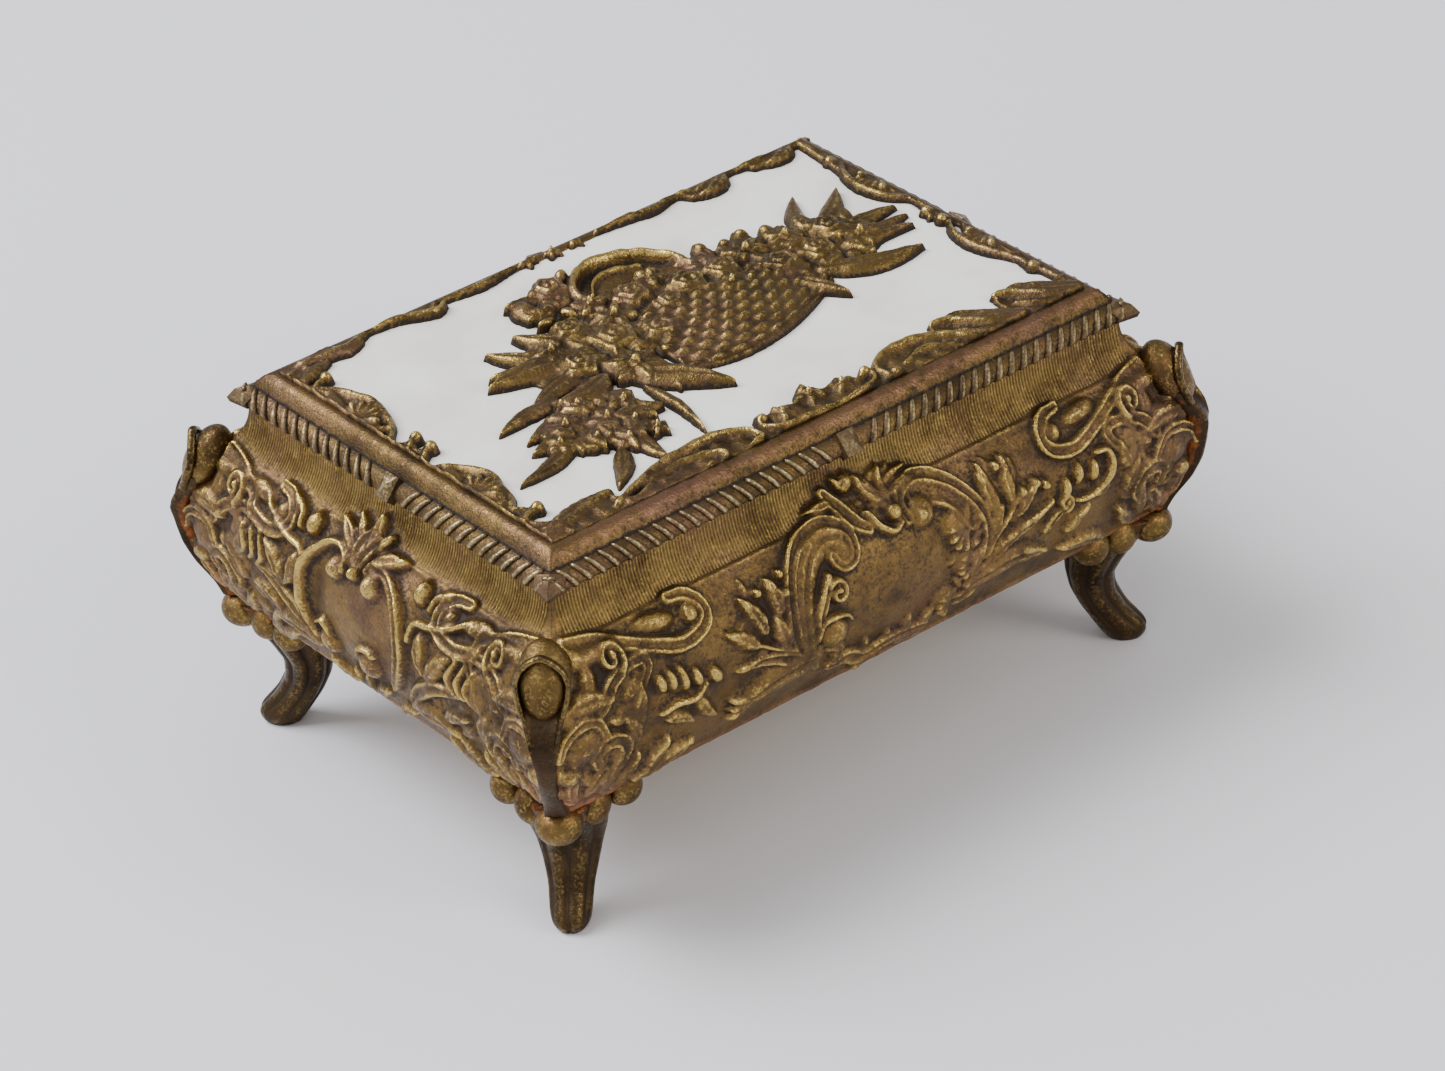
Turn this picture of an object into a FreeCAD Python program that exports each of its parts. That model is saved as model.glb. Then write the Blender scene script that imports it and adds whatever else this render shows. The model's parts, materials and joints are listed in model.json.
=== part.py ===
"""Footed vanity trinket box with a hinged, enamelled lid, as a parametric FreeCAD document.

Millimetres. +Z is up, the feet stand on Z = 0, the origin is under the middle of the box,
the long side runs along X, the front faces -Y and the lid's hinge is at the back, on +Y.
"""

import FreeCAD, Part

import math
import os

import Sketcher
from FreeCAD import Placement, Rotation, Vector

SIZES = {
    # Lid, over the tips of its moulded edge, and the heights of the box above the table.
    "lid_length": 100.0,
    "lid_width": 68.0,
    "hem_height": 20.0,  # lower edge of the side panels
    "belly_height": 34.0,  # where the side panels bulge the most
    "waist_height": 43.8,  # line between the bulge and the hollow neck
    "rim_height": 50.0,  # top of the side panels
    # Side panels. An "out" is measured outwards from the edge of the lid.
    "rim_inset": 1.6,
    "waist_out": 1.5,
    "belly_out": 5.8,
    "hem_out": 1.5,
    "wall": 2.0,
    # Base plate and the screws that hold the legs to it.
    "base_thick": 1.0,
    "joint_gap": 0.05,  # between a piece and the seat that it is soldered or laid in
    "screw_inset": 5.0,
    "screw_radius": 1.0,
    "screw_head_radius": 1.9,
    "screw_head_depth": 0.9,
    "screw_length": 5.5,
    # Linings: card covered with velvet.
    "card_thick": 0.8,
    "velvet_thick": 1.6,
    "side_lining_thick": 1.2,
    "lining_gap": 0.1,
    "lining_drop": 2.0,  # from the rim down to the top of the side linings
    # Lid casting, measured up from its seat on the rim.
    "edge_thick": 3.25,
    "edge_draft": 31.0,
    "moulding_inset": 2.1,
    "moulding_thick": 1.4,
    "moulding_draft": 32.0,
    "field_inset": 4.6,
    "field_web": 1.2,
    "pad_recess": 2.75,
    "enamel_thick": 0.6,
    "lip_gap": 0.4,
    "lip_thick": 1.0,
    "lip_depth": 1.2,
    "relief_rise": 3.4,  # top of the flower basket above the web
    "relief_root": 0.5,  # how far its ground goes into the web
    "handle_radius": 1.1,  # rod that the basket's handle is made of
    "handle_sink": 0.2,  # how deep the basket's handle sits in the enamel
    # Hinges: two, each with one lid lug between two body lugs.
    "hinge_spacing": 56.0,
    "hinge_clear": 0.2,  # from the lid's edge back to the knuckles
    "hinge_drop": 0.8,  # from the rim down to the hinge axis
    "knuckle_radius": 1.2,
    "pin_radius": 0.5,
    "pin_play": 0.05,
    "pin_overhang": 0.3,
    "lid_lug_width": 4.0,
    "lid_lug_thick": 0.9,
    "body_lug_width": 2.6,
    "lug_gap": 0.2,
    # Legs: a corner scroll with a lipped top, a row of beads and a flared foot.
    "scroll_top": 46.4,
    "scroll_lip_out": 4.2,
    "keel_proud": 0.5,
    "corner_bead_radius": 2.9,
    "corner_bead_out": 1.1,
    "side_bead_radius": 2.4,
    "side_bead_out": 0.5,
    "bead_pitch": 4.6,
    "bead_drop": 1.6,
}

ROOT2 = math.sqrt(2.0)

# Half width of the scroll's foot, then its stations between the hem and its top: share of
# that height, how far the keel stands proud of the panels as a share of keel_proud, and half
# of its width.
SCROLL_FOOT_HALF_WIDTH = 2.4
SCROLL_STATIONS = (
    (0.10, 1.1, 2.1),
    (0.30, 1.0, 1.8),
    (0.53, 1.0, 2.2),
    (0.68, 1.1, 2.8),
    (0.81, 1.3, 3.3),
)
SCROLL_LIP_HALF_WIDTH = 3.2
SCROLL_LIP_DROP = 1.9
SCROLL_DEPTH = 3.4

# Stations of the foot: share of the hem's height, inner and outer reach along the box's
# diagonal from the lid's corner, and half of its width.
FOOT_STATIONS = (
    (1.00, -11.0, 2.0, 5.2),
    (0.85, -10.4, 0.3, 4.9),
    (0.70, -10.3, -2.0, 4.3),
    (0.55, -10.2, -3.4, 3.8),
    (0.40, -9.6, -3.3, 3.3),
    (0.25, -8.2, -1.9, 3.0),
    (0.10, -6.2, 0.3, 2.85),
    (0.00, -4.6, 0.0, 2.5),
)

# Low domes that carry the lid's flowers: centre, and radii along X and Y.
RELIEF_DOMES = (
    (6.4, 0.0, 20.0, 10.5),  # woven basket
    (-16.6, 0.0, 13.0, 11.0),  # near end's flowers
    (-25.6, -10.0, 9.0, 7.0),  # near end's small blossoms
    (27.4, 6.0, 12.0, 10.5),  # far end's flowers
    (6.4, 11.0, 14.0, 8.0),  # flowers along the basket's back
    (-9.6, 21.0, 5.0, 4.0),  # rose at the foot of the handle
)
HANDLE_CENTRE = (2.4, 13.4)
HANDLE_BEND = 10.5
# Half of the length and the width of the enamel that the basket above is drawn for.
BASKET_FIELD = (45.4, 29.4)

document = FreeCAD.newDocument("trinket_box")
sheet = document.addObject("Spreadsheet::Sheet", "Sizes")
for row, (alias, value) in enumerate(SIZES.items(), start=1):
    sheet.set(f"A{row}", alias)
    sheet.set(f"B{row}", str(value))
    sheet.setAlias(f"B{row}", alias)
document.recompute()


def size(alias):
    """Returns the spreadsheet's value for an alias, in millimetres."""
    return float(sheet.get(alias))


def sized(text):
    """Puts the spreadsheet's name before each alias in an expression."""
    for alias in sorted(SIZES, key=len, reverse=True):
        text = text.replace(f"<{alias}>", f"Sizes.{alias}")
    return text


# Expressions that several pieces share.
LID_SEAT = "<rim_height> + <joint_gap>"
WEB_BOTTOM = f"{LID_SEAT} + <pad_recess>"
WEB_TOP = f"{WEB_BOTTOM} + <field_web>"
HINGE_BACK = "(<knuckle_radius> + <hinge_clear>)"
HINGE_Y = f"<lid_width> / 2 + {HINGE_BACK}"
HINGE_Z = "<rim_height> - <hinge_drop>"
LOWER_RADIUS = "((<belly_height> - <hem_height>) ^ 2 / (<belly_out> - <hem_out>) + <belly_out> - <hem_out>) / 2"
HEM_INNER = (
    f"<belly_out> - {LOWER_RADIUS} + sqrt(({LOWER_RADIUS} - <wall>) ^ 2 - (<belly_height> - <hem_height>) ^ 2)"
)
NECK_OPENING = "-<rim_inset> - <wall>"
LINING_OUTER = f"{NECK_OPENING} - <lining_gap>"
LINING_INNER = f"{LINING_OUTER} - <side_lining_thick>"


def bind(feature, **expressions):
    """Binds properties of a feature to expressions of the sheet, such as Length="<wall>"."""
    for name, text in expressions.items():
        feature.setExpression(name.replace("__", "."), sized(text))
    return feature


def box(label, x, y, z, length, width, height):
    """Adds a Part::Box whose corner and sizes are expressions of the sheet."""
    made = document.addObject("Part::Box", label)
    bind(made, Placement__Base__x=x, Placement__Base__y=y, Placement__Base__z=z)
    return bind(made, Length=length, Width=width, Height=height)


def centred_box(label, length, width, z, height):
    """Adds a Part::Box centred on the origin in X and Y."""
    return box(label, f"-({length}) / 2", f"-({width}) / 2", z, length, width, height)


def rod_along_x(label, x, y, z, radius, length):
    """Adds a Part::Cylinder that starts at x, y, z and runs along +X."""
    made = document.addObject("Part::Cylinder", label)
    made.Placement = Placement(Vector(), Rotation(Vector(0, 1, 0), 90))
    bind(made, Placement__Base__x=x, Placement__Base__y=y, Placement__Base__z=z)
    return bind(made, Radius=radius, Height=length)


def fuse(label, pieces):
    """Adds the union of several objects."""
    made = document.addObject("Part::MultiFuse", label)
    made.Shapes = pieces
    return made


def cut(label, base, tool):
    """Adds base with tool taken away."""
    made = document.addObject("Part::Cut", label)
    made.Base = base
    made.Tool = tool
    return made


def new_sketch(body, name, plane_role, height=None):
    """Adds a sketch on one of the body's own origin planes, raised to a height if given."""
    sketch = body.newObject("Sketcher::SketchObject", name)
    plane = next(f for f in body.Origin.OriginFeatures if f.Role == plane_role)
    sketch.AttachmentSupport = [(plane, "")]
    sketch.MapMode = "FlatFace"
    if height:
        bind(sketch, AttachmentOffset__Base__z=height)
    return sketch


def dimension(sketch, kind, geometry, point, text):
    """Adds a DistanceX or DistanceY from the sketch's origin to a point, bound to the sheet."""
    probe = sketch.getPoint(geometry, point)
    now = probe.x if kind == "DistanceX" else probe.y
    if now < 0:
        index = sketch.addConstraint(
            Sketcher.Constraint(kind, geometry, point, -1, 1, -now)
        )
        text = f"-({text})"
    else:
        index = sketch.addConstraint(
            Sketcher.Constraint(kind, -1, 1, geometry, point, now)
        )
    sketch.setExpression(f"Constraints[{index}]", sized(text))


def place_point(sketch, geometry, point, across, up):
    """Dimensions one point of a sketch both ways."""
    dimension(sketch, "DistanceX", geometry, point, across)
    dimension(sketch, "DistanceY", geometry, point, up)


def join_ends(sketch, count):
    """Makes each edge of a closed outline end where the next one starts."""
    for index in range(count):
        sketch.addConstraint(
            Sketcher.Constraint("Coincident", index, 2, (index + 1) % count, 1)
        )


def evaluate(text):
    """Works an expression of the sheet out, for a sketch's first guess."""
    return float(sheet.evalExpression(sized(text)))


def polygon_sketch(body, name, plane_role, corners, height=None):
    """Adds a closed sketch of straight edges through corners given as pairs of expressions."""
    sketch = new_sketch(body, name, plane_role, height)
    points = [Vector(evaluate(a), evaluate(b), 0) for a, b in corners]
    for index, start in enumerate(points):
        edge = Part.LineSegment(start, points[(index + 1) % len(points)])
        sketch.addGeometry(edge, False)
    join_ends(sketch, len(points))
    for index, (across, up) in enumerate(corners):
        place_point(sketch, index, 1, across, up)
    return sketch


def rectangle_sketch(body, name, inset, height):
    """Adds a level rectangle, as far inside the lid's edge as inset says."""
    half_x = f"<lid_length> / 2 - ({inset})"
    half_y = f"<lid_width> / 2 - ({inset})"
    corners = [
        (f"{sx}({half_x})", f"{sy}({half_y})")
        for sx, sy in (("-", "-"), ("", "-"), ("", ""), ("-", ""))
    ]
    return polygon_sketch(body, name, "XY_Plane", corners, height)


def pad(body, name, sketch, length, draft=None, symmetric=False):
    """Adds a Pad of a sketch, with draft for a casting's sloping sides."""
    made = body.newObject("PartDesign::Pad", name)
    made.Profile = sketch
    if symmetric:
        made.SideType = "Symmetric"
    if draft:
        bind(made, TaperAngle=f"-{draft}")
    return bind(made, Length=length)


def pocket(body, name, sketch, length, upwards=False, symmetric=False):
    """Adds a Pocket of a sketch, which cuts downwards unless upwards is set."""
    made = body.newObject("PartDesign::Pocket", name)
    made.Profile = sketch
    made.Reversed = upwards
    if symmetric:
        made.SideType = "Symmetric"
    return bind(made, Length=length)


# Side panels ------------------------------------------------------------------------------


def neck_radius():
    """Returns the radius of the hollow neck, which starts upright at the rim."""
    across = size("waist_out") + size("rim_inset")
    down = size("rim_height") - size("waist_height")
    return (across**2 + down**2) / (2 * across)


def bulge_radius(end_height, end_out):
    """Returns the radius of an arc that is upright at the belly and passes one other point."""
    along = size("belly_height") - end_height
    across = size("belly_out") - end_out
    return (along**2 + across**2) / (2 * across)


def panel_out(height):
    """Returns how far the outside of the panels stands out from the lid's edge at a height."""
    if height >= size("waist_height"):
        radius = neck_radius()
        drop = size("rim_height") - height
        return radius - size("rim_inset") - math.sqrt(radius**2 - drop**2)
    if height >= size("belly_height"):
        radius = bulge_radius(size("waist_height"), size("waist_out"))
    else:
        radius = bulge_radius(size("hem_height"), size("hem_out"))
    rise = height - size("belly_height")
    return size("belly_out") - radius + math.sqrt(radius**2 - rise**2)


def arc_between(centre, start, end, counterclockwise):
    """Returns a sketch arc about centre, that joins start and end."""
    first, last = (start, end) if counterclockwise else (end, start)
    radius = (start - centre).Length
    angles = [math.atan2(p.y - centre.y, p.x - centre.x) for p in (first, last)]
    if angles[1] < angles[0]:
        angles[1] += 2 * math.pi
    circle = Part.Circle(centre, Vector(0, 0, 1), radius)
    return Part.ArcOfCircle(circle, angles[0], angles[1])


def circles_meet(centre_a, radius_a, centre_b, radius_b, near):
    """Returns the crossing of two circles that is nearest to a point."""
    apart = centre_b - centre_a
    along = (apart.Length**2 + radius_a**2 - radius_b**2) / (2 * apart.Length)
    aside = math.sqrt(radius_a**2 - along**2)
    forward = Vector(apart).normalize()
    sideways = Vector(-forward.y, forward.x, 0)
    found = [centre_a + forward * along + sideways * (s * aside) for s in (-1, 1)]
    return min(found, key=lambda point: (point - near).Length)


def panel_section(body, reach):
    """Sketches a panel's section across its wall: hollow neck above, bulging belly below."""
    lid_edge = evaluate(reach)
    rim = Vector(lid_edge - size("rim_inset"), size("rim_height"), 0)
    waist = Vector(lid_edge + size("waist_out"), size("waist_height"), 0)
    belly = Vector(lid_edge + size("belly_out"), size("belly_height"), 0)
    hem = Vector(lid_edge + size("hem_out"), size("hem_height"), 0)
    wall = size("wall")
    upper = bulge_radius(size("waist_height"), size("waist_out"))
    lower = bulge_radius(size("hem_height"), size("hem_out"))
    neck_centre = Vector(rim.x + neck_radius(), rim.y, 0)
    upper_centre = Vector(belly.x - upper, belly.y, 0)
    lower_centre = Vector(belly.x - lower, belly.y, 0)
    inner_rim = Vector(rim.x - wall, rim.y, 0)
    inner_belly = Vector(belly.x - wall, belly.y, 0)
    inner_waist = circles_meet(
        neck_centre, neck_radius() + wall, upper_centre, upper - wall, waist
    )
    inner_hem = Vector(lid_edge + evaluate(HEM_INNER), hem.y, 0)

    sketch = new_sketch(body, "Section", "YZ_Plane")
    # An arc always runs counterclockwise, so each is listed with the way its ends lie.
    sketch.addGeometry(arc_between(neck_centre, rim, waist, True), False)
    sketch.addGeometry(arc_between(upper_centre, waist, belly, False), False)
    sketch.addGeometry(arc_between(lower_centre, belly, hem, False), False)
    sketch.addGeometry(Part.LineSegment(hem, inner_hem), False)
    sketch.addGeometry(arc_between(lower_centre, inner_hem, inner_belly, True), False)
    sketch.addGeometry(arc_between(upper_centre, inner_belly, inner_waist, True), False)
    sketch.addGeometry(arc_between(neck_centre, inner_waist, inner_rim, False), False)
    sketch.addGeometry(Part.LineSegment(inner_rim, rim), False)
    starts = (1, 2, 2, 1, 1, 1, 2, 1)
    for index, start in enumerate(starts):
        following = (index + 1) % len(starts)
        sketch.addConstraint(
            Sketcher.Constraint(
                "Coincident", index, 3 - start, following, starts[following]
            )
        )
    for outer, inner in ((0, 6), (1, 5), (2, 4)):
        sketch.addConstraint(Sketcher.Constraint("Coincident", outer, 3, inner, 3))
    place_point(sketch, 0, 1, f"{reach} - <rim_inset>", "<rim_height>")
    place_point(sketch, 1, 2, f"{reach} + <waist_out>", "<waist_height>")
    place_point(sketch, 2, 2, f"{reach} + <belly_out>", "<belly_height>")
    place_point(sketch, 2, 1, f"{reach} + <hem_out>", "<hem_height>")
    dimension(sketch, "DistanceY", 0, 3, "<rim_height>")
    dimension(sketch, "DistanceY", 1, 3, "<belly_height>")
    dimension(sketch, "DistanceY", 2, 3, "<belly_height>")
    place_point(sketch, 4, 2, f"{reach} + <belly_out> - <wall>", "<belly_height>")
    place_point(sketch, 7, 1, f"{reach} - <rim_inset> - <wall>", "<rim_height>")
    dimension(sketch, "DistanceY", 4, 1, "<hem_height>")
    return sketch


def panel(name, reach, run, turn):
    """Adds one cast side panel, mitred at both ends, built on +Y and turned about Z."""
    body = document.addObject("PartDesign::Body", name)
    section = panel_section(body, reach)
    pad(body, "Casting", section, f"2 * ({run} + <belly_out>)", symmetric=True)
    inner = "(<rim_inset> + <wall> + 1)"
    outer = "(<belly_out> + 1)"
    for side in ("", "-"):
        corners = [
            (f"{side}({run} + {outer})", f"{reach} + {outer}"),
            (f"{side}({run} - {inner})", f"{reach} - {inner}"),
            (f"{side}({run} + {outer})", f"{reach} - {inner}"),
        ]
        mitre = polygon_sketch(body, "Mitre", "XY_Plane", corners)
        document.recompute()
        pocket(body, "MitreCut", mitre, "4 * <rim_height>", symmetric=True)
        document.recompute()
    body.Placement = Placement(Vector(), Rotation(Vector(0, 0, 1), turn))
    return body


def envelope():
    """Returns the solid that the outsides of the four panels enclose, from hem to rim."""
    solids = []
    for reach, run, turn in (
        (size("lid_width") / 2, size("lid_length") / 2, 0),
        (size("lid_length") / 2, size("lid_width") / 2, 90),
    ):
        heights = (size("hem_height"), size("belly_height"))
        heights += (size("waist_height"), size("rim_height"))
        edges = []
        for low, high in zip(heights, heights[1:]):
            stations = (low, (low + high) / 2, high)
            points = [Vector(0, reach + panel_out(z), z) for z in stations]
            # The belly belongs to the bulge on both sides of the waist line.
            if high == size("waist_height"):
                points[-1] = Vector(0, reach + size("waist_out"), high)
            edges.append(Part.Arc(*points).toShape())
        top = Vector(0, reach - size("rim_inset"), heights[-1])
        bottom = Vector(0, reach + size("hem_out"), heights[0])
        edges.append(Part.makeLine(top, Vector(0, 0, heights[-1])))
        edges.append(Part.makeLine(Vector(0, 0, heights[-1]), Vector(0, 0, heights[0])))
        edges.append(Part.makeLine(Vector(0, 0, heights[0]), bottom))
        half = Part.Face(Part.Wire(Part.__sortEdges__(edges)))
        length = run + size("belly_out") + 1
        quarter = half.extrude(Vector(length, 0, 0))
        solids.append(quarter.mirror(Vector(), Vector(1, -1, 0)) if turn else quarter)
    return solids[0].common(solids[1])


# Legs -------------------------------------------------------------------------------------


def level_ellipse(height, inner, outer, half_width):
    """Returns a level ellipse across the box's diagonal, at the lid's corner on +X and +Y."""
    along = (outer - inner) / 2
    middle = (outer + inner) / 2
    centre = Vector(
        size("lid_length") / 2 + middle / ROOT2,
        size("lid_width") / 2 + middle / ROOT2,
        height,
    )
    diagonal = Vector(1, 1, 0).normalize()
    across = Vector(-1, 1, 0).normalize()
    if along >= half_width:
        major, minor = diagonal * along, across * half_width
    else:
        major, minor = across * half_width, diagonal * along
    curve = Part.Ellipse(centre + major, centre + minor, centre)
    ellipse = curve.toShape()
    return Part.Wire(ellipse)


def scroll_solid():
    """Returns the corner scroll: a keel that follows the panels, with a lip at its top."""
    foot, top = size("hem_height"), size("scroll_top")
    rings = [
        level_ellipse(
            foot - size("bead_drop"),
            ROOT2 * size("hem_out") - SCROLL_DEPTH,
            ROOT2 * (size("hem_out") + size("keel_proud")),
            SCROLL_FOOT_HALF_WIDTH,
        )
    ]
    for share, proud, half_width in SCROLL_STATIONS:
        height = foot + share * (top - foot)
        out = ROOT2 * panel_out(height)
        outer = out + ROOT2 * proud * size("keel_proud")
        rings.append(level_ellipse(height, out - SCROLL_DEPTH, outer, half_width))
    lip = ROOT2 * size("scroll_lip_out")
    for height in (top - SCROLL_LIP_DROP, top):
        inner = ROOT2 * panel_out(height) - SCROLL_DEPTH
        rings.append(level_ellipse(height, inner, lip, SCROLL_LIP_HALF_WIDTH))
    return Part.makeLoft(rings, True)


def foot_solid():
    """Returns the flared foot, from the underside of the base plate to the table."""
    rings = [
        level_ellipse(share * size("hem_height"), inner, outer, half_width)
        for share, inner, outer, half_width in FOOT_STATIONS
    ]
    return Part.makeLoft(rings, True)


def bead_solids():
    """Returns the row of beads that runs round the corner, just under the hem."""
    corner = Vector(size("lid_length") / 2, size("lid_width") / 2, 0)
    height = size("hem_height") - size("bead_drop")
    corner_out, side_out = size("corner_bead_out"), size("side_bead_out")
    beads = [
        Part.makeSphere(
            size("corner_bead_radius"), corner + Vector(corner_out, corner_out, height)
        )
    ]
    for step in (1, 2):
        back = corner_out - step * size("bead_pitch")
        for x, y in ((back, side_out), (side_out, back)):
            place = corner + Vector(x, y, height)
            beads.append(Part.makeSphere(size("side_bead_radius"), place))
    return beads


def screw_places():
    """Returns the four places of the base screws, in X and Y."""
    across = size("lid_length") / 2 - size("screw_inset")
    along = size("lid_width") / 2 - size("screw_inset")
    return [(sx * across, sy * along) for sx in (-1, 1) for sy in (-1, 1)]


def leg_shape(body_envelope):
    """Returns the leg at the corner on +X and +Y, hollowed to fit the corner of the panels."""
    across, along = screw_places()[-1]
    tapped = Part.makeCylinder(
        size("screw_radius"),
        size("screw_length"),
        Vector(across, along, size("hem_height") + size("base_thick")),
        Vector(0, 0, -1),
    )
    leg = scroll_solid().fuse([foot_solid()] + bead_solids())
    return leg.cut([body_envelope, tapped])


def legs():
    """Adds the four legs, which are one casting and its mirror image."""
    shape = leg_shape(envelope())
    made = {}
    for end, flip_x in (("left", True), ("right", False)):
        for face, flip_y in (("front", True), ("back", False)):
            placed = shape.copy()
            if flip_x:
                placed = placed.mirror(Vector(), Vector(1, 0, 0))
            if flip_y:
                placed = placed.mirror(Vector(), Vector(0, 1, 0))
            leg = document.addObject("Part::Feature", f"leg_{face}_{end}")
            leg.Shape = placed
            made[leg.Label] = leg
    return made


# Base plate, screws and linings -----------------------------------------------------------


def base_screws():
    """Adds the four countersunk screws as one group."""
    top = "<hem_height> + <base_thick>"
    screws = []
    for number, (x, y) in enumerate(screw_places(), start=1):
        head = document.addObject("Part::Cone", f"ScrewHead{number}")
        bind(head, Radius1="<screw_radius>", Radius2="<screw_head_radius>")
        bind(head, Height="<screw_head_depth>")
        shank = document.addObject("Part::Cylinder", f"ScrewShank{number}")
        bind(shank, Radius="<screw_radius>", Height="<screw_length>")
        for piece, drop in ((head, "<screw_head_depth>"), (shank, "<screw_length>")):
            side_x = "-" if x < 0 else ""
            side_y = "-" if y < 0 else ""
            bind(
                piece,
                Placement__Base__x=f"{side_x}(<lid_length> / 2 - <screw_inset>)",
                Placement__Base__y=f"{side_y}(<lid_width> / 2 - <screw_inset>)",
                Placement__Base__z=f"{top} - {drop}",
            )
        screws.append(fuse(f"Screw{number}", [head, shank]))
    group = document.addObject("Part::Compound", "base_screws")
    group.Links = screws
    return group


def base_plate(screws):
    """Adds the sheet that closes the bottom, with its countersunk holes."""
    inset = f"({HEM_INNER} - <joint_gap>)"
    plate = centred_box(
        "BasePlateBlank",
        f"<lid_length> + 2 * {inset}",
        f"<lid_width> + 2 * {inset}",
        "<hem_height>",
        "<base_thick>",
    )
    return cut("base_plate", plate, screws)


def linings():
    """Adds the velvet-covered cards that stand round the inside, and the floor's pad."""
    floor = "<hem_height> + <base_thick>"
    tall = f"<rim_height> - <lining_drop> - ({floor})"
    made = {}
    long_run = f"<lid_length> + 2 * ({LINING_OUTER})"
    short_run = f"<lid_width> + 2 * ({LINING_INNER} - <joint_gap>)"
    for label, sign in (("lining_front", "-"), ("lining_back", "")):
        low = f"<lid_width> / 2 + ({LINING_INNER})" if not sign else f"-<lid_width> / 2 - ({LINING_OUTER})"
        made[label] = box(
            label, f"-({long_run}) / 2", low, floor, long_run, "<side_lining_thick>", tall
        )
    for label, sign in (("lining_left", "-"), ("lining_right", "")):
        low = f"<lid_length> / 2 + ({LINING_INNER})" if not sign else f"-<lid_length> / 2 - ({LINING_OUTER})"
        made[label] = box(
            label, low, f"-({short_run}) / 2", floor, "<side_lining_thick>", short_run, tall
        )
    pad_length = f"<lid_length> + 2 * ({LINING_INNER} - <lining_gap>)"
    pad_width = f"<lid_width> + 2 * ({LINING_INNER} - <lining_gap>)"
    made["floor_card"] = centred_box("floor_card", pad_length, pad_width, floor, "<card_thick>")
    made["floor_velvet"] = centred_box(
        "floor_velvet", pad_length, pad_width, f"{floor} + <card_thick>", "<velvet_thick>"
    )
    return made


# Hinges -----------------------------------------------------------------------------------


def hinge_rods(label, radius, half_widths):
    """Adds one rod on the hinge axis for each hinge, from -half_widths to +half_widths."""
    rods = []
    for number, side in enumerate(("-", ""), start=1):
        start = f"{side}<hinge_spacing> / 2 - ({half_widths})"
        rods.append(
            rod_along_x(
                f"{label}{number}", start, HINGE_Y, HINGE_Z, radius, f"2 * ({half_widths})"
            )
        )
    return rods


PIN_HALF = "<lid_lug_width> / 2 + <lug_gap> + <body_lug_width>"


def back_panel_with_lugs(plain):
    """Adds the back panel: the plain casting with two pairs of bored hinge lugs."""
    pieces = [plain]
    for side in ("-", ""):
        for inner in ("-", ""):
            offset = f"(<lid_lug_width> / 2 + <lug_gap> + <body_lug_width> / 2)"
            start = f"{side}<hinge_spacing> / 2 + {inner}{offset} - <body_lug_width> / 2"
            pieces.append(
                rod_along_x(
                    "BodyKnuckle", start, HINGE_Y, HINGE_Z, "<knuckle_radius>", "<body_lug_width>"
                )
            )
            web_depth = f"{HINGE_BACK} + <rim_inset> + <wall> / 4"
            pieces.append(
                box(
                    "BodyLugWeb",
                    start,
                    f"{HINGE_Y} - ({web_depth})",
                    f"{HINGE_Z} - <knuckle_radius>",
                    "<body_lug_width>",
                    web_depth,
                    "<knuckle_radius>",
                )
            )
    solid = fuse("BackPanelSolid", pieces)
    bores = fuse("BodyBores", hinge_rods("BodyBore", "<pin_radius>", f"{PIN_HALF} + <pin_overhang>"))
    return cut("back_panel", solid, bores)


def hinge_pins():
    """Adds the two hinge pins, a press fit in the body's lugs and free in the lid's."""
    rods = hinge_rods("HingePin", "<pin_radius>", f"{PIN_HALF} + <pin_overhang>")
    for rod, label in zip(rods, ("hinge_pin_left", "hinge_pin_right")):
        rod.Label = label
    return {rod.Label: rod for rod in rods}


# Lid --------------------------------------------------------------------------------------


def relief_domes(label, base):
    """Adds the raised ground of the flower basket, from a height up."""
    along = f"(<lid_length> / 2 - <field_inset>) / {BASKET_FIELD[0]}"
    across = f"(<lid_width> / 2 - <field_inset>) / {BASKET_FIELD[1]}"
    domes = []
    for number, (x, y, radius_x, radius_y) in enumerate(RELIEF_DOMES, start=1):
        dome = document.addObject("Part::Ellipsoid", f"{label}{number}")
        dome.Angle1, dome.Angle2 = 0, 90
        bind(dome, Placement__Base__x=f"{x} * {along}", Placement__Base__y=f"{y} * {across}")
        bind(dome, Radius1="<relief_rise> + <relief_root>", Placement__Base__z=base)
        bind(dome, Radius2=f"{radius_x} * {along}", Radius3=f"{radius_y} * {across}")
        domes.append(dome)
    handle = document.addObject("Part::Torus", f"{label}Handle")
    handle_base = f"{WEB_TOP} + <enamel_thick> - <handle_sink> + <handle_radius>"
    x, y = HANDLE_CENTRE
    bind(handle, Placement__Base__x=f"{x} * {along}", Placement__Base__y=f"{y} * {across}")
    bind(handle, Radius1=f"{HANDLE_BEND} * {across}", Radius2="<handle_radius>")
    bind(handle, Placement__Base__z=handle_base)
    return fuse(label, domes + [handle])


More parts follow.
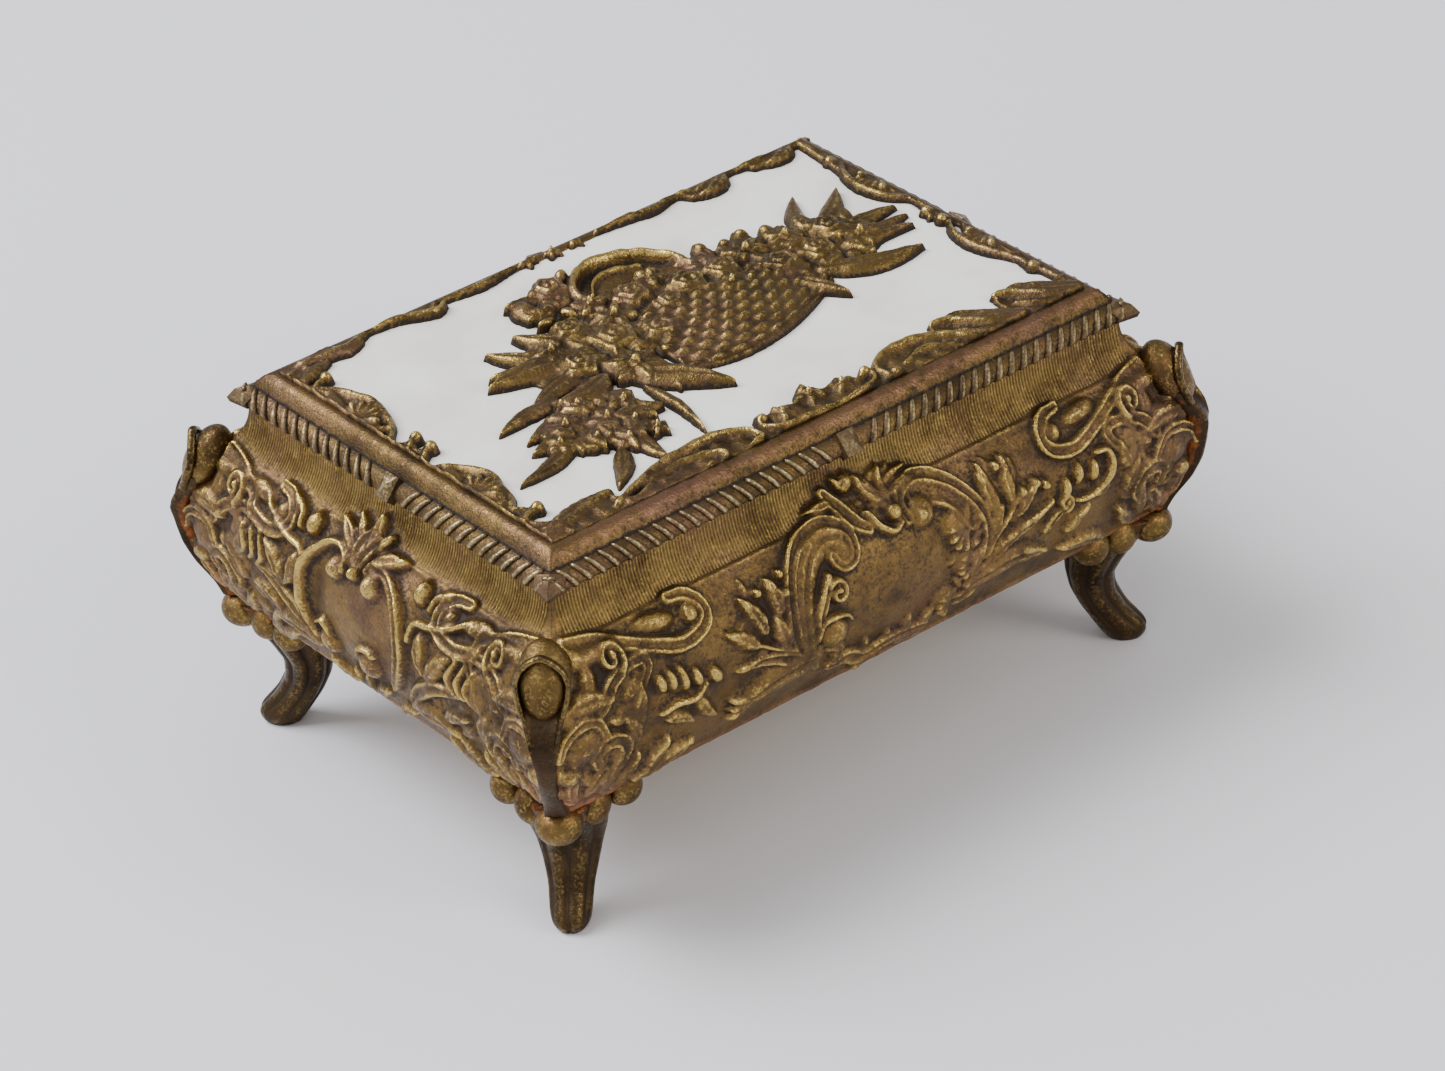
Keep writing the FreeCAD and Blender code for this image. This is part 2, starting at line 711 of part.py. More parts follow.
def lid_casting_body():
    """Adds the lid's frame and web: moulded edge, raised moulding, field, recess and lip."""
    body = document.addObject("PartDesign::Body", "LidFrame")
    edge = rectangle_sketch(body, "EdgeOutline", "0", LID_SEAT)
    pad(body, "Edge", edge, "<edge_thick>", draft="<edge_draft>")
    edge_top = f"{LID_SEAT} + <edge_thick>"
    moulding = rectangle_sketch(body, "MouldingOutline", "<moulding_inset>", edge_top)
    pad(body, "Moulding", moulding, "<moulding_thick>", draft="<moulding_draft>")
    frame_top = f"{edge_top} + <moulding_thick>"
    field = rectangle_sketch(body, "FieldOutline", "<field_inset>", frame_top)
    pocket(body, "Field", field, f"{frame_top} - ({WEB_TOP})")
    lip_outer = "<rim_inset> + <wall> + <lip_gap>"
    lip = rectangle_sketch(body, "LipOutline", lip_outer, f"{LID_SEAT} - <lip_depth>")
    pad(body, "Lip", lip, "<lip_depth>")
    recess = rectangle_sketch(
        body, "RecessOutline", f"{lip_outer} + <lip_thick>", f"{LID_SEAT} - <lip_depth>"
    )
    document.recompute()
    pocket(body, "Recess", recess, "<lip_depth> + <pad_recess>", upwards=True)
    document.recompute()
    return body


def lid_casting(relief):
    """Adds the whole lid casting, with its basket of flowers and two bored hinge lugs."""
    pieces = [lid_casting_body(), relief]
    pieces += hinge_rods("LidKnuckle", "<knuckle_radius>", "<lid_lug_width> / 2")
    for side in ("-", ""):
        pieces.append(
            box(
                "LidLugWeb",
                f"{side}<hinge_spacing> / 2 - <lid_lug_width> / 2",
                "<lid_width> / 2 - 1",
                LID_SEAT,
                "<lid_lug_width>",
                f"{HINGE_BACK} + 1",
                "<lid_lug_thick>",
            )
        )
    solid = fuse("LidSolid", pieces)
    bores = fuse("LidBores", hinge_rods("LidBore", "<pin_radius> + <pin_play>", PIN_HALF))
    return cut("lid_casting", solid, bores)


def lid_parts():
    """Adds the lid's casting, enamel, card and velvet pad."""
    relief = relief_domes("Relief", f"{WEB_TOP} - <relief_root>")
    enamel = centred_box(
        "EnamelSheet",
        "<lid_length> - 2 * <field_inset>",
        "<lid_width> - 2 * <field_inset>",
        WEB_TOP,
        "<enamel_thick>",
    )
    inset = "(<rim_inset> + <wall> + <lip_gap> + <lip_thick> + <lining_gap>)"
    length, width = f"<lid_length> - 2 * {inset}", f"<lid_width> - 2 * {inset}"
    card = f"{WEB_BOTTOM} - <card_thick>"
    return {
        "lid_casting": lid_casting(relief),
        "lid_enamel": cut("lid_enamel", enamel, relief),
        "lid_card": centred_box("lid_card", length, width, card, "<card_thick>"),
        "lid_velvet": centred_box(
            "lid_velvet", length, width, f"{card} - <velvet_thick>", "<velvet_thick>"
        ),
    }


# Assembly ---------------------------------------------------------------------------------


def build():
    """Builds every piece and returns them by node name."""
    half_length, half_width = "<lid_length> / 2", "<lid_width> / 2"
    nodes = {
        "front_panel": panel("front_panel", half_width, half_length, 180),
        "left_panel": panel("left_panel", half_length, half_width, 90),
        "right_panel": panel("right_panel", half_length, half_width, -90),
        "back_panel": back_panel_with_lugs(
            panel("PlainBackPanel", half_width, half_length, 0)
        ),
    }
    nodes.update(legs())
    nodes["base_screws"] = base_screws()
    nodes["base_plate"] = base_plate(nodes["base_screws"])
    nodes.update(linings())
    nodes.update(hinge_pins())
    nodes.update(lid_parts())
    return nodes


def export(nodes):
    """Checks every object, then writes each node to parts/NODE.step."""
    document.recompute()
    failed = [
        o.Name for o in document.Objects if {"Invalid", "Error"} & set(o.State)
    ]
    if failed:
        raise RuntimeError(f"these objects failed: {failed}")
    for name, feature in nodes.items():
        shape = feature.Shape
        if shape.isNull() or not shape.isValid() or not shape.Solids:
            raise RuntimeError(f"{name} is not a valid solid")
    os.makedirs("parts", exist_ok=True)
    for name, feature in nodes.items():
        feature.Shape.exportStep(f"parts/{name}.step")
        print(f"{name}: {len(feature.Shape.Solids)} solid(s), {feature.Shape.Volume:.1f} mm3")


export(build())
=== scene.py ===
"""Looks of a footed vanity trinket box: cast gilt sides and legs, enamelled lid, velvet inside.

Lengths are millimetres until a mesh is made, which is in metres. +Z is up, the front faces -Y
and the lid's hinge is on +Y.
"""

import json
import logging
import math
from dataclasses import dataclass, field
from enum import Enum
from typing import Callable, Iterable, Optional, Sequence

import bmesh
import bpy
import numpy as np
from mathutils import Matrix, Vector

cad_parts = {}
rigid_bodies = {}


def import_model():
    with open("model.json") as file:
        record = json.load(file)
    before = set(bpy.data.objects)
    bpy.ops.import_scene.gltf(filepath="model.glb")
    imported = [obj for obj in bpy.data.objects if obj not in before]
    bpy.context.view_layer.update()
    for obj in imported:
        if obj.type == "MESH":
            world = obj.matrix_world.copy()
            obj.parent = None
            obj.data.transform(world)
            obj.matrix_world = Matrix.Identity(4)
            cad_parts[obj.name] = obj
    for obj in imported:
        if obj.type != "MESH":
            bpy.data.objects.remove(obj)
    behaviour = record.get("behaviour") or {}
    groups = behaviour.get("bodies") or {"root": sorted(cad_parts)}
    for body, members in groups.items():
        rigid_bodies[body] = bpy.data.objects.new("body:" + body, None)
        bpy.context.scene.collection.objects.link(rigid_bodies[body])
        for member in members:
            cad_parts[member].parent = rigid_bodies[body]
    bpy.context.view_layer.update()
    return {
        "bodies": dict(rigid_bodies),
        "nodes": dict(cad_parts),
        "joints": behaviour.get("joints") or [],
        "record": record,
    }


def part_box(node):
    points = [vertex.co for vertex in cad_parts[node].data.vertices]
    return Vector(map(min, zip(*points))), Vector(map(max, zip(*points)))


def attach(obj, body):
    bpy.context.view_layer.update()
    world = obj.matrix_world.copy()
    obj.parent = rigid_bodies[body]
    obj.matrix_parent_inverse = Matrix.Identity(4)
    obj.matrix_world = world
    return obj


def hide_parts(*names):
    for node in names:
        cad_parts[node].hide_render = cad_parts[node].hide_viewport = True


LOG = logging.getLogger("trinket_box")
MM = 0.001
TAU = 2.0 * math.pi
ROOT2 = math.sqrt(2.0)
Point = tuple[float, float]
Colour = str | bpy.types.NodeSocket
Number = float | bpy.types.NodeSocket


# Small tools ------------------------------------------------------------------------------


def linear_rgb(hex_colour: str) -> tuple[float, float, float, float]:
    """Turns an sRGB hex colour into linear light.

    Args:
        hex_colour: six hex digits, with or without a leading #.

    Returns:
        Red, green, blue and an alpha of 1.
    """
    digits = hex_colour.lstrip("#")
    channels = [int(digits[i : i + 2], 16) / 255.0 for i in (0, 2, 4)]
    linear = [c / 12.92 if c <= 0.04045 else ((c + 0.055) / 1.055) ** 2.4 for c in channels]
    return (linear[0], linear[1], linear[2], 1.0)


def add_node(
    tree: bpy.types.NodeTree, kind: str, inputs: Optional[dict] = None, **settings: object
) -> bpy.types.Node:
    """Adds a node with its settings, and its inputs' values or links.

    Args:
        tree: the node tree to add to.
        kind: the node's type name.
        inputs: socket name or number to a value, or to an output socket to link from.
        settings: the node's own properties.

    Returns:
        The new node.
    """
    node = tree.nodes.new(kind)
    for name, value in settings.items():
        setattr(node, name, value)
    for key, value in (inputs or {}).items():
        if isinstance(value, bpy.types.NodeSocket):
            tree.links.new(value, node.inputs[key])
        else:
            node.inputs[key].default_value = value
    return node


def smoothstep(low: float, high: float, value: np.ndarray) -> np.ndarray:
    """Returns 0 below low, 1 above high, and a smooth rise between them."""
    t = np.clip((value - low) / (high - low), 0.0, 1.0)
    return t * t * (3.0 - 2.0 * t)


def smooth_path(points: Sequence[Point], step: float = 0.2) -> np.ndarray:
    """Runs a smooth line through a few points.

    Args:
        points: the points, in millimetres.
        step: distance between the samples of the line.

    Returns:
        The samples, one row each.
    """
    given = np.asarray(points, float)
    if len(given) < 3:
        count = max(2, int(np.linalg.norm(given[-1] - given[0]) / step))
        return given[0] + (given[-1] - given[0]) * np.linspace(0, 1, count)[:, None]
    ends = np.vstack([2 * given[0] - given[1], given, 2 * given[-1] - given[-2]])
    pieces = []
    for a, b, c, d in zip(ends, ends[1:], ends[2:], ends[3:]):
        count = max(2, int(np.linalg.norm(c - b) / step))
        t = np.linspace(0, 1, count, endpoint=False)[:, None]
        pieces.append(
            0.5 * (
                2 * b + (c - a) * t + (2 * a - 5 * b + 4 * c - d) * t**2 + (3 * b - a - 3 * c + d) * t**3
            )
        )
    return np.vstack(pieces + [given[-1:]])


def blur(values: np.ndarray, passes: int) -> np.ndarray:
    """Softens a grid of values by averaging neighbours, a number of times.

    Args:
        values: the grid.
        passes: how many times.

    Returns:
        The softened grid.
    """
    out = values.astype(float)
    for _ in range(passes):
        for axis in (0, 1):
            edge = [(1, 1) if a == axis else (0, 0) for a in (0, 1)]
            wide = np.pad(out, edge, mode="edge")
            low = np.take(wide, range(0, wide.shape[axis] - 2), axis)
            high = np.take(wide, range(2, wide.shape[axis]), axis)
            out = 0.5 * out + 0.25 * (low + high)
    return out


# Meshes -----------------------------------------------------------------------------------


def new_object(name: str, mesh: bpy.types.Mesh, material: Optional[bpy.types.Material]) -> bpy.types.Object:
    """Links a mesh as a new object at the origin and gives it a material.

    Args:
        name: the object's name.
        mesh: its mesh.
        material: its finish, if it has one.

    Returns:
        The object.
    """
    made = bpy.data.objects.new(name, mesh)
    bpy.context.scene.collection.objects.link(made)
    if material is not None:
        made.data.materials.clear()
        made.data.materials.append(material)
    return made


@dataclass
class Surface:
    """Points, faces and per-point values that build up one piece, in millimetres.

    Attributes:
        points: blocks of points, in the order they were added.
        faces: faces of any number of corners.
        quads: blocks of four-cornered faces.
        values: blocks of the values that each point carries, by name.
        count: how many points there are.
    """

    points: list[np.ndarray] = field(default_factory=list)
    faces: list[tuple[int, ...]] = field(default_factory=list)
    quads: list[np.ndarray] = field(default_factory=list)
    values: dict[str, list[np.ndarray]] = field(default_factory=lambda: {"relief": [], "wear": []})
    count: int = 0

    def add_points(
        self, points: np.ndarray, relief: float | np.ndarray = 0.0, wear: float | np.ndarray = 0.0
    ) -> int:
        """Adds points and their values.

        Args:
            points: one row of x, y, z each.
            relief: from -1 in a hollow to 1 on a ridge.
            wear: 0 where the gilding is whole, 1 where the copper below it shows.

        Returns:
            The number of the first point.
        """
        start = self.count
        rows = np.asarray(points, float).reshape(-1, 3)
        self.points.append(rows)
        for name, value in (("relief", relief), ("wear", wear)):
            filled = np.broadcast_to(
                np.asarray(value, float).reshape(-1), (len(rows),)
            ) if np.ndim(value) else np.full(len(rows), float(value))
            self.values[name].append(filled)
        self.count += len(rows)
        return start

    def add_grid(
        self, grid: np.ndarray, relief: float | np.ndarray = 0.0, wear: float | np.ndarray = 0.0,
        wrap_rows: bool = False, wrap_columns: bool = False, keep: Optional[np.ndarray] = None,
    ) -> np.ndarray:
        """Adds a sheet of quads.

        Args:
            grid: points by row and column.
            relief: value or grid of values, as in add_points.
            wear: value or grid of values, as in add_points.
            wrap_rows: joins the last row to the first.
            wrap_columns: joins the last column to the first.
            keep: which quads to make, by row and column; all if not given.

        Returns:
            The point numbers, by row and column.
        """
        rows, columns = grid.shape[:2]
        start = self.add_points(grid, relief, wear)
        index = np.arange(rows * columns).reshape(rows, columns) + start
        down = np.roll(index, -1, 0) if wrap_rows else index[1:]
        top = index if wrap_rows else index[:-1]
        right_top = np.roll(top, -1, 1) if wrap_columns else top[:, 1:]
        right_down = np.roll(down, -1, 1) if wrap_columns else down[:, 1:]
        left_top = top if wrap_columns else top[:, :-1]
        left_down = down if wrap_columns else down[:, :-1]
        quads = np.stack([left_top, right_top, right_down, left_down], -1).reshape(-1, 4)
        if keep is not None:
            quads = quads[keep.reshape(-1)]
        self.quads.append(quads)
        return index

    def add_cap(self, ring: Iterable[int]) -> None:
        """Closes a ring of points with one flat face."""
        self.faces.append(tuple(int(i) for i in ring))

    def build(self, name: str, material: bpy.types.Material) -> bpy.types.Object:
        """Makes the object, with its faces turned outwards.

        Args:
            name: the piece's name.
            material: its finish.

        Returns:
            The new object.
        """
        points = np.vstack(self.points) * MM
        faces = [tuple(q) for block in self.quads for q in block.tolist()] + self.faces
        mesh = bpy.data.meshes.new(name)
        mesh.from_pydata(points.tolist(), [], faces)
        for label, blocks in self.values.items():
            layer = mesh.attributes.new(label, "FLOAT", "POINT")
            layer.data.foreach_set("value", np.concatenate(blocks).astype(np.float32))
        work = bmesh.new()
        work.from_mesh(mesh)
        loose = [v for v in work.verts if not v.link_faces]
        bmesh.ops.delete(work, geom=loose, context="VERTS")
        bmesh.ops.recalc_face_normals(work, faces=work.faces)
        work.to_mesh(mesh)
        work.free()
        mesh.shade_smooth()
        return new_object(name, mesh, material)


def join(name: str, pieces: Sequence[bpy.types.Object]) -> bpy.types.Object:
    """Joins several objects into the first one.

    Args:
        name: the joined piece's name.
        pieces: the objects, which share a finish.

    Returns:
        The joined object.
    """
    bpy.ops.object.select_all(action="DESELECT")
    for piece in pieces:
        piece.select_set(True)
    bpy.context.view_layer.objects.active = pieces[0]
    bpy.ops.object.join()
    pieces[0].name = name
    pieces[0].data.name = name
    return pieces[0]


# Repeats with Geometry Nodes --------------------------------------------------------------


def repeat_tree(name: str) -> bpy.types.NodeTree:
    """Builds the tree that sets a template on every point of a mesh.

    Each point may carry a "turn" in radians and a "size" along the template's own axes. The
    named inputs are the template, a size for all of them, how much their sizes differ, the
    seed of that difference, and the finish.

    Args:
        name: the tree's name.

    Returns:
        The tree.
    """
    tree = bpy.data.node_groups.new(name, "GeometryNodeTree")
    face = tree.interface
    face.new_socket("Points", in_out="INPUT", socket_type="NodeSocketGeometry")
    face.new_socket("Template", in_out="INPUT", socket_type="NodeSocketObject")
    face.new_socket("Overall Size", in_out="INPUT", socket_type="NodeSocketFloat").default_value = 1.0
    face.new_socket("Size Difference", in_out="INPUT", socket_type="NodeSocketFloat")
    face.new_socket("Seed", in_out="INPUT", socket_type="NodeSocketInt").default_value = 7
    face.new_socket("Finish", in_out="INPUT", socket_type="NodeSocketMaterial")
    face.new_socket("Pieces", in_out="OUTPUT", socket_type="NodeSocketGeometry")
    given = add_node(tree, "NodeGroupInput").outputs
    template = add_node(tree, "GeometryNodeObjectInfo", {"Object": given["Template"]})
    turn = add_node(tree, "GeometryNodeInputNamedAttribute", {"Name": "turn"}, data_type="FLOAT_VECTOR")
    size = add_node(tree, "GeometryNodeInputNamedAttribute", {"Name": "size"}, data_type="FLOAT_VECTOR")
    low = add_node(
        tree, "ShaderNodeMath", {0: given["Overall Size"], 1: given["Size Difference"]},
        operation="SUBTRACT",
    )
    high = add_node(
        tree, "ShaderNodeMath", {0: given["Overall Size"], 1: given["Size Difference"]}, operation="ADD"
    )
    chance = add_node(
        tree, "FunctionNodeRandomValue", {2: low.outputs[0], 3: high.outputs[0], "Seed": given["Seed"]},
        data_type="FLOAT",
    )
    scale = add_node(
        tree, "ShaderNodeVectorMath", {0: size.outputs["Attribute"], "Scale": chance.outputs[1]},
        operation="SCALE",
    )
    placed = add_node(
        tree,
        "GeometryNodeInstanceOnPoints",
        {
            "Points": given["Points"],
            "Instance": template.outputs["Geometry"],
            "Rotation": turn.outputs["Attribute"],
            "Scale": scale.outputs["Vector"],
        },
    )
    real = add_node(tree, "GeometryNodeRealizeInstances", {"Geometry": placed.outputs[0]})
    dressed = add_node(
        tree, "GeometryNodeSetMaterial", {"Geometry": real.outputs[0], "Material": given["Finish"]}
    )
    add_node(tree, "NodeGroupOutput", {0: dressed.outputs[0]})
    return tree


@dataclass
class Repeater:
    """Sets copies of a small template on points, as a plain mesh.

    Attributes:
        tree: the geometry nodes that set the copies.
    """

    tree: bpy.types.NodeTree

    def place(
        self, name: str, template: bpy.types.Object, points: np.ndarray, turns: np.ndarray,
        sizes: np.ndarray, finish: bpy.types.Material, difference: float = 0.0, seed: int = 7,
    ) -> bpy.types.Object:
        """Makes one piece of many copies.

        Args:
            name: the piece's name.
            template: the object to copy, around the origin, which is removed at the end.
            points: where the copies go, in millimetres.
            turns: their turns about X, Y and Z, in radians.
            sizes: their sizes along their own axes.
            finish: their material.
            difference: how much their sizes may differ.
            seed: seed of that difference.

        Returns:
            The piece, as a plain mesh.
        """
        mesh = bpy.data.meshes.new(name + "_points")
        mesh.from_pydata((np.asarray(points, float) * MM).tolist(), [], [])
        for label, rows in (("turn", turns), ("size", sizes)):
            layer = mesh.attributes.new(label, "FLOAT_VECTOR", "POINT")
            layer.data.foreach_set("vector", np.asarray(rows, np.float32).reshape(-1))
        holder = new_object(name + "_holder", mesh, None)
        modifier = holder.modifiers.new("Repeat", "NODES")
        modifier.node_group = self.tree
        values = {
            "Template": template, "Overall Size": 1.0, "Size Difference": difference, "Seed": seed,
            "Finish": finish,
        }
        for item in self.tree.interface.items_tree:
            if item.in_out == "INPUT" and item.name in values:
                modifier[item.identifier] = values[item.name]
        graph = bpy.context.evaluated_depsgraph_get()
        graph.update()
        made = bpy.data.meshes.new_from_object(holder.evaluated_get(graph))
        made.name = name
        for spare in (holder, template):
            bpy.data.objects.remove(spare)
        made.shade_smooth()
        return new_object(name, made, finish)


# Cast relief ------------------------------------------------------------------------------


class Section(Enum):
    """How a strand of ornament is shaped across its width."""

    ROUND = "half round"
    GOUGE = "hollow between two rims"
    CREST = "one high rim, sloping away inwards"
    LEAF = "midrib, veins and a notched edge"


@dataclass
class Relief:
    """Ornament modelled as a height over a sheet of points, in millimetres.

    Attributes:
        across: first coordinate of each point.
        up: second coordinate of each point.
        pitch: distance between points.
        ground: the height before anything is added; below 0 where there is no metal.
        height: how far each point is raised.
    """

    across: np.ndarray
    up: np.ndarray
    pitch: float
    ground: float = 0.0
    height: np.ndarray = field(init=False)

    def __post_init__(self) -> None:
        """Starts the sheet at the ground's height."""
        self.height = np.full(self.across.shape, self.ground, float)

    def near(self, low: np.ndarray, high: np.ndarray) -> np.ndarray:
        """Finds the points inside a box.

        Args:
            low: the box's lower corner.
            high: its upper corner.

        Returns:
            Their flat numbers.
        """
        inside = (self.across >= low[0]) & (self.across <= high[0])
        return np.flatnonzero(inside & (self.up >= low[1]) & (self.up <= high[1]))

    def lift(self, numbers: np.ndarray, heights: np.ndarray) -> None:
        """Raises points to the given heights where those are higher."""
        flat = self.height.reshape(-1)
        flat[numbers] = np.maximum(flat[numbers], heights)

    def polar(self, centre: Point, reach: float) -> tuple[np.ndarray, np.ndarray, np.ndarray]:
        """Returns the points near a centre, with their distances and angles.

        Args:
            centre: the centre.
            reach: half the side of the square round it.

        Returns:
            The points' flat numbers, their distances from the centre, and their angles.
        """
        middle = np.asarray(centre, float)
        numbers = self.near(middle - reach, middle + reach)
        x = self.across.reshape(-1)[numbers] - middle[0]
        y = self.up.reshape(-1)[numbers] - middle[1]
        return numbers, np.hypot(x, y), np.arctan2(y, x)

    def dome(
        self, centre: Point, radii: Point, height: float, turn: float = 0.0, seat: float = 0.0,
        power: float = 0.5,
    ) -> None:
        """Adds an oval swelling.

        Args:
            centre: its middle.
            radii: its two radii.
            height: its rise above the seat.
            turn: its turn, in degrees.
            seat: the height that it stands on.
            power: 0.5 for a round one, more for one that fades out at its edge.
        """
        numbers, distance, angle = self.polar(centre, max(radii))
        x = distance * np.cos(angle - math.radians(turn)) / radii[0]
        y = distance * np.sin(angle - math.radians(turn)) / radii[1]
        inside = x**2 + y**2 < 1
        rise = height * (1 - np.minimum(x**2 + y**2, 1)) ** power
        self.lift(numbers[inside], seat + rise[inside])

    def strand(
        self, path: Sequence[Point] | np.ndarray, width: Sequence[float], height: Sequence[float],
        section: Section = Section.ROUND, seat: float = 0.0, notch: float = 0.0, notch_pitch: float = 1.5,
    ) -> None:
        """Adds a strand of ornament that follows a path.

        Args:
            path: a few points, or the samples of a line.
            width: half widths from the path's start to its end, evenly spaced along it.
            height: heights from start to end, likewise.
            section: the shape across it.
            seat: the height that it stands on.
            notch: how deep its edge is notched, as a share of the width.
            notch_pitch: distance between notches, and between a leaf's veins.
        """
        line = path if isinstance(path, np.ndarray) else smooth_path(path)
        steps = np.linalg.norm(np.diff(line, axis=0), axis=1)
        run = np.concatenate([[0.0], np.cumsum(steps)])
        share = run / run[-1]
        half = np.interp(share, np.linspace(0, 1, len(width)), width)
        rise = np.interp(share, np.linspace(0, 1, len(height)), height)
        half = np.maximum(half * (1 - notch * (0.5 + 0.5 * np.cos(TAU * run / notch_pitch))), 0.05)
        along = np.gradient(line, axis=0)
        along /= np.maximum(np.linalg.norm(along, axis=1, keepdims=True), 1e-9)
        reach = half.max()
        numbers = self.near(line.min(0) - reach, line.max(0) + reach)
        if not len(numbers):
            return
        flat_x, flat_y = self.across.reshape(-1), self.up.reshape(-1)
        for block in np.array_split(numbers, max(1, len(numbers) * len(line) // 4_000_000)):
            dx = flat_x[block][:, None] - line[None, :, 0]
            dy = flat_y[block][:, None] - line[None, :, 1]
            nearest = np.argmin((dx**2 + dy**2) / half[None, :] ** 2, axis=1)
            pick = (np.arange(len(block)), nearest)
            gap = np.hypot(dx[pick], dy[pick])
            side = np.sign(along[nearest, 0] * dy[pick] - along[nearest, 1] * dx[pick])
            q = gap / half[nearest]
            inside = q < 1
            q, side, nearest = q[inside], side[inside], nearest[inside]
            shape = self.across_shape(section, q, side, run[nearest], notch_pitch)
            self.lift(block[inside], seat + rise[nearest] * shape)

    def gouge(self, path: Sequence[Point], width: Sequence[float], height: Sequence[float]) -> None:
        """Adds a strand that is hollow between two rims; the arguments are those of strand."""
        self.strand(path, width, height, Section.GOUGE)

    @staticmethod
    def across_shape(
        section: Section, q: np.ndarray, side: np.ndarray, run: np.ndarray, pitch: float
    ) -> np.ndarray:
        """Returns a strand's relative height across its width.

        Args:
            section: the shape.
            q: distance from the path as a share of the half width.
            side: 1 to the left of the path, -1 to its right.
            run: distance along the path.
            pitch: distance between veins.

        Returns:
            Heights from 0 to about 1.
        """
        edge = np.maximum(1 - q**2, 0) ** 0.6
        if section is Section.ROUND:
            return edge * (0.96 + 0.04 * np.sin(run * 1.7 + 1.3 * np.sin(run * 0.7)))
        if section is Section.GOUGE:
            return (0.45 + 0.75 * q**2) * np.maximum(1 - q**8, 0) ** 0.7
        if section is Section.CREST:
            s = q * side
            rims = 0.45 * np.exp(-(((s - 0.42) / 0.11) ** 2)) + 0.4 * np.exp(-(((s + 0.8) / 0.15) ** 2))
            ribs = 0.09 * np.cos(TAU * run / 0.75) * smoothstep(0.3, 0.1, s) * smoothstep(-0.75, -0.55, s)
            return (0.5 + 0.12 * s + rims + ribs) * np.maximum(1 - q**6, 0) ** 0.7
        veins = 0.05 * np.cos(TAU * (run / pitch - 0.9 * q)) * (pitch < 90)
        midrib = 0.26 * np.exp(-((q / 0.13) ** 2))
        return edge * (0.86 + veins * q * 1.6 - midrib)

    def scroll(
        self, path: Sequence[Point], curl: float, hand: int, width: Sequence[float], height: float,
        turns: float = 1.2, section: Section = Section.GOUGE, seat: float = 0.0,
    ) -> None:
        """Adds a scroll: a strand whose end winds up into a volute.

        Args:
            path: the strand's points.
            curl: the volute's outer radius.
            hand: 1 to wind to the left of the strand's way, -1 to its right.
            width: half widths along the strand, the last one at the volute.
            height: its height.
            turns: how many turns the volute has.
            section: the shape across it.
            seat: the height that it stands on.
        """
        line = smooth_path(path)
        way = line[-1] - line[-3]
        way = way / np.linalg.norm(way)
        inward = np.array([-way[1], way[0]]) * hand
        centre = line[-1] + inward * curl
        start = math.atan2(-inward[1], -inward[0])
        s = np.linspace(0, 1, max(12, int(turns * 40)))[1:]
        angle = start + hand * TAU * turns * s
        radius = curl * (1 - 0.8 * s)
        coil = centre + np.stack([np.cos(angle), np.sin(angle)], 1) * radius[:, None]
        self.strand(line, width, [height * 0.75, height, height], section, seat)
        self.strand(
            coil, [width[-1], width[-1] * 0.75, width[-1] * 0.5], [height, height * 0.95], Section.ROUND,
            seat,
        )
        self.dome(tuple(coil[-1]), (curl * 0.36, curl * 0.36), height * 1.15, seat=seat)

    def leaf(
        self, base: Point, tip: Point, width: float, height: float, bend: float = 0.0, seat: float = 0.0,
        notch: float = 0.07, tip_lift: float = 1.0,
    ) -> None:
        """Adds one pointed leaf.

        Args:
            base: where it grows from.
            tip: its point.
            width: half of its width.
            height: its height.
            bend: how far its middle bows to the left of the way from base to tip.
            seat: the height that it stands on.
            notch: how deep its edge is notched.
            tip_lift: height at its tip as a share of the height.
        """
        a, b = np.asarray(base, float), np.asarray(tip, float)
        way = b - a
        sideways = np.array([-way[1], way[0]]) / np.linalg.norm(way)
        middle = (a + b) / 2 + sideways * bend
        widths = [0.45 * width, 0.9 * width, width, 0.8 * width, 0.5 * width, 0.1]
        heights = [height * 0.8, height, height, height * (0.5 + 0.5 * tip_lift), height * tip_lift]
        pitch = max(1.0, width * 0.8) if notch else 99.0
        self.strand([tuple(a), tuple(middle), tuple(b)], widths, heights, Section.LEAF, seat, notch, pitch)

    def petals(
        self, centre: Point, radius: float, height: float, count: int = 5, turn: float = 0.0,
        seat: float = 0.0,
    ) -> None:
        """Adds a flower of separate, creased petals round a button.

        Args:
            centre: its middle.
            radius: its radius.
            height: its height.
            count: how many petals it has.
            turn: its turn, in degrees.
            seat: the height that it stands on.
        """
        for number in range(count):
            angle = math.radians(turn + 360.0 * number / count)
            start = (
                centre[0] + 0.15 * radius * math.cos(angle), centre[1] + 0.15 * radius * math.sin(angle)
            )
            tip = (centre[0] + radius * math.cos(angle + 0.12), centre[1] + radius * math.sin(angle + 0.12))
            lift = height * (0.86 + 0.14 * math.sin(2.4 * number + turn))
            self.leaf(
                start, tip, radius * 0.36, lift, bend=radius * 0.06, seat=seat, notch=0.0, tip_lift=0.8
            )
        self.dome(centre, (radius * 0.24, radius * 0.24), height * 1.25, seat=seat)

    def rose(
        self, centre: Point, radius: float, height: float, turn: float = 0.0, seat: float = 0.0
    ) -> None:
        """Adds a full rose, whose petals wind round its heart.

        Args:
            centre: its middle.
            radius: its radius.
            height: its height.
            turn: its turn, in degrees.
            seat: the height that it stands on.
        """
        numbers, distance, angle = self.polar(centre, radius)
        theta = angle - math.radians(turn)
        outline = radius * (0.9 + 0.1 * np.cos(5 * theta))
        rho = distance / outline
        inside = rho < 1
        winding = (rho * 2.7 + theta / TAU + 0.08 * np.sin(3 * theta)) % 1.0
        petal = winding**1.6 * (1 - smoothstep(0.86, 1.0, winding))
        rise = height * ((1 - rho**4).clip(0, 1) ** 0.5 * 0.72 + 0.34 * petal * (1 - rho**6).clip(0, 1))
        self.lift(numbers[inside], seat + rise[inside])

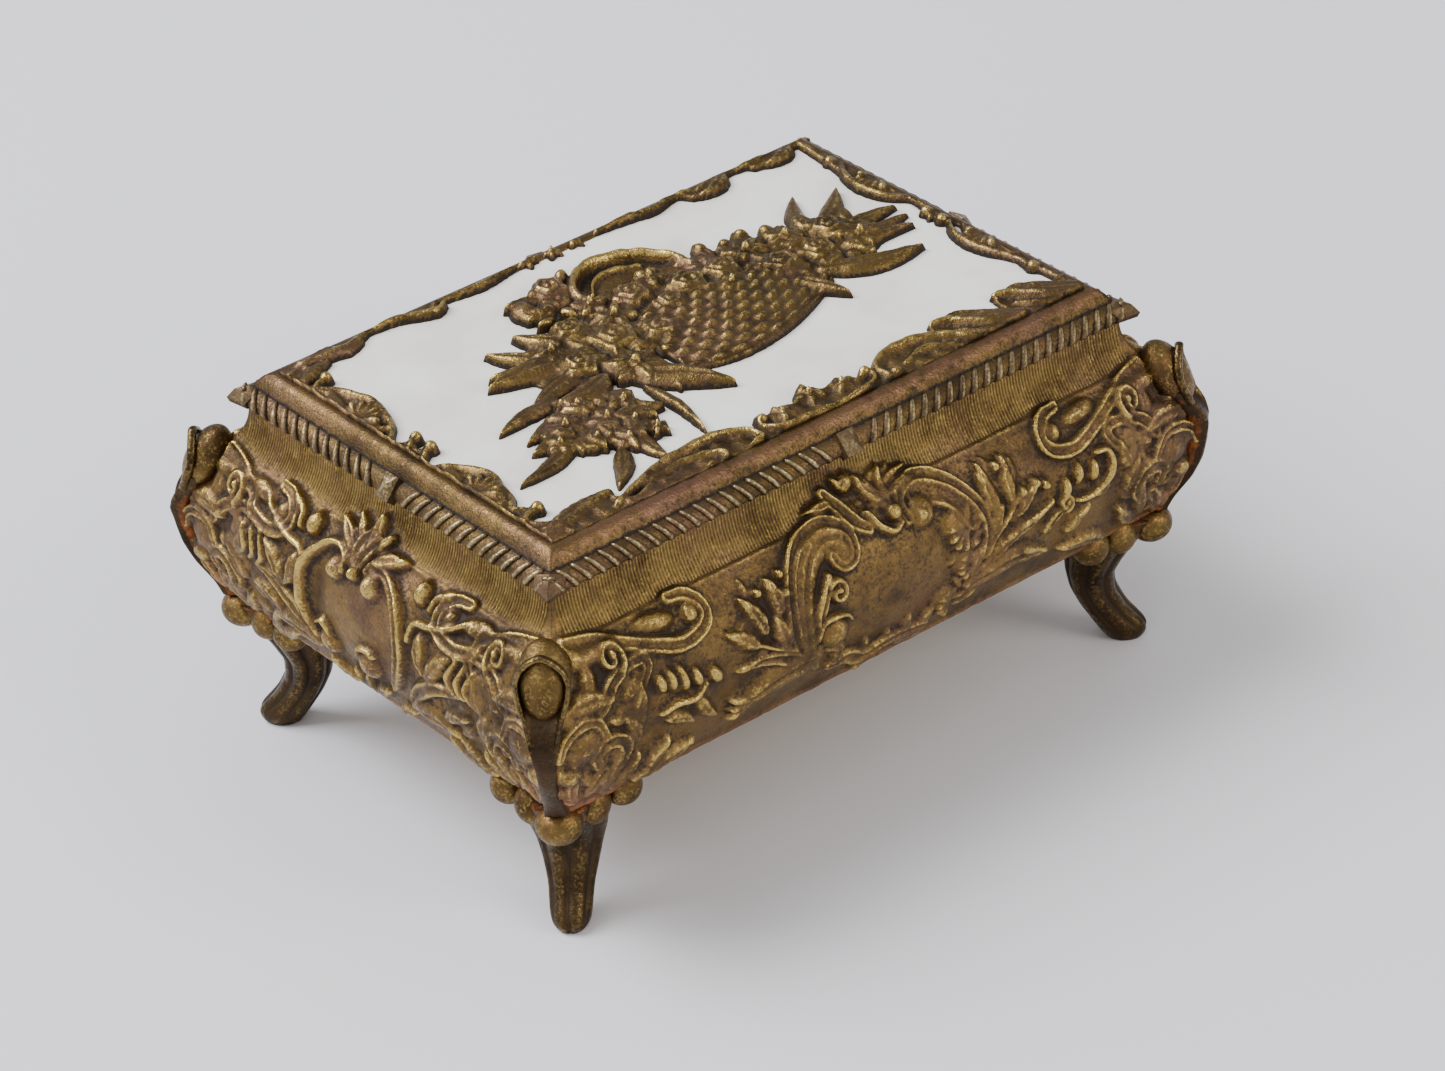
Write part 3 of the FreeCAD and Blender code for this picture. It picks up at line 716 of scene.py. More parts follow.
    def shell(
        self, centre: Point, radius: float, height: float, facing: float, spread: float = 130.0,
        ribs: int = 6, seat: float = 0.0,
    ) -> None:
        """Adds a fan of rounded ribs.

        Args:
            centre: the point that the ribs spread from.
            radius: its outer radius.
            height: its height.
            facing: the way that it opens, in degrees.
            spread: its angle, in degrees.
            ribs: how many ribs it has.
            seat: the height that it stands on.
        """
        numbers, distance, angle = self.polar(centre, radius * 1.1)
        off = (angle - math.radians(facing) + math.pi) % TAU - math.pi
        half = math.radians(spread) / 2
        phase = (off + half) / (2 * half) * ribs
        lobes = np.abs(np.sin(math.pi * phase))
        outline = radius * (0.84 + 0.16 * lobes)
        rho = distance / outline
        inside = (np.abs(off) < half) & (rho < 1)
        rise = height * (0.45 + 0.55 * lobes**0.7) * (0.35 + 0.75 * rho) * (1 - rho**8).clip(0, 1) ** 0.6
        self.lift(numbers[inside], seat + rise[inside])

    def crowd(
        self, centre: Point, radii: Point, count: int, size: Point, height: Point, seed: int,
        seat: float = 0.0,
    ) -> None:
        """Adds a crowd of small petals that point away from the middle of an ellipse.

        Args:
            centre: the ellipse's middle.
            radii: its half length across and up.
            count: how many petals there are.
            size: the least and the greatest length of a petal.
            height: the least and the greatest height of a petal.
            seed: fixes the petals' places.
            seat: the height they stand on in the middle; it falls away outwards.
        """
        rng = np.random.default_rng(seed)
        for _ in range(count):
            angle, far = rng.uniform(0, TAU), math.sqrt(rng.uniform(0.02, 1.0))
            x, y = centre[0] + radii[0] * far * math.cos(angle), centre[1] + radii[1] * far * math.sin(angle)
            heading = angle + rng.normal(0.0, 0.8)
            length = rng.uniform(*size)
            tip = (x + length * math.cos(heading), y + length * math.sin(heading))
            lift = rng.uniform(*height) * (1.08 - 0.3 * far)
            width = length * rng.uniform(0.28, 0.42)
            bend = rng.uniform(-0.15, 0.15) * length
            self.leaf(
                (x, y), tip, width, lift, bend=bend, seat=seat * (1 - 0.55 * far), notch=0.0, tip_lift=0.9
            )

    def berries(self, places: Sequence[Point], radius: float, height: float, seat: float = 0.0) -> None:
        """Adds round berries at several places."""
        for place in places:
            self.dome(place, (radius, radius), height, seat=seat)

    def soften(self, passes: int) -> None:
        """Rounds the ornament off, as a worn mould does."""
        self.height = blur(self.height, passes)

    def fill_between(self, share: float, passes: int = 40) -> None:
        """Fills the deep gaps between neighbouring ornaments, as a worn mould does.

        Args:
            share: how much of the neighbourhood's height the gaps are filled to.
            passes: how wide the neighbourhood is.
        """
        mass = blur(self.height, passes) * share
        gap = np.maximum(mass - self.height, 0)
        self.height += gap * 0.9

    def roughen(self, size: float, amount: float, seed: int) -> None:
        """Adds the lumps and pits of a rough casting, most where the ornament is high.

        Args:
            size: their size.
            amount: their height.
            seed: fixes their places.
        """
        rng = np.random.default_rng(seed)
        rows, columns = self.height.shape
        lumps = np.zeros_like(self.height)
        for octave, weight in ((size, 1.0), (size / 2.2, 0.55)):
            n, m = int(rows * self.pitch / octave) + 3, int(columns * self.pitch / octave) + 3
            coarse = rng.normal(0.0, 1.0, (n, m))
            r, c = np.linspace(0, n - 1.001, rows), np.linspace(0, m - 1.001, columns)
            i, j = r.astype(int), c.astype(int)
            u, v = smoothstep(0, 1, r - i)[:, None], smoothstep(0, 1, c - j)[None, :]
            top = coarse[i][:, j] * (1 - v) + coarse[i][:, j + 1] * v
            low = coarse[i + 1][:, j] * (1 - v) + coarse[i + 1][:, j + 1] * v
            lumps += weight * (top * (1 - u) + low * u)
        self.height += amount * lumps * (
            0.25 + 0.75 * smoothstep(0.1, 0.8, self.height)
        ) * (self.height > -0.1)

    def ridges(self) -> np.ndarray:
        """Returns -1 in the hollows to 1 on the ridges, from fine and broad differences.

        Returns:
            The values, by row and column.
        """
        # The gilt finishes turn low values into stain with painted shade, and high ones into rubbing with a
        # painted highlight.
        if self.ground >= 0:
            fine, broad = (self.height - blur(self.height, passes) for passes in (6, 40))
            return np.clip(fine * 2.4 + broad * 0.75, -1, 1)
        # Only the ornament counts where there is no metal between its parts.
        there = (self.height > -0.1).astype(float)
        fine, broad = (
            self.height - blur(self.height * there, passes) / np.maximum(
                blur(there, passes), 0.05
            ) for passes in (5, 60)
        )
        return np.clip(fine * 2.2 + broad * 0.7 + 0.06, -1, 1)


def mirrored(stamp: Callable[[int], None]) -> None:
    """Calls a function for the right side, with 1, and for the left side, with -1."""
    for side in (1, -1):
        stamp(side)


# Finishes ---------------------------------------------------------------------------------


@dataclass
class FinishTree:
    """A new material's node tree, with the steps that the finishes share.

    Attributes:
        name: the material's name.
        made: the material.
        tree: its nodes.
        place: the object's own coordinates, which every pattern is laid out on.
    """

    name: str
    made: bpy.types.Material = field(init=False)
    tree: bpy.types.NodeTree = field(init=False)
    place: bpy.types.NodeSocket = field(init=False)

    def __post_init__(self) -> None:
        """Starts an empty material that is laid out on the object's own coordinates."""
        self.made = bpy.data.materials.new(self.name)
        self.made.use_nodes = True
        self.tree = self.made.node_tree
        self.tree.nodes.clear()
        self.place = add_node(self.tree, "ShaderNodeTexCoord").outputs["Object"]

    def attribute(self, name: str) -> bpy.types.NodeSocket:
        """Returns a value that each point of the piece carries."""
        return add_node(self.tree, "ShaderNodeAttribute", attribute_name=name).outputs["Fac"]

    def noise(self, size: float, detail: float, **inputs: float) -> bpy.types.NodeSocket:
        """Adds a noise.

        Args:
            size: the size of its patches, in millimetres.
            detail: how many finer octaves it has.
            inputs: its other inputs.

        Returns:
            The noise, around 0.5.
        """
        values = {"Vector": self.place, "Scale": 1 / (size * MM), "Detail": detail, **inputs}
        return add_node(self.tree, "ShaderNodeTexNoise", values).outputs["Fac"]

    def ramp(
        self, value: bpy.types.NodeSocket, start: float, end: float, low: float = 0.0, high: float = 1.0
    ) -> bpy.types.NodeSocket:
        """Maps a value's range, cut off at its ends.

        Args:
            value: the value.
            start: where its range starts.
            end: where its range ends.
            low: the result at the start.
            high: the result at the end.

        Returns:
            The result.
        """
        values = {"Value": value, "From Min": start, "From Max": end, "To Min": low, "To Max": high}
        return add_node(self.tree, "ShaderNodeMapRange", values).outputs[0]

    def mix(self, share: bpy.types.NodeSocket, first: Colour, second: Colour) -> bpy.types.NodeSocket:
        """Mixes two colours, each given as hex or as a socket.

        Args:
            share: how much there is of the second one.
            first: the first colour.
            second: the second colour.

        Returns:
            The mixed colour.
        """
        a, b = (linear_rgb(colour) if isinstance(colour, str) else colour for colour in (first, second))
        return add_node(
            self.tree, "ShaderNodeMix", {"Factor": share, "A": a, "B": b}, data_type="RGBA"
        ).outputs["Result"]

    def add(self, value: bpy.types.NodeSocket, factor: float, other: Number) -> bpy.types.NodeSocket:
        """Multiplies a value and adds another one.

        Args:
            value: the value.
            factor: what it is multiplied by.
            other: what is added.

        Returns:
            The sum.
        """
        return add_node(
            self.tree, "ShaderNodeMath", {0: value, 1: factor, 2: other}, operation="MULTIPLY_ADD"
        ).outputs[0]

    def centred(self, value: bpy.types.NodeSocket) -> bpy.types.NodeSocket:
        """Returns a noise less its middle value, 0.5."""
        return add_node(self.tree, "ShaderNodeMath", {0: value, 1: 0.5}, operation="SUBTRACT").outputs[0]

    def bump(self, height: bpy.types.NodeSocket, strength: float, depth: float) -> bpy.types.NodeSocket:
        """Returns a normal that is roughened by a height, whose depth is in millimetres."""
        values = {"Height": height, "Strength": strength, "Distance": depth * MM}
        return add_node(self.tree, "ShaderNodeBump", values).outputs[0]

    def finish(self, **inputs: Number | Colour) -> bpy.types.Material:
        """Closes the tree with a shader.

        Args:
            inputs: the shader's inputs, with an underscore for each space.

        Returns:
            The material.
        """
        values = {name.replace("_", " "): value for name, value in inputs.items()}
        shader = add_node(self.tree, "ShaderNodeBsdfPrincipled", values)
        add_node(self.tree, "ShaderNodeOutputMaterial", {"Surface": shader.outputs[0]})
        return self.made


@dataclass(frozen=True)
class CastGilt:
    """Antique gilt over a zinc casting.

    Spelter is cast, plated with brass, then given a dark stain and a rubbing back, so the hollows
    stay brown, the ridges shine, and where hands wear it most the coppery undercoat shows. The
    hollows' dark is also painted shade, and the ridges' shine is also a painted highlight.

    Attributes:
        name: the finish's name.
        hollow: colour of the stain in the hollows, which also serves as painted shade there.
        body: colour of the flat parts.
        tarnish: colour that the flat parts turn to in patches.
        rosy: colour of the broad patches where the copper shines through the plating.
        ridge: colour of the ridges, bright from rubbing, which also serves as a painted highlight on them.
        worn: colour of the bared undercoat.
        roughness: roughness of the flat parts.
        grain: size of the cast skin's grain, in millimetres.
        bump_depth: depth of that grain, in millimetres.
    """

    name: str
    hollow: str = "33261A"
    body: str = "7A6038"
    tarnish: str = "52402C"
    rosy: str = "765945"
    ridge: str = "BFA35A"
    worn: str = "9C6D52"
    roughness: float = 0.34
    grain: float = 0.33
    bump_depth: float = 0.12

    def material(self) -> bpy.types.Material:
        """Builds the material.

        Returns:
            The material.
        """
        t = FinishTree(self.name)
        flecks = t.centred(t.noise(1.4, 6.0, Roughness=0.7))
        stipple = t.noise(0.42, 2.0, Roughness=0.6)
        skin = t.noise(self.grain, 3.0, Roughness=0.6)
        # Patches of tarnish and of copper over the flat parts.
        tarnished = t.ramp(t.noise(7.0, 5.0, Roughness=0.6), 0.42, 0.62)
        blushed = t.ramp(t.noise(16.0, 6.0, Roughness=0.65), 0.5, 0.68, 0.0, 0.75)
        flat = t.mix(blushed, t.mix(tarnished, self.body, self.tarnish), self.rosy)
        # The cast skin is stippled: the stain sits in its pits and creeps out of the hollows in
        # flecks, and its tips are bright from rubbing. The dark in the hollows is partly painted
        # shade, and the bright tips are partly a painted highlight.
        relief = t.add(flecks, 1.5, t.add(t.centred(stipple), 1.7, t.attribute("relief")))
        stain_and_shade = t.mix(t.ramp(relief, -0.06, -0.7), flat, self.hollow)
        rub_and_highlight = t.mix(t.ramp(relief, 0.3, 1.0), stain_and_shade, self.ridge)
        # Copper shows at the hems and corners, where the plating is worn through.
        bare = t.ramp(t.add(flecks, 1.6, t.attribute("wear")), 0.25, 0.9)
        uneven_skin = add_node(t.tree, "ShaderNodeMath", {0: stipple, 1: skin}, operation="ADD").outputs[0]
        return t.finish(
            Base_Color=t.mix(bare, rub_and_highlight, self.worn),
            Roughness=t.ramp(relief, -0.5, 0.8, self.roughness + 0.28, self.roughness - 0.1),
            Metallic=t.ramp(relief, -0.55, 0.0, 0.6, 1.0),
            Normal=t.bump(uneven_skin, 0.7, self.bump_depth),
        )


@dataclass(frozen=True)
class ColdEnamel:
    """Off-white cold enamel: poured into the field, satin, and grimy where it meets metal.

    Attributes:
        name: the finish's name.
        colour: its colour.
        aged: the colour of its yellowed patches.
        grime: the colour of the dirt along the metal.
        roughness: its roughness.
    """

    name: str = "enamel_cold_white"
    colour: str = "F1EEE6"
    aged: str = "E4DFD2"
    grime: str = "8A7B62"
    roughness: float = 0.34

    def material(self) -> bpy.types.Material:
        """Builds the material.

        Returns:
            The material.
        """
        t = FinishTree(self.name)
        speck = t.noise(0.9, 3.0)
        white = t.mix(t.ramp(t.noise(12.0, 4.0), 0.4, 0.65), self.colour, self.aged)
        # Dirt gathers along the metal, which the piece's "wear" tells.
        dirt = t.ramp(t.add(speck, 0.55, t.attribute("wear")), 0.72, 1.3)
        return t.finish(
            Base_Color=t.mix(dirt, white, self.grime),
            Roughness=self.roughness,
            Normal=t.bump(speck, 0.25, 0.02),
        )


@dataclass(frozen=True)
class Velvet:
    """Short-pile cotton velvet: matt, with a bright nap at grazing angles and brushed patches.

    Attributes:
        name: the finish's name.
        colour: the pile's colour.
        brushed: its colour where it is brushed the other way.
        nap_edge: the colour of the nap at grazing angles.
        pile: size of the pile's tufts, in millimetres.
    """

    name: str = "velvet_wine"
    colour: str = "5A0F1C"
    brushed: str = "7C2030"
    nap_edge: str = "E7A0A8"
    pile: float = 0.25

    def material(self) -> bpy.types.Material:
        """Builds the material.

        Returns:
            The material.
        """
        t = FinishTree(self.name)
        brushed = t.ramp(t.noise(9.0, 3.0, Distortion=0.6), 0.42, 0.6)
        return t.finish(
            Base_Color=t.mix(brushed, self.colour, self.brushed),
            Roughness=0.9,
            Sheen_Weight=0.7,
            Sheen_Roughness=0.35,
            Sheen_Tint=linear_rgb(self.nap_edge),
            Normal=t.bump(t.noise(self.pile, 2.0), 0.8, 0.12),
        )


@dataclass(frozen=True)
class PlainFinish:
    """A plain rolled, drawn or pressed stock: gilt sheet, steel rod or grey board.

    Attributes:
        name: the finish's name.
        colour: its colour.
        darker: the colour of its patches.
        metallic: 1 for metal, 0 for board.
        roughness: its roughness.
        patch: size of its patches, in millimetres.
        grain: size of its grain, in millimetres.
    """

    name: str
    colour: str
    darker: str
    metallic: float
    roughness: float
    patch: float
    grain: float

    def material(self) -> bpy.types.Material:
        """Builds the material.

        Returns:
            The material.
        """
        t = FinishTree(self.name)
        patches = t.noise(self.patch, 5.0)
        return t.finish(
            Base_Color=t.mix(t.ramp(patches, 0.4, 0.65), self.colour, self.darker),
            Roughness=t.ramp(patches, 0.3, 0.7, self.roughness - 0.06, self.roughness + 0.1),
            Metallic=self.metallic,
            Normal=t.bump(t.noise(self.grain, 3.0), 0.4, 0.02),
        )


# The box's shape --------------------------------------------------------------------------


@dataclass(frozen=True)
class Outline:
    """The box's driving sizes, and the curve of its sides.

    An "out" is measured outwards from the edge of the lid.

    Attributes:
        half_length, half_width: half of the lid's sizes.
        hem, belly, waist, rim: heights of the lower edge, the widest part, the neck's line and
            the upper edge.
        rim_out, waist_out, belly_out, hem_out: how far the sides stand out there.
        wall: thickness of the sides.
    """

    half_length: float = 50.0
    half_width: float = 34.0
    hem: float = 20.0
    belly: float = 34.0
    waist: float = 43.8
    rim: float = 50.0
    rim_out: float = -1.6
    waist_out: float = 1.5
    belly_out: float = 5.8
    hem_out: float = 1.5
    wall: float = 2.0

    def bulge(self, height: float, out: float) -> float:
        """Returns the radius of an arc that is upright at the belly and passes one point."""
        along, across = self.belly - height, self.belly_out - out
        return (along**2 + across**2) / (2 * across)

    def out(self, z: np.ndarray) -> np.ndarray:
        """Returns how far the sides stand out at each height.

        Args:
            z: the heights.

        Returns:
            The distances outwards from the lid's edge.
        """
        z = np.asarray(z, float)
        across, down = self.waist_out - self.rim_out, self.rim - self.waist
        neck = (across**2 + down**2) / (2 * across)
        hollow = neck + self.rim_out - np.sqrt(np.maximum(neck**2 - (self.rim - z) ** 2, 0))
        arcs = []
        for height, out in ((self.waist, self.waist_out), (self.hem, self.hem_out)):
            radius = self.bulge(height, out)
            arcs.append(self.belly_out - radius + np.sqrt(np.maximum(radius**2 - (z - self.belly) ** 2, 0)))
        return np.where(z >= self.waist, hollow, np.where(z >= self.belly, arcs[0], arcs[1]))

    def rows(self, step: float) -> np.ndarray:
        """Returns heights from hem to rim, spaced evenly along the curve of the sides.

        Args:
            step: the distance along the curve.

        Returns:
            The heights, rising.
        """
        fine = np.linspace(self.hem, self.rim, 2000)
        run = np.concatenate([[0], np.cumsum(np.hypot(np.diff(fine), np.diff(self.out(fine))))])
        return np.interp(np.linspace(0, run[-1], int(run[-1] / step) + 1), run, fine)

    def slope(self, z: np.ndarray) -> tuple[np.ndarray, np.ndarray]:
        """Returns the outward and upward parts of the sides' normal at each height.

        Args:
            z: the heights.

        Returns:
            The two parts, one value for each height.
        """
        gradient = (self.out(z + 0.05) - self.out(z - 0.05)) / 0.1
        size = np.sqrt(1 + gradient**2)
        return 1 / size, -gradient / size


class Side(Enum):
    """The four sides, with the turn about Z that takes +Y to each one."""

    FRONT = 180.0
    BACK = 0.0
    LEFT = 90.0
    RIGHT = -90.0


# Side panels ------------------------------------------------------------------------------


@dataclass
class SidePanel:
    """One cast side: hollow ribbed neck, waist line, and a belly covered with scrollwork.

    Attributes:
        side: which side it is.
        outline: the box's shape.
        step: distance between the points of its skin.
        inner_rows: rows of faces down its inside.
        boldness: the ornament's height as a share of what the scrollwork is drawn with.
        gap_fill: how far the gaps in the ornament are filled, and over how many steps.
        lumps: size and height of the casting's lumps.
        shield_stain: how much darker the shield's ground is.
        rib_pitch: distance between the neck's ribs; the real ones are finer still.
        rib_half: half of a rib's width.
        rib_proud: how far the ribs stand out.
    """

    side: Side
    outline: Outline
    step: float = 0.215
    inner_rows: int = 8
    boldness: float = 1.2
    gap_fill: tuple[float, int] = (0.55, 24)
    lumps: Point = (1.7, 0.06)
    shield_stain: float = 0.2
    rib_pitch: float = 0.5
    rib_half: float = 0.15
    rib_proud: float = 0.14

    @property
    def long(self) -> bool:
        """Whether it is one of the two long sides."""
        return self.side in (Side.FRONT, Side.BACK)

    @property
    def reach(self) -> float:
        """Distance from the middle of the box to the lid's edge above this side."""
        return self.outline.half_width if self.long else self.outline.half_length

    @property
    def run(self) -> float:
        """Half of this side's length, at the lid's corners."""
        return self.outline.half_length if self.long else self.outline.half_width

    def turned(self, points: np.ndarray) -> np.ndarray:
        """Turns points from +Y to this side.

        Args:
            points: x, y, z along the last axis.

        Returns:
            The turned points.
        """
        angle = math.radians(self.side.value)
        c, s = round(math.cos(angle)), round(math.sin(angle))
        x, y = points[..., 0], points[..., 1]
        return np.stack([c * x - s * y, s * x + c * y, points[..., 2]], -1)

    def build(self, material: bpy.types.Material) -> bpy.types.Object:
        """Builds the panel as one closed casting.

        Args:
            material: its finish.

        Returns:
            The piece.
        """
        shape = self.outline
        z = shape.rows(self.step)
        out = shape.out(z)
        columns = int(2 * (self.run + shape.belly_out) / self.step) + 1
        share = np.linspace(-1, 1, columns)
        x = share[None, :] * (self.run + out)[:, None]
        zz = np.repeat(z[:, None], columns, 1)
        # Seen from outside, left to right is +X on the front, and -X on a side built on +Y.
        relief = Relief(-x, zz, self.step)
        Scrollwork(relief, self.run, self.long).stamp()
        relief.height *= self.boldness
        relief.fill_between(*self.gap_fill)
        relief.roughen(*self.lumps, seed=3 + len(self.side.name))
        relief.soften(1)
        ridges = relief.ridges()
        shield = np.exp(-(((relief.across - 0.5) / 9.0) ** 4) - ((relief.up - 33.5) / 6.5) ** 4) * self.long
        ridges = ridges - self.shield_stain * shield * smoothstep(1.4, 1.0, relief.height)
        height = relief.height
        n_out, n_up = shape.slope(z)
        y = self.reach + out[:, None] + height * n_out[:, None]
        skin = np.stack([x, y, zz + height * n_up[:, None]], -1)
        wear = 0.75 * np.exp(-((zz - shape.hem) / 0.9) ** 2) + self.corner_rust(x, zz)
        inner_z = np.linspace(shape.rim, shape.hem, self.inner_rows + 1)
        inner_out = shape.out(inner_z) - shape.wall
        inner_x = share[None, :] * (self.run + inner_out)[:, None]
        inner_y = np.repeat((self.reach + inner_out)[:, None], columns, 1)
        inner = np.stack([inner_x, inner_y, np.repeat(inner_z[:, None], columns, 1)], -1)
        grid = np.concatenate([skin, inner])
        flat = np.zeros(inner.shape[:2])
        body = Surface()
        index = body.add_grid(
            self.turned(grid), np.concatenate(
                [ridges, flat - 0.1]
            ), np.concatenate([wear, flat]), wrap_rows=True
        )
        body.add_cap(index[:, 0])
        body.add_cap(index[::-1, -1])
        return body.build(f"{self.side.name.lower()}_panel_casting", material)

    def corner_rust(self, x: np.ndarray, z: np.ndarray) -> np.ndarray:
        """Returns the bared undercoat near the soldered corners, low on the belly."""
        edge = self.run + self.outline.out(z) - np.abs(x)
        return 0.55 * np.exp(-((edge / 7.0) ** 2)) * smoothstep(31, 24, z)

    def neck_ribs(self, repeater: Repeater, material: bpy.types.Material) -> bpy.types.Object:
        """Builds the fine upright ribs that cover the hollow neck.

        Args:
            repeater: sets the ribs.
            material: their finish.

        Returns:
            The piece.
        """
        shape = self.outline
        z = np.linspace(shape.waist + 0.35, shape.rim - 0.1, 7)
        out, (n_out, n_up) = shape.out(z), shape.slope(z)
        proud, half = self.rib_proud * np.array([0.2, 1, 1, 1, 1, 1, 0.6]), self.rib_half
        strip = Surface()
        rows = []
        for across, lift in ((-half, -0.12), (-half * 0.6, 0.7), (half * 0.6, 0.7), (half, -0.12)):
            d = np.where(lift > 0, proud * lift / 0.7, lift)
            rows.append(np.stack([np.full_like(z, across), out + n_out * d, z + n_up * d], -1))
        strip.add_grid(np.stack(rows, 1), relief=0.3)
        template = strip.build("rib_template", material)
        count = int(2 * (self.run - 2.0) / self.rib_pitch)
        x = (np.arange(count) - (count - 1) / 2) * self.rib_pitch
        places = self.turned(np.stack([x, np.full(count, self.reach), np.zeros(count)], -1))
        turns = np.tile([0, 0, math.radians(self.side.value)], (count, 1))
        sizes = np.ones((count, 3))
        return repeater.place(
            f"{self.side.name.lower()}_neck_ribs", template, places, turns, sizes, material
        )


@dataclass
class Scrollwork:
    """The cast scrolls, leaves and sprays of one side.

    The middle holds a smooth shield between two great scrolls under a spray of leaves, long
    leaves and sprigs run outwards from it, and scrolls run in from the corners to meet them.

    Attributes:
        relief: the sheet that takes the ornament; across is 0 in the middle of the side.
        run: half of the side's length.
        long: whether it is a long side.
    """

    relief: Relief
    run: float
    long: bool

    def stamp(self) -> None:
        """Adds all of the side's ornament."""
        r = self.relief
        waist_line = [(-self.run - 1, 44.0), (0, 44.0), (self.run + 1, 44.0)]
        r.strand(waist_line, [0.28, 0.28], [0.28, 0.28])
        hem_line = [(-self.run - 2, 20.4), (0, 20.4), (self.run + 2, 20.4)]
        r.strand(hem_line, [0.55, 0.55], [0.35, 0.35])
        if self.long:
            self.long_middle()
            mirrored(self.long_wing)
        else:
            self.short_middle()
            mirrored(self.short_wing)
        mirrored(self.corner)
        self.stipple()

    def stipple(self) -> None:
        """Scratches the bare ground of the belly lightly, as the mould was tooled."""
        r = self.relief
        bare = smoothstep(0.35, 0.1, r.height) * smoothstep(43.9, 43.2, r.up)
        tooling = np.sin(r.across * 7.1 + 3 * np.sin(r.up * 2.3)) * np.sin(
            r.up * 8.3 + 2 * np.sin(r.across * 1.7)
        )
        r.height += 0.035 * bare * tooling

    def long_middle(self) -> None:
        """Adds the shield, its two great scrolls and the spray above it, on a long side."""
        r = self.relief
        r.crowd((-20.6, 36.0), (4.0, 3.8), 14, (2.0, 3.4), (0.8, 1.2), 51)
        r.crowd((19.8, 36.4), (3.6, 4.0), 14, (2.0, 3.4), (0.8, 1.2), 52)
        r.crowd((12.6, 33.0), (2.4, 6.0), 16, (1.6, 2.8), (0.8, 1.2), 53)
        r.crowd((0.6, 44.0), (4.6, 2.2), 14, (1.6, 3.0), (0.9, 1.4), 54)
        r.dome((0.5, 33.0), (11.5, 8.5), 0.8, power=0.9)
        self.left_plume()
        self.right_shells()
        self.spray()
        for x, z, turn in (
            (-8.0, 26.0, 120), (-3.4, 25.4, 95), (0.2, 25.2, 90), (3.6, 25.6, 80), (7.0, 25.4, 60)
        ):
            tip = (x + 2.4 * math.cos(math.radians(turn)), z - 1.6 + 3.0 * math.sin(math.radians(turn)))
            r.leaf((x, z - 1.8), tip, 1.2, 1.0)
        r.gouge(
            [(-9.5, 24.6), (-6.6, 24.9), (-3.8, 23.6), (0.2, 24.3), (7.2, 23.3)], [0.6, 1.3, 0.8, 0.8, 0.8],
            [1.0, 1.4, 1.1],
        )
        r.leaf((-1.0, 23.4), (-4.6, 20.9), 1.1, 1.1)
        r.leaf((1.2, 23.4), (7.8, 21.8), 1.1, 1.0)

    def left_plume(self) -> None:
        """Adds the great ribbed plume that curls over the left of the shield."""
        r = self.relief
        r.strand(
            [(-12.6, 26.8), (-14.3, 31.8), (-14.4, 36.8), (-12.6, 40.6), (-9.4, 42.4), (-6.4, 42.1)],
            [0.8, 2.0, 2.2, 2.1, 1.9, 1.4], [1.0, 1.35, 1.5, 1.4], Section.LEAF, notch=0.08,
            notch_pitch=1.5,
        )
        outer = [
            (-12.3, 26.1), (-14.3, 28.8), (-16.1, 32.3), (-16.6, 35.8), (-16.3, 38.3), (-15.3, 40.8),
            (-13.3, 42.8), (-10.8, 43.6), (-8.3, 43.9), (-5.8, 43.1), (-4.6, 41.8), (-4.5, 40.3),
            (-5.3, 39.1), (-6.6, 38.8), (-7.8, 39.4), (-8.3, 40.6),
        ]
        r.gouge(outer, [0.5, 0.8, 0.85, 0.8, 0.6], [1.1, 1.5, 1.7, 1.6, 1.6])
        r.dome((-6.4, 40.8), (1.7, 1.6), 1.3)
        r.strand(
            [(-12.3, 31.8), (-12.6, 34.8), (-11.3, 37.3), (-9.8, 38.8)], [0.5, 0.7, 0.6, 0.5],
            [1.2, 1.6, 1.5],
        )
        r.scroll([(-12.3, 32.8), (-11.6, 35.6), (-10.4, 37.4)], 1.7, -1, [0.6, 0.9, 0.7], 1.6, 1.2)
        r.dome((-9.6, 30.6), (2.4, 2.3), 1.5)
        r.strand(
            [(-12.6, 30.8), (-11.8, 33.0), (-9.8, 33.5), (-7.8, 32.8), (-7.0, 31.8)], [0.35, 0.45, 0.35],
            [1.3, 1.7, 1.4],
        )
        r.gouge(
            [(-12.4, 27.4), (-11.4, 29.0), (-9.8, 28.4), (-8.0, 27.2)], [0.6, 0.8, 0.6], [1.0, 1.2, 0.9]
        )

    def right_shells(self) -> None:
        """Adds the scroll and the folded shells on the right of the shield."""
        r = self.relief
        rim = [
            (4.7, 40.3), (4.5, 42.3), (5.7, 43.6), (8.2, 44.1), (11.2, 43.1), (13.7, 41.3), (15.7, 38.8),
            (16.8, 35.8), (16.8, 32.8), (16.0, 31.0),
        ]
        r.gouge(
            [(6.8, 42.4), (10.4, 41.6), (13.2, 39.6), (14.8, 36.4)], [1.0, 1.5, 1.6, 1.2], [1.0, 1.2, 1.0]
        )
        r.gouge(rim, [0.6, 0.85, 0.9, 0.8, 0.5], [1.4, 1.6, 1.5])
        r.dome((7.0, 40.6), (2.2, 2.0), 1.5)
        r.dome((6.6, 40.4), (1.0, 0.9), 2.0)
        for centre, radii, facing in (
            ((11.7, 37.3), (2.6, 2.2), 215), ((12.5, 31.8), (2.1, 2.5), 190), ((9.7, 26.8), (2.2, 2.0), 200)
        ):
            r.dome(centre, radii, 1.0, power=0.7)
            r.shell((centre[0] + 1.6, centre[1] - 0.8), radii[0] * 1.35, 1.45, facing, 120, 4)
        r.leaf((14.2, 27.6), (16.2, 33.0), 1.6, 1.3, bend=0.5, notch=0.1)
        r.gouge([(11.0, 25.4), (14.0, 25.4), (16.8, 27.6)], [0.8, 1.0, 0.7], [1.0, 1.2, 1.0])

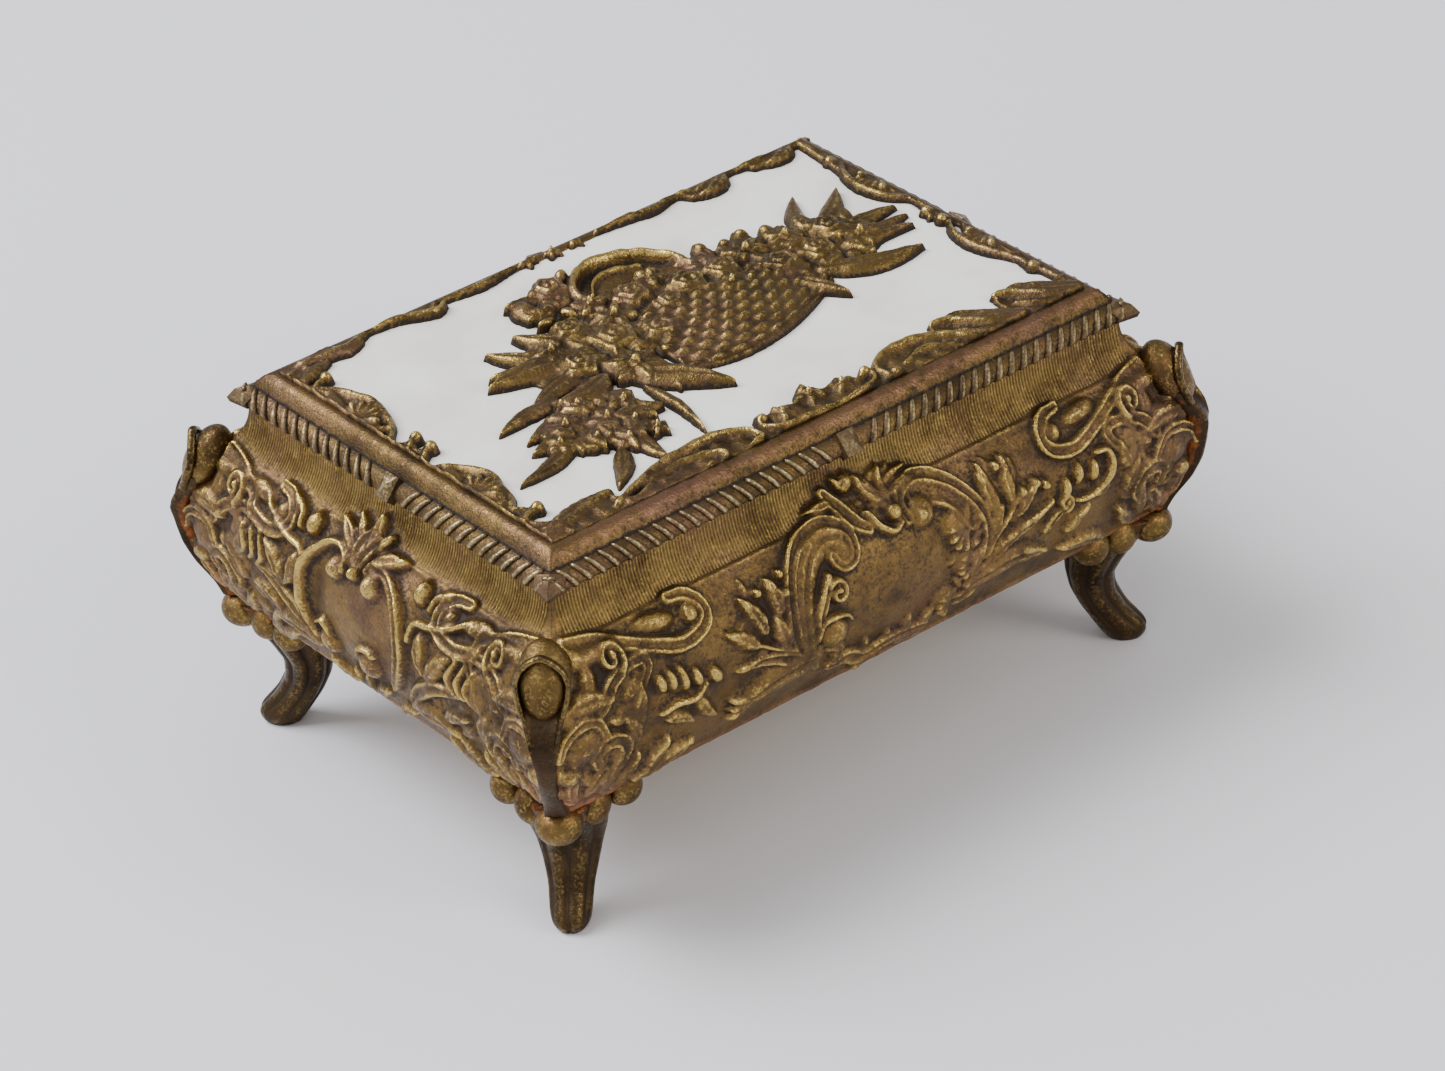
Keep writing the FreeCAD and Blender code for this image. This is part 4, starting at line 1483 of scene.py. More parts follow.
    def spray(self) -> None:
        """Adds the spray of petals and blades that stands above the shield."""
        r = self.relief
        r.gouge(
            [(-5.6, 46.8), (-4.6, 44.8), (-3.3, 42.8), (-1.3, 41.3)], [0.7, 1.1, 1.0, 0.6], [1.5, 1.6, 1.4]
        )
        r.strand(
            [(-0.8, 42.8), (0.0, 41.3), (1.7, 40.1), (3.5, 40.6)], [0.5, 0.6, 0.6, 0.45], [1.5, 1.8, 1.7]
        )
        r.dome((3.0, 41.8), (1.4, 1.2), 1.7)
        r.leaf((-5.2, 45.2), (-9.3, 45.4), 1.1, 1.7, notch=0.0)
        r.dome((-2.0, 46.8), (1.6, 1.7), 1.8, power=0.7)
        r.leaf((-2.2, 45.6), (-3.9, 48.4), 0.9, 1.8, notch=0.0)
        for start, tip, width in (
            ((2.0, 43.0), (-0.4, 47.4), 1.1), ((2.4, 43.2), (1.0, 46.2), 1.0),
            ((3.0, 43.0), (3.8, 47.2), 1.0), ((3.4, 43.4), (8.2, 44.1), 0.8),
            ((3.0, 44.4), (8.1, 45.6), 0.8),
        ):
            r.leaf(start, tip, width, 1.6, bend=0.3, notch=0.0)

    def long_wing(self, side: int) -> None:
        """Adds the long leaves, sprigs and curls beside the middle, on a long side.

        Args:
            side: 1 for the right wing, -1 for the left one.
        """
        if side < 0:
            self.left_wing()
        else:
            self.right_wing()

    def left_wing(self) -> None:
        """Adds the left wing of a long side."""
        r = self.relief
        r.leaf((-12.6, 28.4), (-26.4, 26.2), 2.9, 1.5, bend=-0.6, notch=0.0)
        for step in range(3):
            r.leaf((-23.4, 26.6), (-26.9, 24.6 + 1.6 * step), 0.9, 1.5, notch=0.0)
        r.gouge(
            [(-12.3, 26.6), (-15.8, 29.4), (-20.8, 31.8), (-25.8, 32.0)], [0.6, 1.0, 0.9, 0.3],
            [1.2, 1.6, 1.2],
        )
        r.strand(
            [(-16.3, 31.3), (-19.3, 32.8), (-21.8, 34.3), (-24.8, 35.8)], [0.5, 0.45, 0.35], [1.3, 1.4, 1.2]
        )
        for start, tip, width, notch in (
            ((-22.6, 34.6), (-27.1, 37.8), 1.5, 0.12),
            ((-21.0, 35.8), (-23.8, 41.0), 1.6, 0.12),
            ((-18.3, 37.3), (-19.1, 41.8), 1.7, 0.3),
            ((-17.8, 32.3), (-19.6, 37.4), 1.9, 0.1),
        ):
            r.leaf(start, tip, width, 1.6, bend=-0.3, notch=notch)
        r.berries([(-16.9, 41.4), (-21.0, 40.6), (-17.0, 39.4)], 0.7, 1.6)
        for x, z, tall in ((-38.3, 36.1, 1.6), (-36.6, 35.8, 1.8), (-34.8, 35.3, 2.2), (-32.6, 34.6, 1.6)):
            r.dome((x, z), (0.85, tall), 1.5, turn=12)
        r.strand(
            [(-38.4, 31.6), (-35.8, 32.1), (-33.0, 31.8), (-31.0, 33.0)], [0.45, 0.7, 0.6, 0.4],
            [1.1, 1.4, 1.2],
        )
        r.leaf((-37.3, 30.3), (-32.8, 27.8), 1.2, 1.3, bend=0.5)
        r.leaf((-32.3, 31.3), (-28.8, 26.8), 1.2, 1.3, bend=-0.5)
        r.dome((-29.6, 33.6), (1.1, 1.6), 1.3, turn=30)
        r.leaf((-41.0, 21.6), (-31.8, 24.2), 1.7, 1.4, bend=0.4, notch=0.1)
        r.leaf((-39.4, 22.4), (-36.6, 27.2), 1.3, 1.4, bend=0.4)

    def right_wing(self) -> None:
        """Adds the right wing of a long side."""
        r = self.relief
        r.strand(
            [(14.7, 28.3), (20.2, 31.3), (27.2, 33.3), (28.7, 34.0)], [0.9, 1.4, 1.1, 0.3], [1.3, 1.5, 1.2],
            Section.LEAF, notch=0.06, notch_pitch=1.2,
        )
        r.leaf((13.8, 27.2), (28.4, 26.4), 2.3, 1.6, bend=1.4, notch=0.0)
        for start, tip, width, notch in (
            ((18.7, 36.0), (17.6, 42.8), 1.8, 0.3),
            ((21.4, 36.8), (21.8, 42.4), 1.5, 0.12),
            ((17.7, 33.4), (19.8, 37.3), 1.4, 0.1),
            ((22.0, 34.6), (26.4, 37.8), 1.4, 0.12),
        ):
            r.leaf(start, tip, width, 1.6, bend=0.3, notch=notch)
        r.strand([(16.6, 30.6), (18.4, 33.4), (21.4, 36.0), (23.2, 37.3)], [0.5, 0.5, 0.4], [1.2, 1.4, 1.2])
        r.berries([(25.7, 37.6), (27.2, 36.8), (23.2, 37.4), (20.2, 41.4)], 0.8, 1.6)
        big = [(36.7, 37.6), (38.5, 37.3), (39.0, 35.3), (37.7, 33.3), (35.2, 32.1), (32.7, 32.3)]
        r.strand(big, [0.5, 0.7, 0.8, 0.7, 0.4], [1.4, 1.6, 1.3])
        for x, z in ((30.8, 34.8), (33.0, 36.1), (35.7, 35.6)):
            r.dome((x, z), (0.8, 1.7), 1.5, turn=-15)
        r.scroll([(27.6, 29.4), (29.2, 31.4), (30.6, 31.6)], 1.3, 1, [0.5, 0.7, 0.6], 1.4, 1.3)
        r.leaf((31.6, 27.6), (35.6, 30.6), 1.2, 1.2)
        r.leaf((40.2, 22.0), (31.0, 24.4), 1.6, 1.2, bend=-0.5, notch=0.1)

    def short_middle(self) -> None:
        """Adds the two great scrolls and the palmette between them, on a short side."""
        r = self.relief
        r.dome((-1.5, 33.5), (7.5, 7.5), 0.6, power=0.9)
        # The palmette's stems and leaves; "across" runs towards the front of the box.
        for path, half in (
            ([(-1.4, 45.0), (-2.2, 42.6), (-1.6, 41.0)], 0.9),
            ([(-3.8, 44.6), (-3.0, 42.4), (-2.2, 41.0)], 0.8),
            ([(0.8, 44.4), (-0.6, 42.6), (-1.2, 41.2)], 0.8),
        ):
            r.gouge(path, [half * 0.6, half, half * 0.7], [1.5, 1.7, 1.5])
        for start, tip, width in (
            ((-0.6, 43.4), (-0.5, 47.9), 1.4),
            ((-3.0, 42.6), (-7.7, 45.0), 1.2),
            ((1.5, 42.6), (7.0, 44.1), 1.2),
            ((1.0, 43.6), (2.5, 45.8), 1.0),
            ((-2.6, 43.6), (-4.6, 46.6), 1.0),
        ):
            r.leaf(start, tip, width, 1.7, notch=0.0)
        r.dome((-1.2, 40.4), (0.9, 0.9), 1.9)
        # Left volute with its thin arm, right volute with its broad ribbed arm.
        r.dome((-5.0, 39.9), (1.7, 1.6), 1.7)
        r.crowd((-20.0, 26.0), (6.0, 3.0), 8, (2.0, 3.4), (0.6, 0.9), 41)
        r.crowd((20.0, 26.0), (6.0, 3.0), 8, (2.0, 3.4), (0.6, 0.9), 42)
        r.strand(
            [
                (-3.4, 40.0), (-3.5, 41.3), (-5.0, 42.3), (-7.5, 41.9), (-10.0, 40.1), (-11.5, 37.9),
                (-12.0, 34.4), (-11.2, 31.2), (-9.6, 28.4),
            ],
            [0.45, 0.55, 0.7, 1.0, 1.1, 0.7], [1.6, 1.8, 1.5, 1.3],
        )
        r.dome((2.3, 40.1), (1.7, 1.6), 1.7)
        arm = [
            (0.6, 41.3), (1.5, 42.1), (4.5, 41.9), (7.0, 40.6), (8.8, 38.1), (9.5, 35.1), (9.0, 32.1),
            (7.5, 29.1), (6.5, 27.6),
        ]
        r.strand(arm, [0.6, 0.8, 1.3, 1.4, 1.3, 0.8], [1.6, 1.7, 1.6, 1.3], Section.CREST)
        r.strand([(-0.5, 29.6), (0.5, 31.1), (2.5, 31.4), (3.5, 30.9)], [0.4, 0.5, 0.4], [1.3, 1.6, 1.3])
        r.dome((1.5, 28.6), (2.4, 2.2), 1.4)
        r.strand([(-9.6, 30.4), (-7.4, 31.6), (-6.4, 29.8)], [0.4, 0.6, 0.5], [1.1, 1.4, 1.2])
        r.dome((-7.2, 28.2), (2.2, 1.9), 1.3)
        for start, tip in (
            ((-1.0, 23.4), (-3.4, 25.8)), ((0.6, 23.0), (4.4, 25.4)), ((-4.6, 22.4), (-9.4, 24.6)),
            ((5.2, 22.4), (9.8, 24.6)), ((-0.4, 22.6), (0.2, 26.6)),
        ):
            r.leaf(start, tip, 1.3, 1.2, bend=0.3)

    def short_wing(self, side: int) -> None:
        """Adds the leaves, sprigs and small scrolls beside the middle, on a short side.

        Args:
            side: 1 for the right wing, -1 for the left one.
        """
        r = self.relief

        def at(x: float, z: float) -> Point:
            """Returns a point on the wing's own side."""
            return (side * x, z)

        r.gouge(
            [at(10.6, 27.6), at(13.6, 30.6), at(17.4, 32.8), at(22.0, 33.6)], [0.7, 1.3, 1.1, 0.3],
            [1.2, 1.5, 1.2],
        )
        r.leaf(at(10.4, 26.2), at(20.6, 26.6), 2.1, 1.4, bend=side * 0.9, notch=0.0)
        r.strand(
            [at(11.4, 37.0), at(12.2, 39.4), at(15.0, 40.0), at(18.6, 41.0), at(22.0, 42.8)],
            [0.5, 0.7, 0.6, 0.4], [1.3, 1.6, 1.3],
        )
        r.dome(at(11.6, 42.6), (1.5, 1.4), 1.6)
        r.leaf(at(13.4, 38.2), at(15.2, 33.6), 1.6, 1.5, bend=side * -0.4, notch=0.1)
        r.leaf(at(15.6, 33.6), at(20.2, 38.2), 1.7, 1.5, bend=side * 0.4, notch=0.1)
        for step in range(3):
            x = 20.6 + 1.9 * step
            r.strand(
                [at(x + 0.9, 34.0), at(x - 0.4, 35.6), at(x + 0.6, 38.2)], [0.4, 0.75, 0.4], [1.1, 1.5, 1.1]
            )
        r.strand([at(17.0, 43.8), at(14.6, 43.0), at(14.0, 41.6)], [0.6, 0.7, 0.5], [1.2, 1.4, 1.2])
        r.leaf(at(24.4, 21.8), at(16.4, 24.6), 1.7, 1.3, bend=side * 0.7)
        r.leaf(at(22.0, 22.0), at(20.0, 26.6), 1.3, 1.2, bend=side * -0.4)
        r.leaf(at(18.0, 28.4), at(23.6, 30.6), 1.4, 1.2, bend=side * 0.5)

    def corner(self, side: int) -> None:
        """Adds the scroll that runs in from a corner under the waist line, and its foliage.

        Args:
            side: 1 for the right corner, -1 for the left one.
        """
        r = self.relief
        edge = self.run

        def at(back: float, z: float) -> Point:
            """Returns a point, by its distance back from the corner."""
            return (side * (edge - back), z)

        reach = 20.6 if self.long else 17.6
        r.crowd(at(2.4, 35.0), (5.4, 4.6), 26, (2.0, 4.2), (0.8, 1.25), 31)
        r.crowd(at(2.0, 26.6), (5.0, 3.4), 22, (1.8, 3.6), (0.7, 1.15), 32)
        r.crowd(at(10.0, 34.6), (4.6, 2.6), 12, (1.8, 3.2), (0.6, 0.95), 33)
        arm = [
            at(1.2, 44.0), at(5.2, 43.3), at(9.2, 41.8), at(reach - 7.4, 40.2), at(reach - 4.2, 39.3),
            at(reach - 1.2, 39.8), at(reach + 0.4, 41.0), at(reach + 0.2, 42.6), at(reach - 1.4, 43.7),
            at(reach - 3.8, 44.0),
        ]
        r.gouge(arm, [1.0, 0.85, 0.8, 1.0, 1.0, 0.8, 0.6], [1.1, 1.2, 1.4, 1.6, 1.5])
        r.dome(at(reach - 1.6, 41.9), (1.3, 1.2), 1.3)
        r.dome(at(reach - 6.8, 42.6), (3.2, 1.1), 1.2, turn=side * 6)
        r.strand([at(1.0, 42.6), at(4.0, 42.4), at(7.0, 42.8)], [1.1, 1.1, 0.8], [1.1, 1.2, 1.0])
        # Petals, curls and strands over the crowd.
        r.leaf(at(-2.0, 38.0), at(4.6, 37.0), 1.9, 1.5, bend=side * -0.5, notch=0.0)
        r.scroll([at(2.4, 36.2), at(4.4, 38.6), at(6.4, 39.6)], 1.9, side * -1, [0.8, 1.0, 0.8], 1.5, 1.3)
        r.dome(at(-0.4, 32.3), (3.2, 2.9), 1.15, power=0.7)
        r.gouge(
            [at(-4.8, 32.3), at(-3.8, 34.6), at(-1.2, 35.8), at(1.4, 35.1), at(2.6, 32.8)], [0.6, 0.8, 0.6],
            [1.4, 1.7, 1.4],
        )
        r.gouge(
            [at(1.6, 28.4), at(1.2, 30.2), at(3.0, 31.6), at(5.2, 30.8), at(6.0, 28.6), at(4.8, 26.8)],
            [0.8, 1.1, 1.1, 0.8], [1.2, 1.5, 1.3],
        )
        r.gouge([at(2.6, 26.8), at(1.4, 25.0), at(0.8, 23.2)], [1.0, 0.8, 0.4], [1.2, 1.1, 0.9])
        r.gouge([at(-2.4, 27.0), at(-2.0, 25.0), at(-1.0, 23.0)], [1.0, 0.8, 0.4], [1.2, 1.1, 0.9])
        r.dome(at(-2.6, 28.6), (1.8, 1.4), 1.2)
        for start, tip in (
            ((4.0, 24.0), (4.6, 30.0)), ((5.4, 23.0), (8.6, 27.0)), ((7.8, 29.6), (5.6, 34.0)),
            ((7.4, 33.6), (8.8, 37.6)),
        ):
            r.leaf(at(*start), at(*tip), 1.5, 1.25, bend=side * 0.4)
        r.gouge(
            [at(9.2, 36.6), at(10.6, 39.4), at(8.0, 39.9), at(6.0, 38.6)], [0.6, 0.8, 0.6], [1.0, 1.2, 1.1]
        )


# Legs -------------------------------------------------------------------------------------


@dataclass
class Leg:
    """A corner leg: strap with an egg in a pointed ring, five beads and a flared, fluted foot.

    Each table goes by height. Reaches are along the box's diagonal from the lid's corner.

    Attributes:
        outline: the box's shape.
        sign_x: which end of the box it is at.
        sign_y: which side of the box it is at.
        shift: how far it was soldered outwards of true, along the length and the width.
        keel_heights, keel_reach, keel_half, keel_hollow: the strap's face, its half width, and
            how deep it is hollowed.
        collar: points up one side of the ring: reach, half width and height.
        ring_radii: the ring's thickness, halved, across and along the diagonal.
        foot_heights, foot_inner, foot_outer, foot_half: the foot's two faces and half width.
        flutes: how many turns of the flutes' wave go round the foot.
        egg_radii: the egg's half length, half width and half thickness.
        egg_middle: its middle's reach and height.
        corner_bead: the corner bead's radii.
        side_beads: for the two beads on each side, distance back from the corner and radii.
    """

    outline: Outline
    sign_x: int
    sign_y: int
    shift: Point = (0.0, 0.0)
    keel_heights: tuple[float, ...] = (21.0, 23.0, 26.0, 29.0, 32.0, 34.4, 37.0, 39.0, 40.6)
    keel_reach: tuple[float, ...] = (3.9, 5.2, 7.5, 8.9, 9.5, 9.7, 9.0, 7.9, 7.1)
    keel_half: tuple[float, ...] = (1.6, 1.4, 1.2, 1.2, 1.4, 1.8, 2.4, 2.9, 3.2)
    keel_hollow: tuple[float, ...] = (0.0, -0.5, -0.6, -0.55, -0.45, -0.2, 0.6, 1.5, 2.4)
    collar: tuple[tuple[float, float, float], ...] = (
        (7.3, 2.5, 38.6), (6.5, 3.15, 40.8), (5.8, 3.3, 42.6),
        (5.6, 2.75, 44.2), (5.6, 1.5, 45.5), (5.7, 0.3, 46.2),
    )
    foot_heights: tuple[float, ...] = (0.0, 0.5, 2.0, 5.0, 8.0, 11.0, 14.0, 17.0, 20.0)
    foot_inner: tuple[float, ...] = (-4.6, -5.0, -6.2, -8.2, -9.6, -10.2, -10.3, -10.4, -10.8)
    foot_outer: tuple[float, ...] = (0.4, 1.0, 1.2, -1.5, -3.1, -3.2, -1.6, 0.6, 2.2)
    foot_half: tuple[float, ...] = (2.0, 2.5, 2.8, 3.1, 3.8, 4.5, 5.3, 5.7, 5.7)
    ring_radii: Point = (0.42, 0.6)
    flutes: float = 3.5
    egg_radii: tuple[float, float, float] = (5.2, 3.45, 2.9)
    egg_middle: Point = (4.1, 42.0)
    corner_bead: tuple[float, float, float] = (3.1, 3.1, 2.7)
    side_beads: tuple[tuple[float, tuple[float, float, float]], ...] = (
        (5.6, (2.6, 2.5, 2.85)), (10.7, (2.6, 2.4, 2.6)),
    )

    @property
    def name(self) -> str:
        """The leg's name, by its corner."""
        return f"leg_{'front' if self.sign_y < 0 else 'back'}_{'left' if self.sign_x < 0 else 'right'}"

    def placed(self, reach: np.ndarray, across: np.ndarray, z: np.ndarray) -> np.ndarray:
        """Turns diagonal coordinates into points at this leg's corner.

        Args:
            reach: outwards along the diagonal.
            across: along the corner, level.
            z: heights.

        Returns:
            The points.
        """
        x = self.outline.half_length + self.shift[0] + (reach - across) / ROOT2
        y = self.outline.half_width + self.shift[1] + (reach + across) / ROOT2
        return np.stack([self.sign_x * x, self.sign_y * y, z], -1)

    def keel(self, body: Surface, rows: int = 110, columns: int = 41) -> None:
        """Adds the strap: hollow between two rims at the top, then a round ridge to the beads.

        Args:
            body: the casting that it is added to.
            rows: points up it.
            columns: points across its face.
        """
        z = np.linspace(self.keel_heights[0], self.keel_heights[-1], rows)
        reach, half, hollow = (
            smooth_table(z, self.keel_heights, t)
            for t in (self.keel_reach, self.keel_half, self.keel_hollow)
        )
        q = np.linspace(-1, 1, columns)[None, :]
        rim = np.exp(-(((np.abs(q) - 0.84) / 0.12) ** 2)) * smoothstep(33, 37, z)[:, None]
        dip = hollow[:, None] * (1 - np.abs(q) ** 2.6)
        front = reach[:, None] - dip + 0.3 * rim - 0.9 * np.maximum(np.abs(q) - 0.86, 0) / 0.14
        front += np.minimum(hollow, 0)[:, None]
        across = q * half[:, None]
        zz = np.repeat(z[:, None], columns, 1)
        corner = ROOT2 * self.outline.out(np.clip(z, self.outline.hem, self.outline.rim))
        back = corner[:, None] - np.abs(across) - 0.9
        front = np.maximum(front, back + 0.2)
        loop_reach = np.concatenate([front, back[:, ::-1]], 1)
        loop_across = np.concatenate([across, across[:, ::-1]], 1)
        loop_z = np.concatenate([zz, zz], 1)
        ridge = np.clip(0.1 + 0.45 * rim - 0.5 * np.clip(dip, 0, 3) / 2.6 * (np.abs(q) < 0.8), -1, 1)
        relief = np.concatenate([ridge, np.full_like(back, -0.5)], 1)
        side_glow = 0.55 * smoothstep(0.93, 1.0, np.abs(q)) * smoothstep(39, 33, zz)
        wear = np.concatenate([side_glow, np.full_like(back, 0.7)], 1)
        index = body.add_grid(self.placed(loop_reach, loop_across, loop_z), relief, wear, wrap_columns=True)
        body.add_cap(index[0])
        body.add_cap(index[-1][::-1])

    def ring(self, body: Surface) -> None:
        """Adds the pointed ring above the strap.

        Args:
            body: the casting that it is added to.
        """
        up_one_side = np.array(self.collar)
        down = up_one_side[::-1] * [1, -1, 1]
        knots = np.concatenate([up_one_side, down])
        fine = np.linspace(0, len(knots) - 1, 90)
        path = np.stack([np.interp(fine, np.arange(len(knots)), knots[:, k]) for k in range(3)], 1)
        for _ in range(6):
            path[1:-1] = 0.5 * path[1:-1] + 0.25 * (path[:-2] + path[2:])
        along = np.gradient(path, axis=0)
        along /= np.linalg.norm(along, axis=1, keepdims=True)
        outward = np.cross(along, [1.0, 0.0, 0.0])
        outward /= np.linalg.norm(outward, axis=1, keepdims=True)
        forward = np.cross(outward, along)
        turn = np.linspace(0, TAU, 20, endpoint=False)
        thin, thick = self.ring_radii
        tube = path[:, None] + thin * np.cos(turn)[None, :, None] * outward[:, None]
        tube = tube + thick * np.sin(turn)[None, :, None] * forward[:, None]
        relief = 0.35 + 0.4 * np.abs(np.sin(turn))[None, :] + np.zeros((len(path), 1))
        index = body.add_grid(
            self.placed(tube[..., 0], tube[..., 1], tube[..., 2]), relief, wrap_columns=True
        )
        body.add_cap(index[0][::-1])
        body.add_cap(index[-1])

    def egg(self, material: bpy.types.Material) -> bpy.types.Object:
        """Builds the smooth egg that is held in the ring.

        Args:
            material: its finish.

        Returns:
            The piece.
        """
        body = Surface()
        polar = np.linspace(0.0, math.pi, 34)[1:-1, None]
        turn = np.linspace(0, TAU, 48, endpoint=False)[None, :]
        long, wide, thick = self.egg_radii
        a = long * np.cos(polar) + 0 * turn
        b = wide * np.sin(polar) * np.cos(turn)
        c = thick * np.sin(polar) * np.sin(turn)
        # Its long axis leans outwards by 30 degrees on the way down.
        reach = self.egg_middle[0] + 0.5 * a + 0.87 * c
        z = self.egg_middle[1] - 0.87 * a + 0.5 * c
        index = body.add_grid(self.placed(reach, b, z), 0.25, wrap_columns=True)
        body.add_cap(index[0][::-1])
        body.add_cap(index[-1])
        return body.build(f"{self.name}_egg", material)

    def foot(self, body: Surface, rows: int = 80, columns: int = 144) -> None:
        """Adds the foot: flutes down an oval shaft that flares to a small toe.

        Args:
            body: the casting that it is added to.
            rows: points up it.
            columns: points round it.
        """
        z = np.linspace(0.0, self.foot_heights[-1], rows)
        inner, outer, half = (
            smooth_table(z, self.foot_heights, t)
            for t in (self.foot_inner, self.foot_outer, self.foot_half)
        )
        turn = np.linspace(0, TAU, columns, endpoint=False)[None, :]
        middle, along = (inner + outer)[:, None] / 2, (outer - inner)[:, None] / 2
        round_about = np.where(turn > math.pi, turn - TAU, turn)
        grooves = np.abs(np.sin(round_about * self.flutes)) ** 0.6
        sharp = 1 - 0.16 * (1 - grooves) * smoothstep(0.8, 4.0, z)[:, None]
        toe = 1 - 0.12 * np.exp(
            -(((turn + 0.5) % TAU - 0.5) / 0.12) ** 2
        ) * smoothstep(3.5, 1.0, z)[:, None]
        reach = middle + along * np.cos(turn) * sharp * toe
        across = half[:, None] * np.sin(turn) * sharp
        zz = np.repeat(z[:, None], columns, 1)
        relief = np.clip((grooves - 0.6) * 1.1, -0.6, 0.4) + np.zeros_like(zz)
        wear = 0.35 * smoothstep(14.5, 19, zz)
        index = body.add_grid(self.placed(reach, across, zz), relief, wear, wrap_columns=True)
        body.add_cap(index[0][::-1])
        body.add_cap(index[-1])

    def beads(self, repeater: Repeater, material: bpy.types.Material) -> bpy.types.Object:
        """Builds the row of five beads round the corner, under the panels' hem.

        Args:
            repeater: sets the beads.
            material: their finish.

        Returns:
            The piece.
        """
        mesh = bpy.data.meshes.new("bead_template")
        work = bmesh.new()
        bmesh.ops.create_uvsphere(work, u_segments=40, v_segments=24, radius=MM)
        work.to_mesh(mesh)
        work.free()
        layer = mesh.attributes.new("relief", "FLOAT", "POINT")
        layer.data.foreach_set("value", np.full(len(mesh.vertices), 0.3, np.float32))
        wear = mesh.attributes.new("wear", "FLOAT", "POINT")
        wear.data.foreach_set("value", [0.35 * float(v.co.z > 0.45 * MM) for v in mesh.vertices])
        template = new_object("bead_template", mesh, material)
        length, width = self.outline.half_length + self.shift[0], self.outline.half_width + self.shift[1]
        corner = (self.sign_x * (length + 1.1), self.sign_y * (width + 1.1), 18.3)
        points, turns, sizes = [corner], [(0, 0, 0)], [self.corner_bead]
        for step, (back, size) in enumerate(self.side_beads):
            for x, y, lean in (
                (length + 1.1 - back, width + 0.7, (0, 0.35, 0)),
                (length + 0.7, width + 1.1 - back, (0.35, 0, 0)),
            ):
                points.append((self.sign_x * x, self.sign_y * y, 18.5 + 0.35 * step))
                turns.append((self.sign_y * lean[0], self.sign_x * -lean[1], 0))
                sizes.append(size)
        return repeater.place(
            f"{self.name}_beads", template, np.array(points), np.array(turns), np.array(sizes), material,
            0.03, 11,
        )

    def build(
        self, repeater: Repeater, material: bpy.types.Material, bead_material: bpy.types.Material
    ) -> list[bpy.types.Object]:
        """Builds the leg's casting and its beads.

        Args:
            repeater: sets the beads.
            material: the casting's finish.
            bead_material: the beads' finish.

        Returns:
            The pieces.
        """
        body = Surface()
        self.keel(body)
        self.ring(body)
        self.foot(body)
        casting = join(
            f"{self.name}_casting", [body.build(f"{self.name}_casting", material), self.egg(bead_material)]
        )
        return [casting, self.beads(repeater, bead_material)]


def smooth_table(z: np.ndarray, heights: Sequence[float], values: Sequence[float]) -> np.ndarray:
    """Reads a table at each height, rounding off its corners.

    Args:
        z: the heights to read it at.
        heights: the table's heights, rising.
        values: its values.

    Returns:
        A value for each height.
    """
    fine = np.linspace(heights[0], heights[-1], 400)
    line = np.interp(fine, heights, values)
    for _ in range(220):
        line[1:-1] = 0.5 * line[1:-1] + 0.25 * (line[:-2] + line[2:])
    return np.interp(z, fine, line)


# Lid --------------------------------------------------------------------------------------


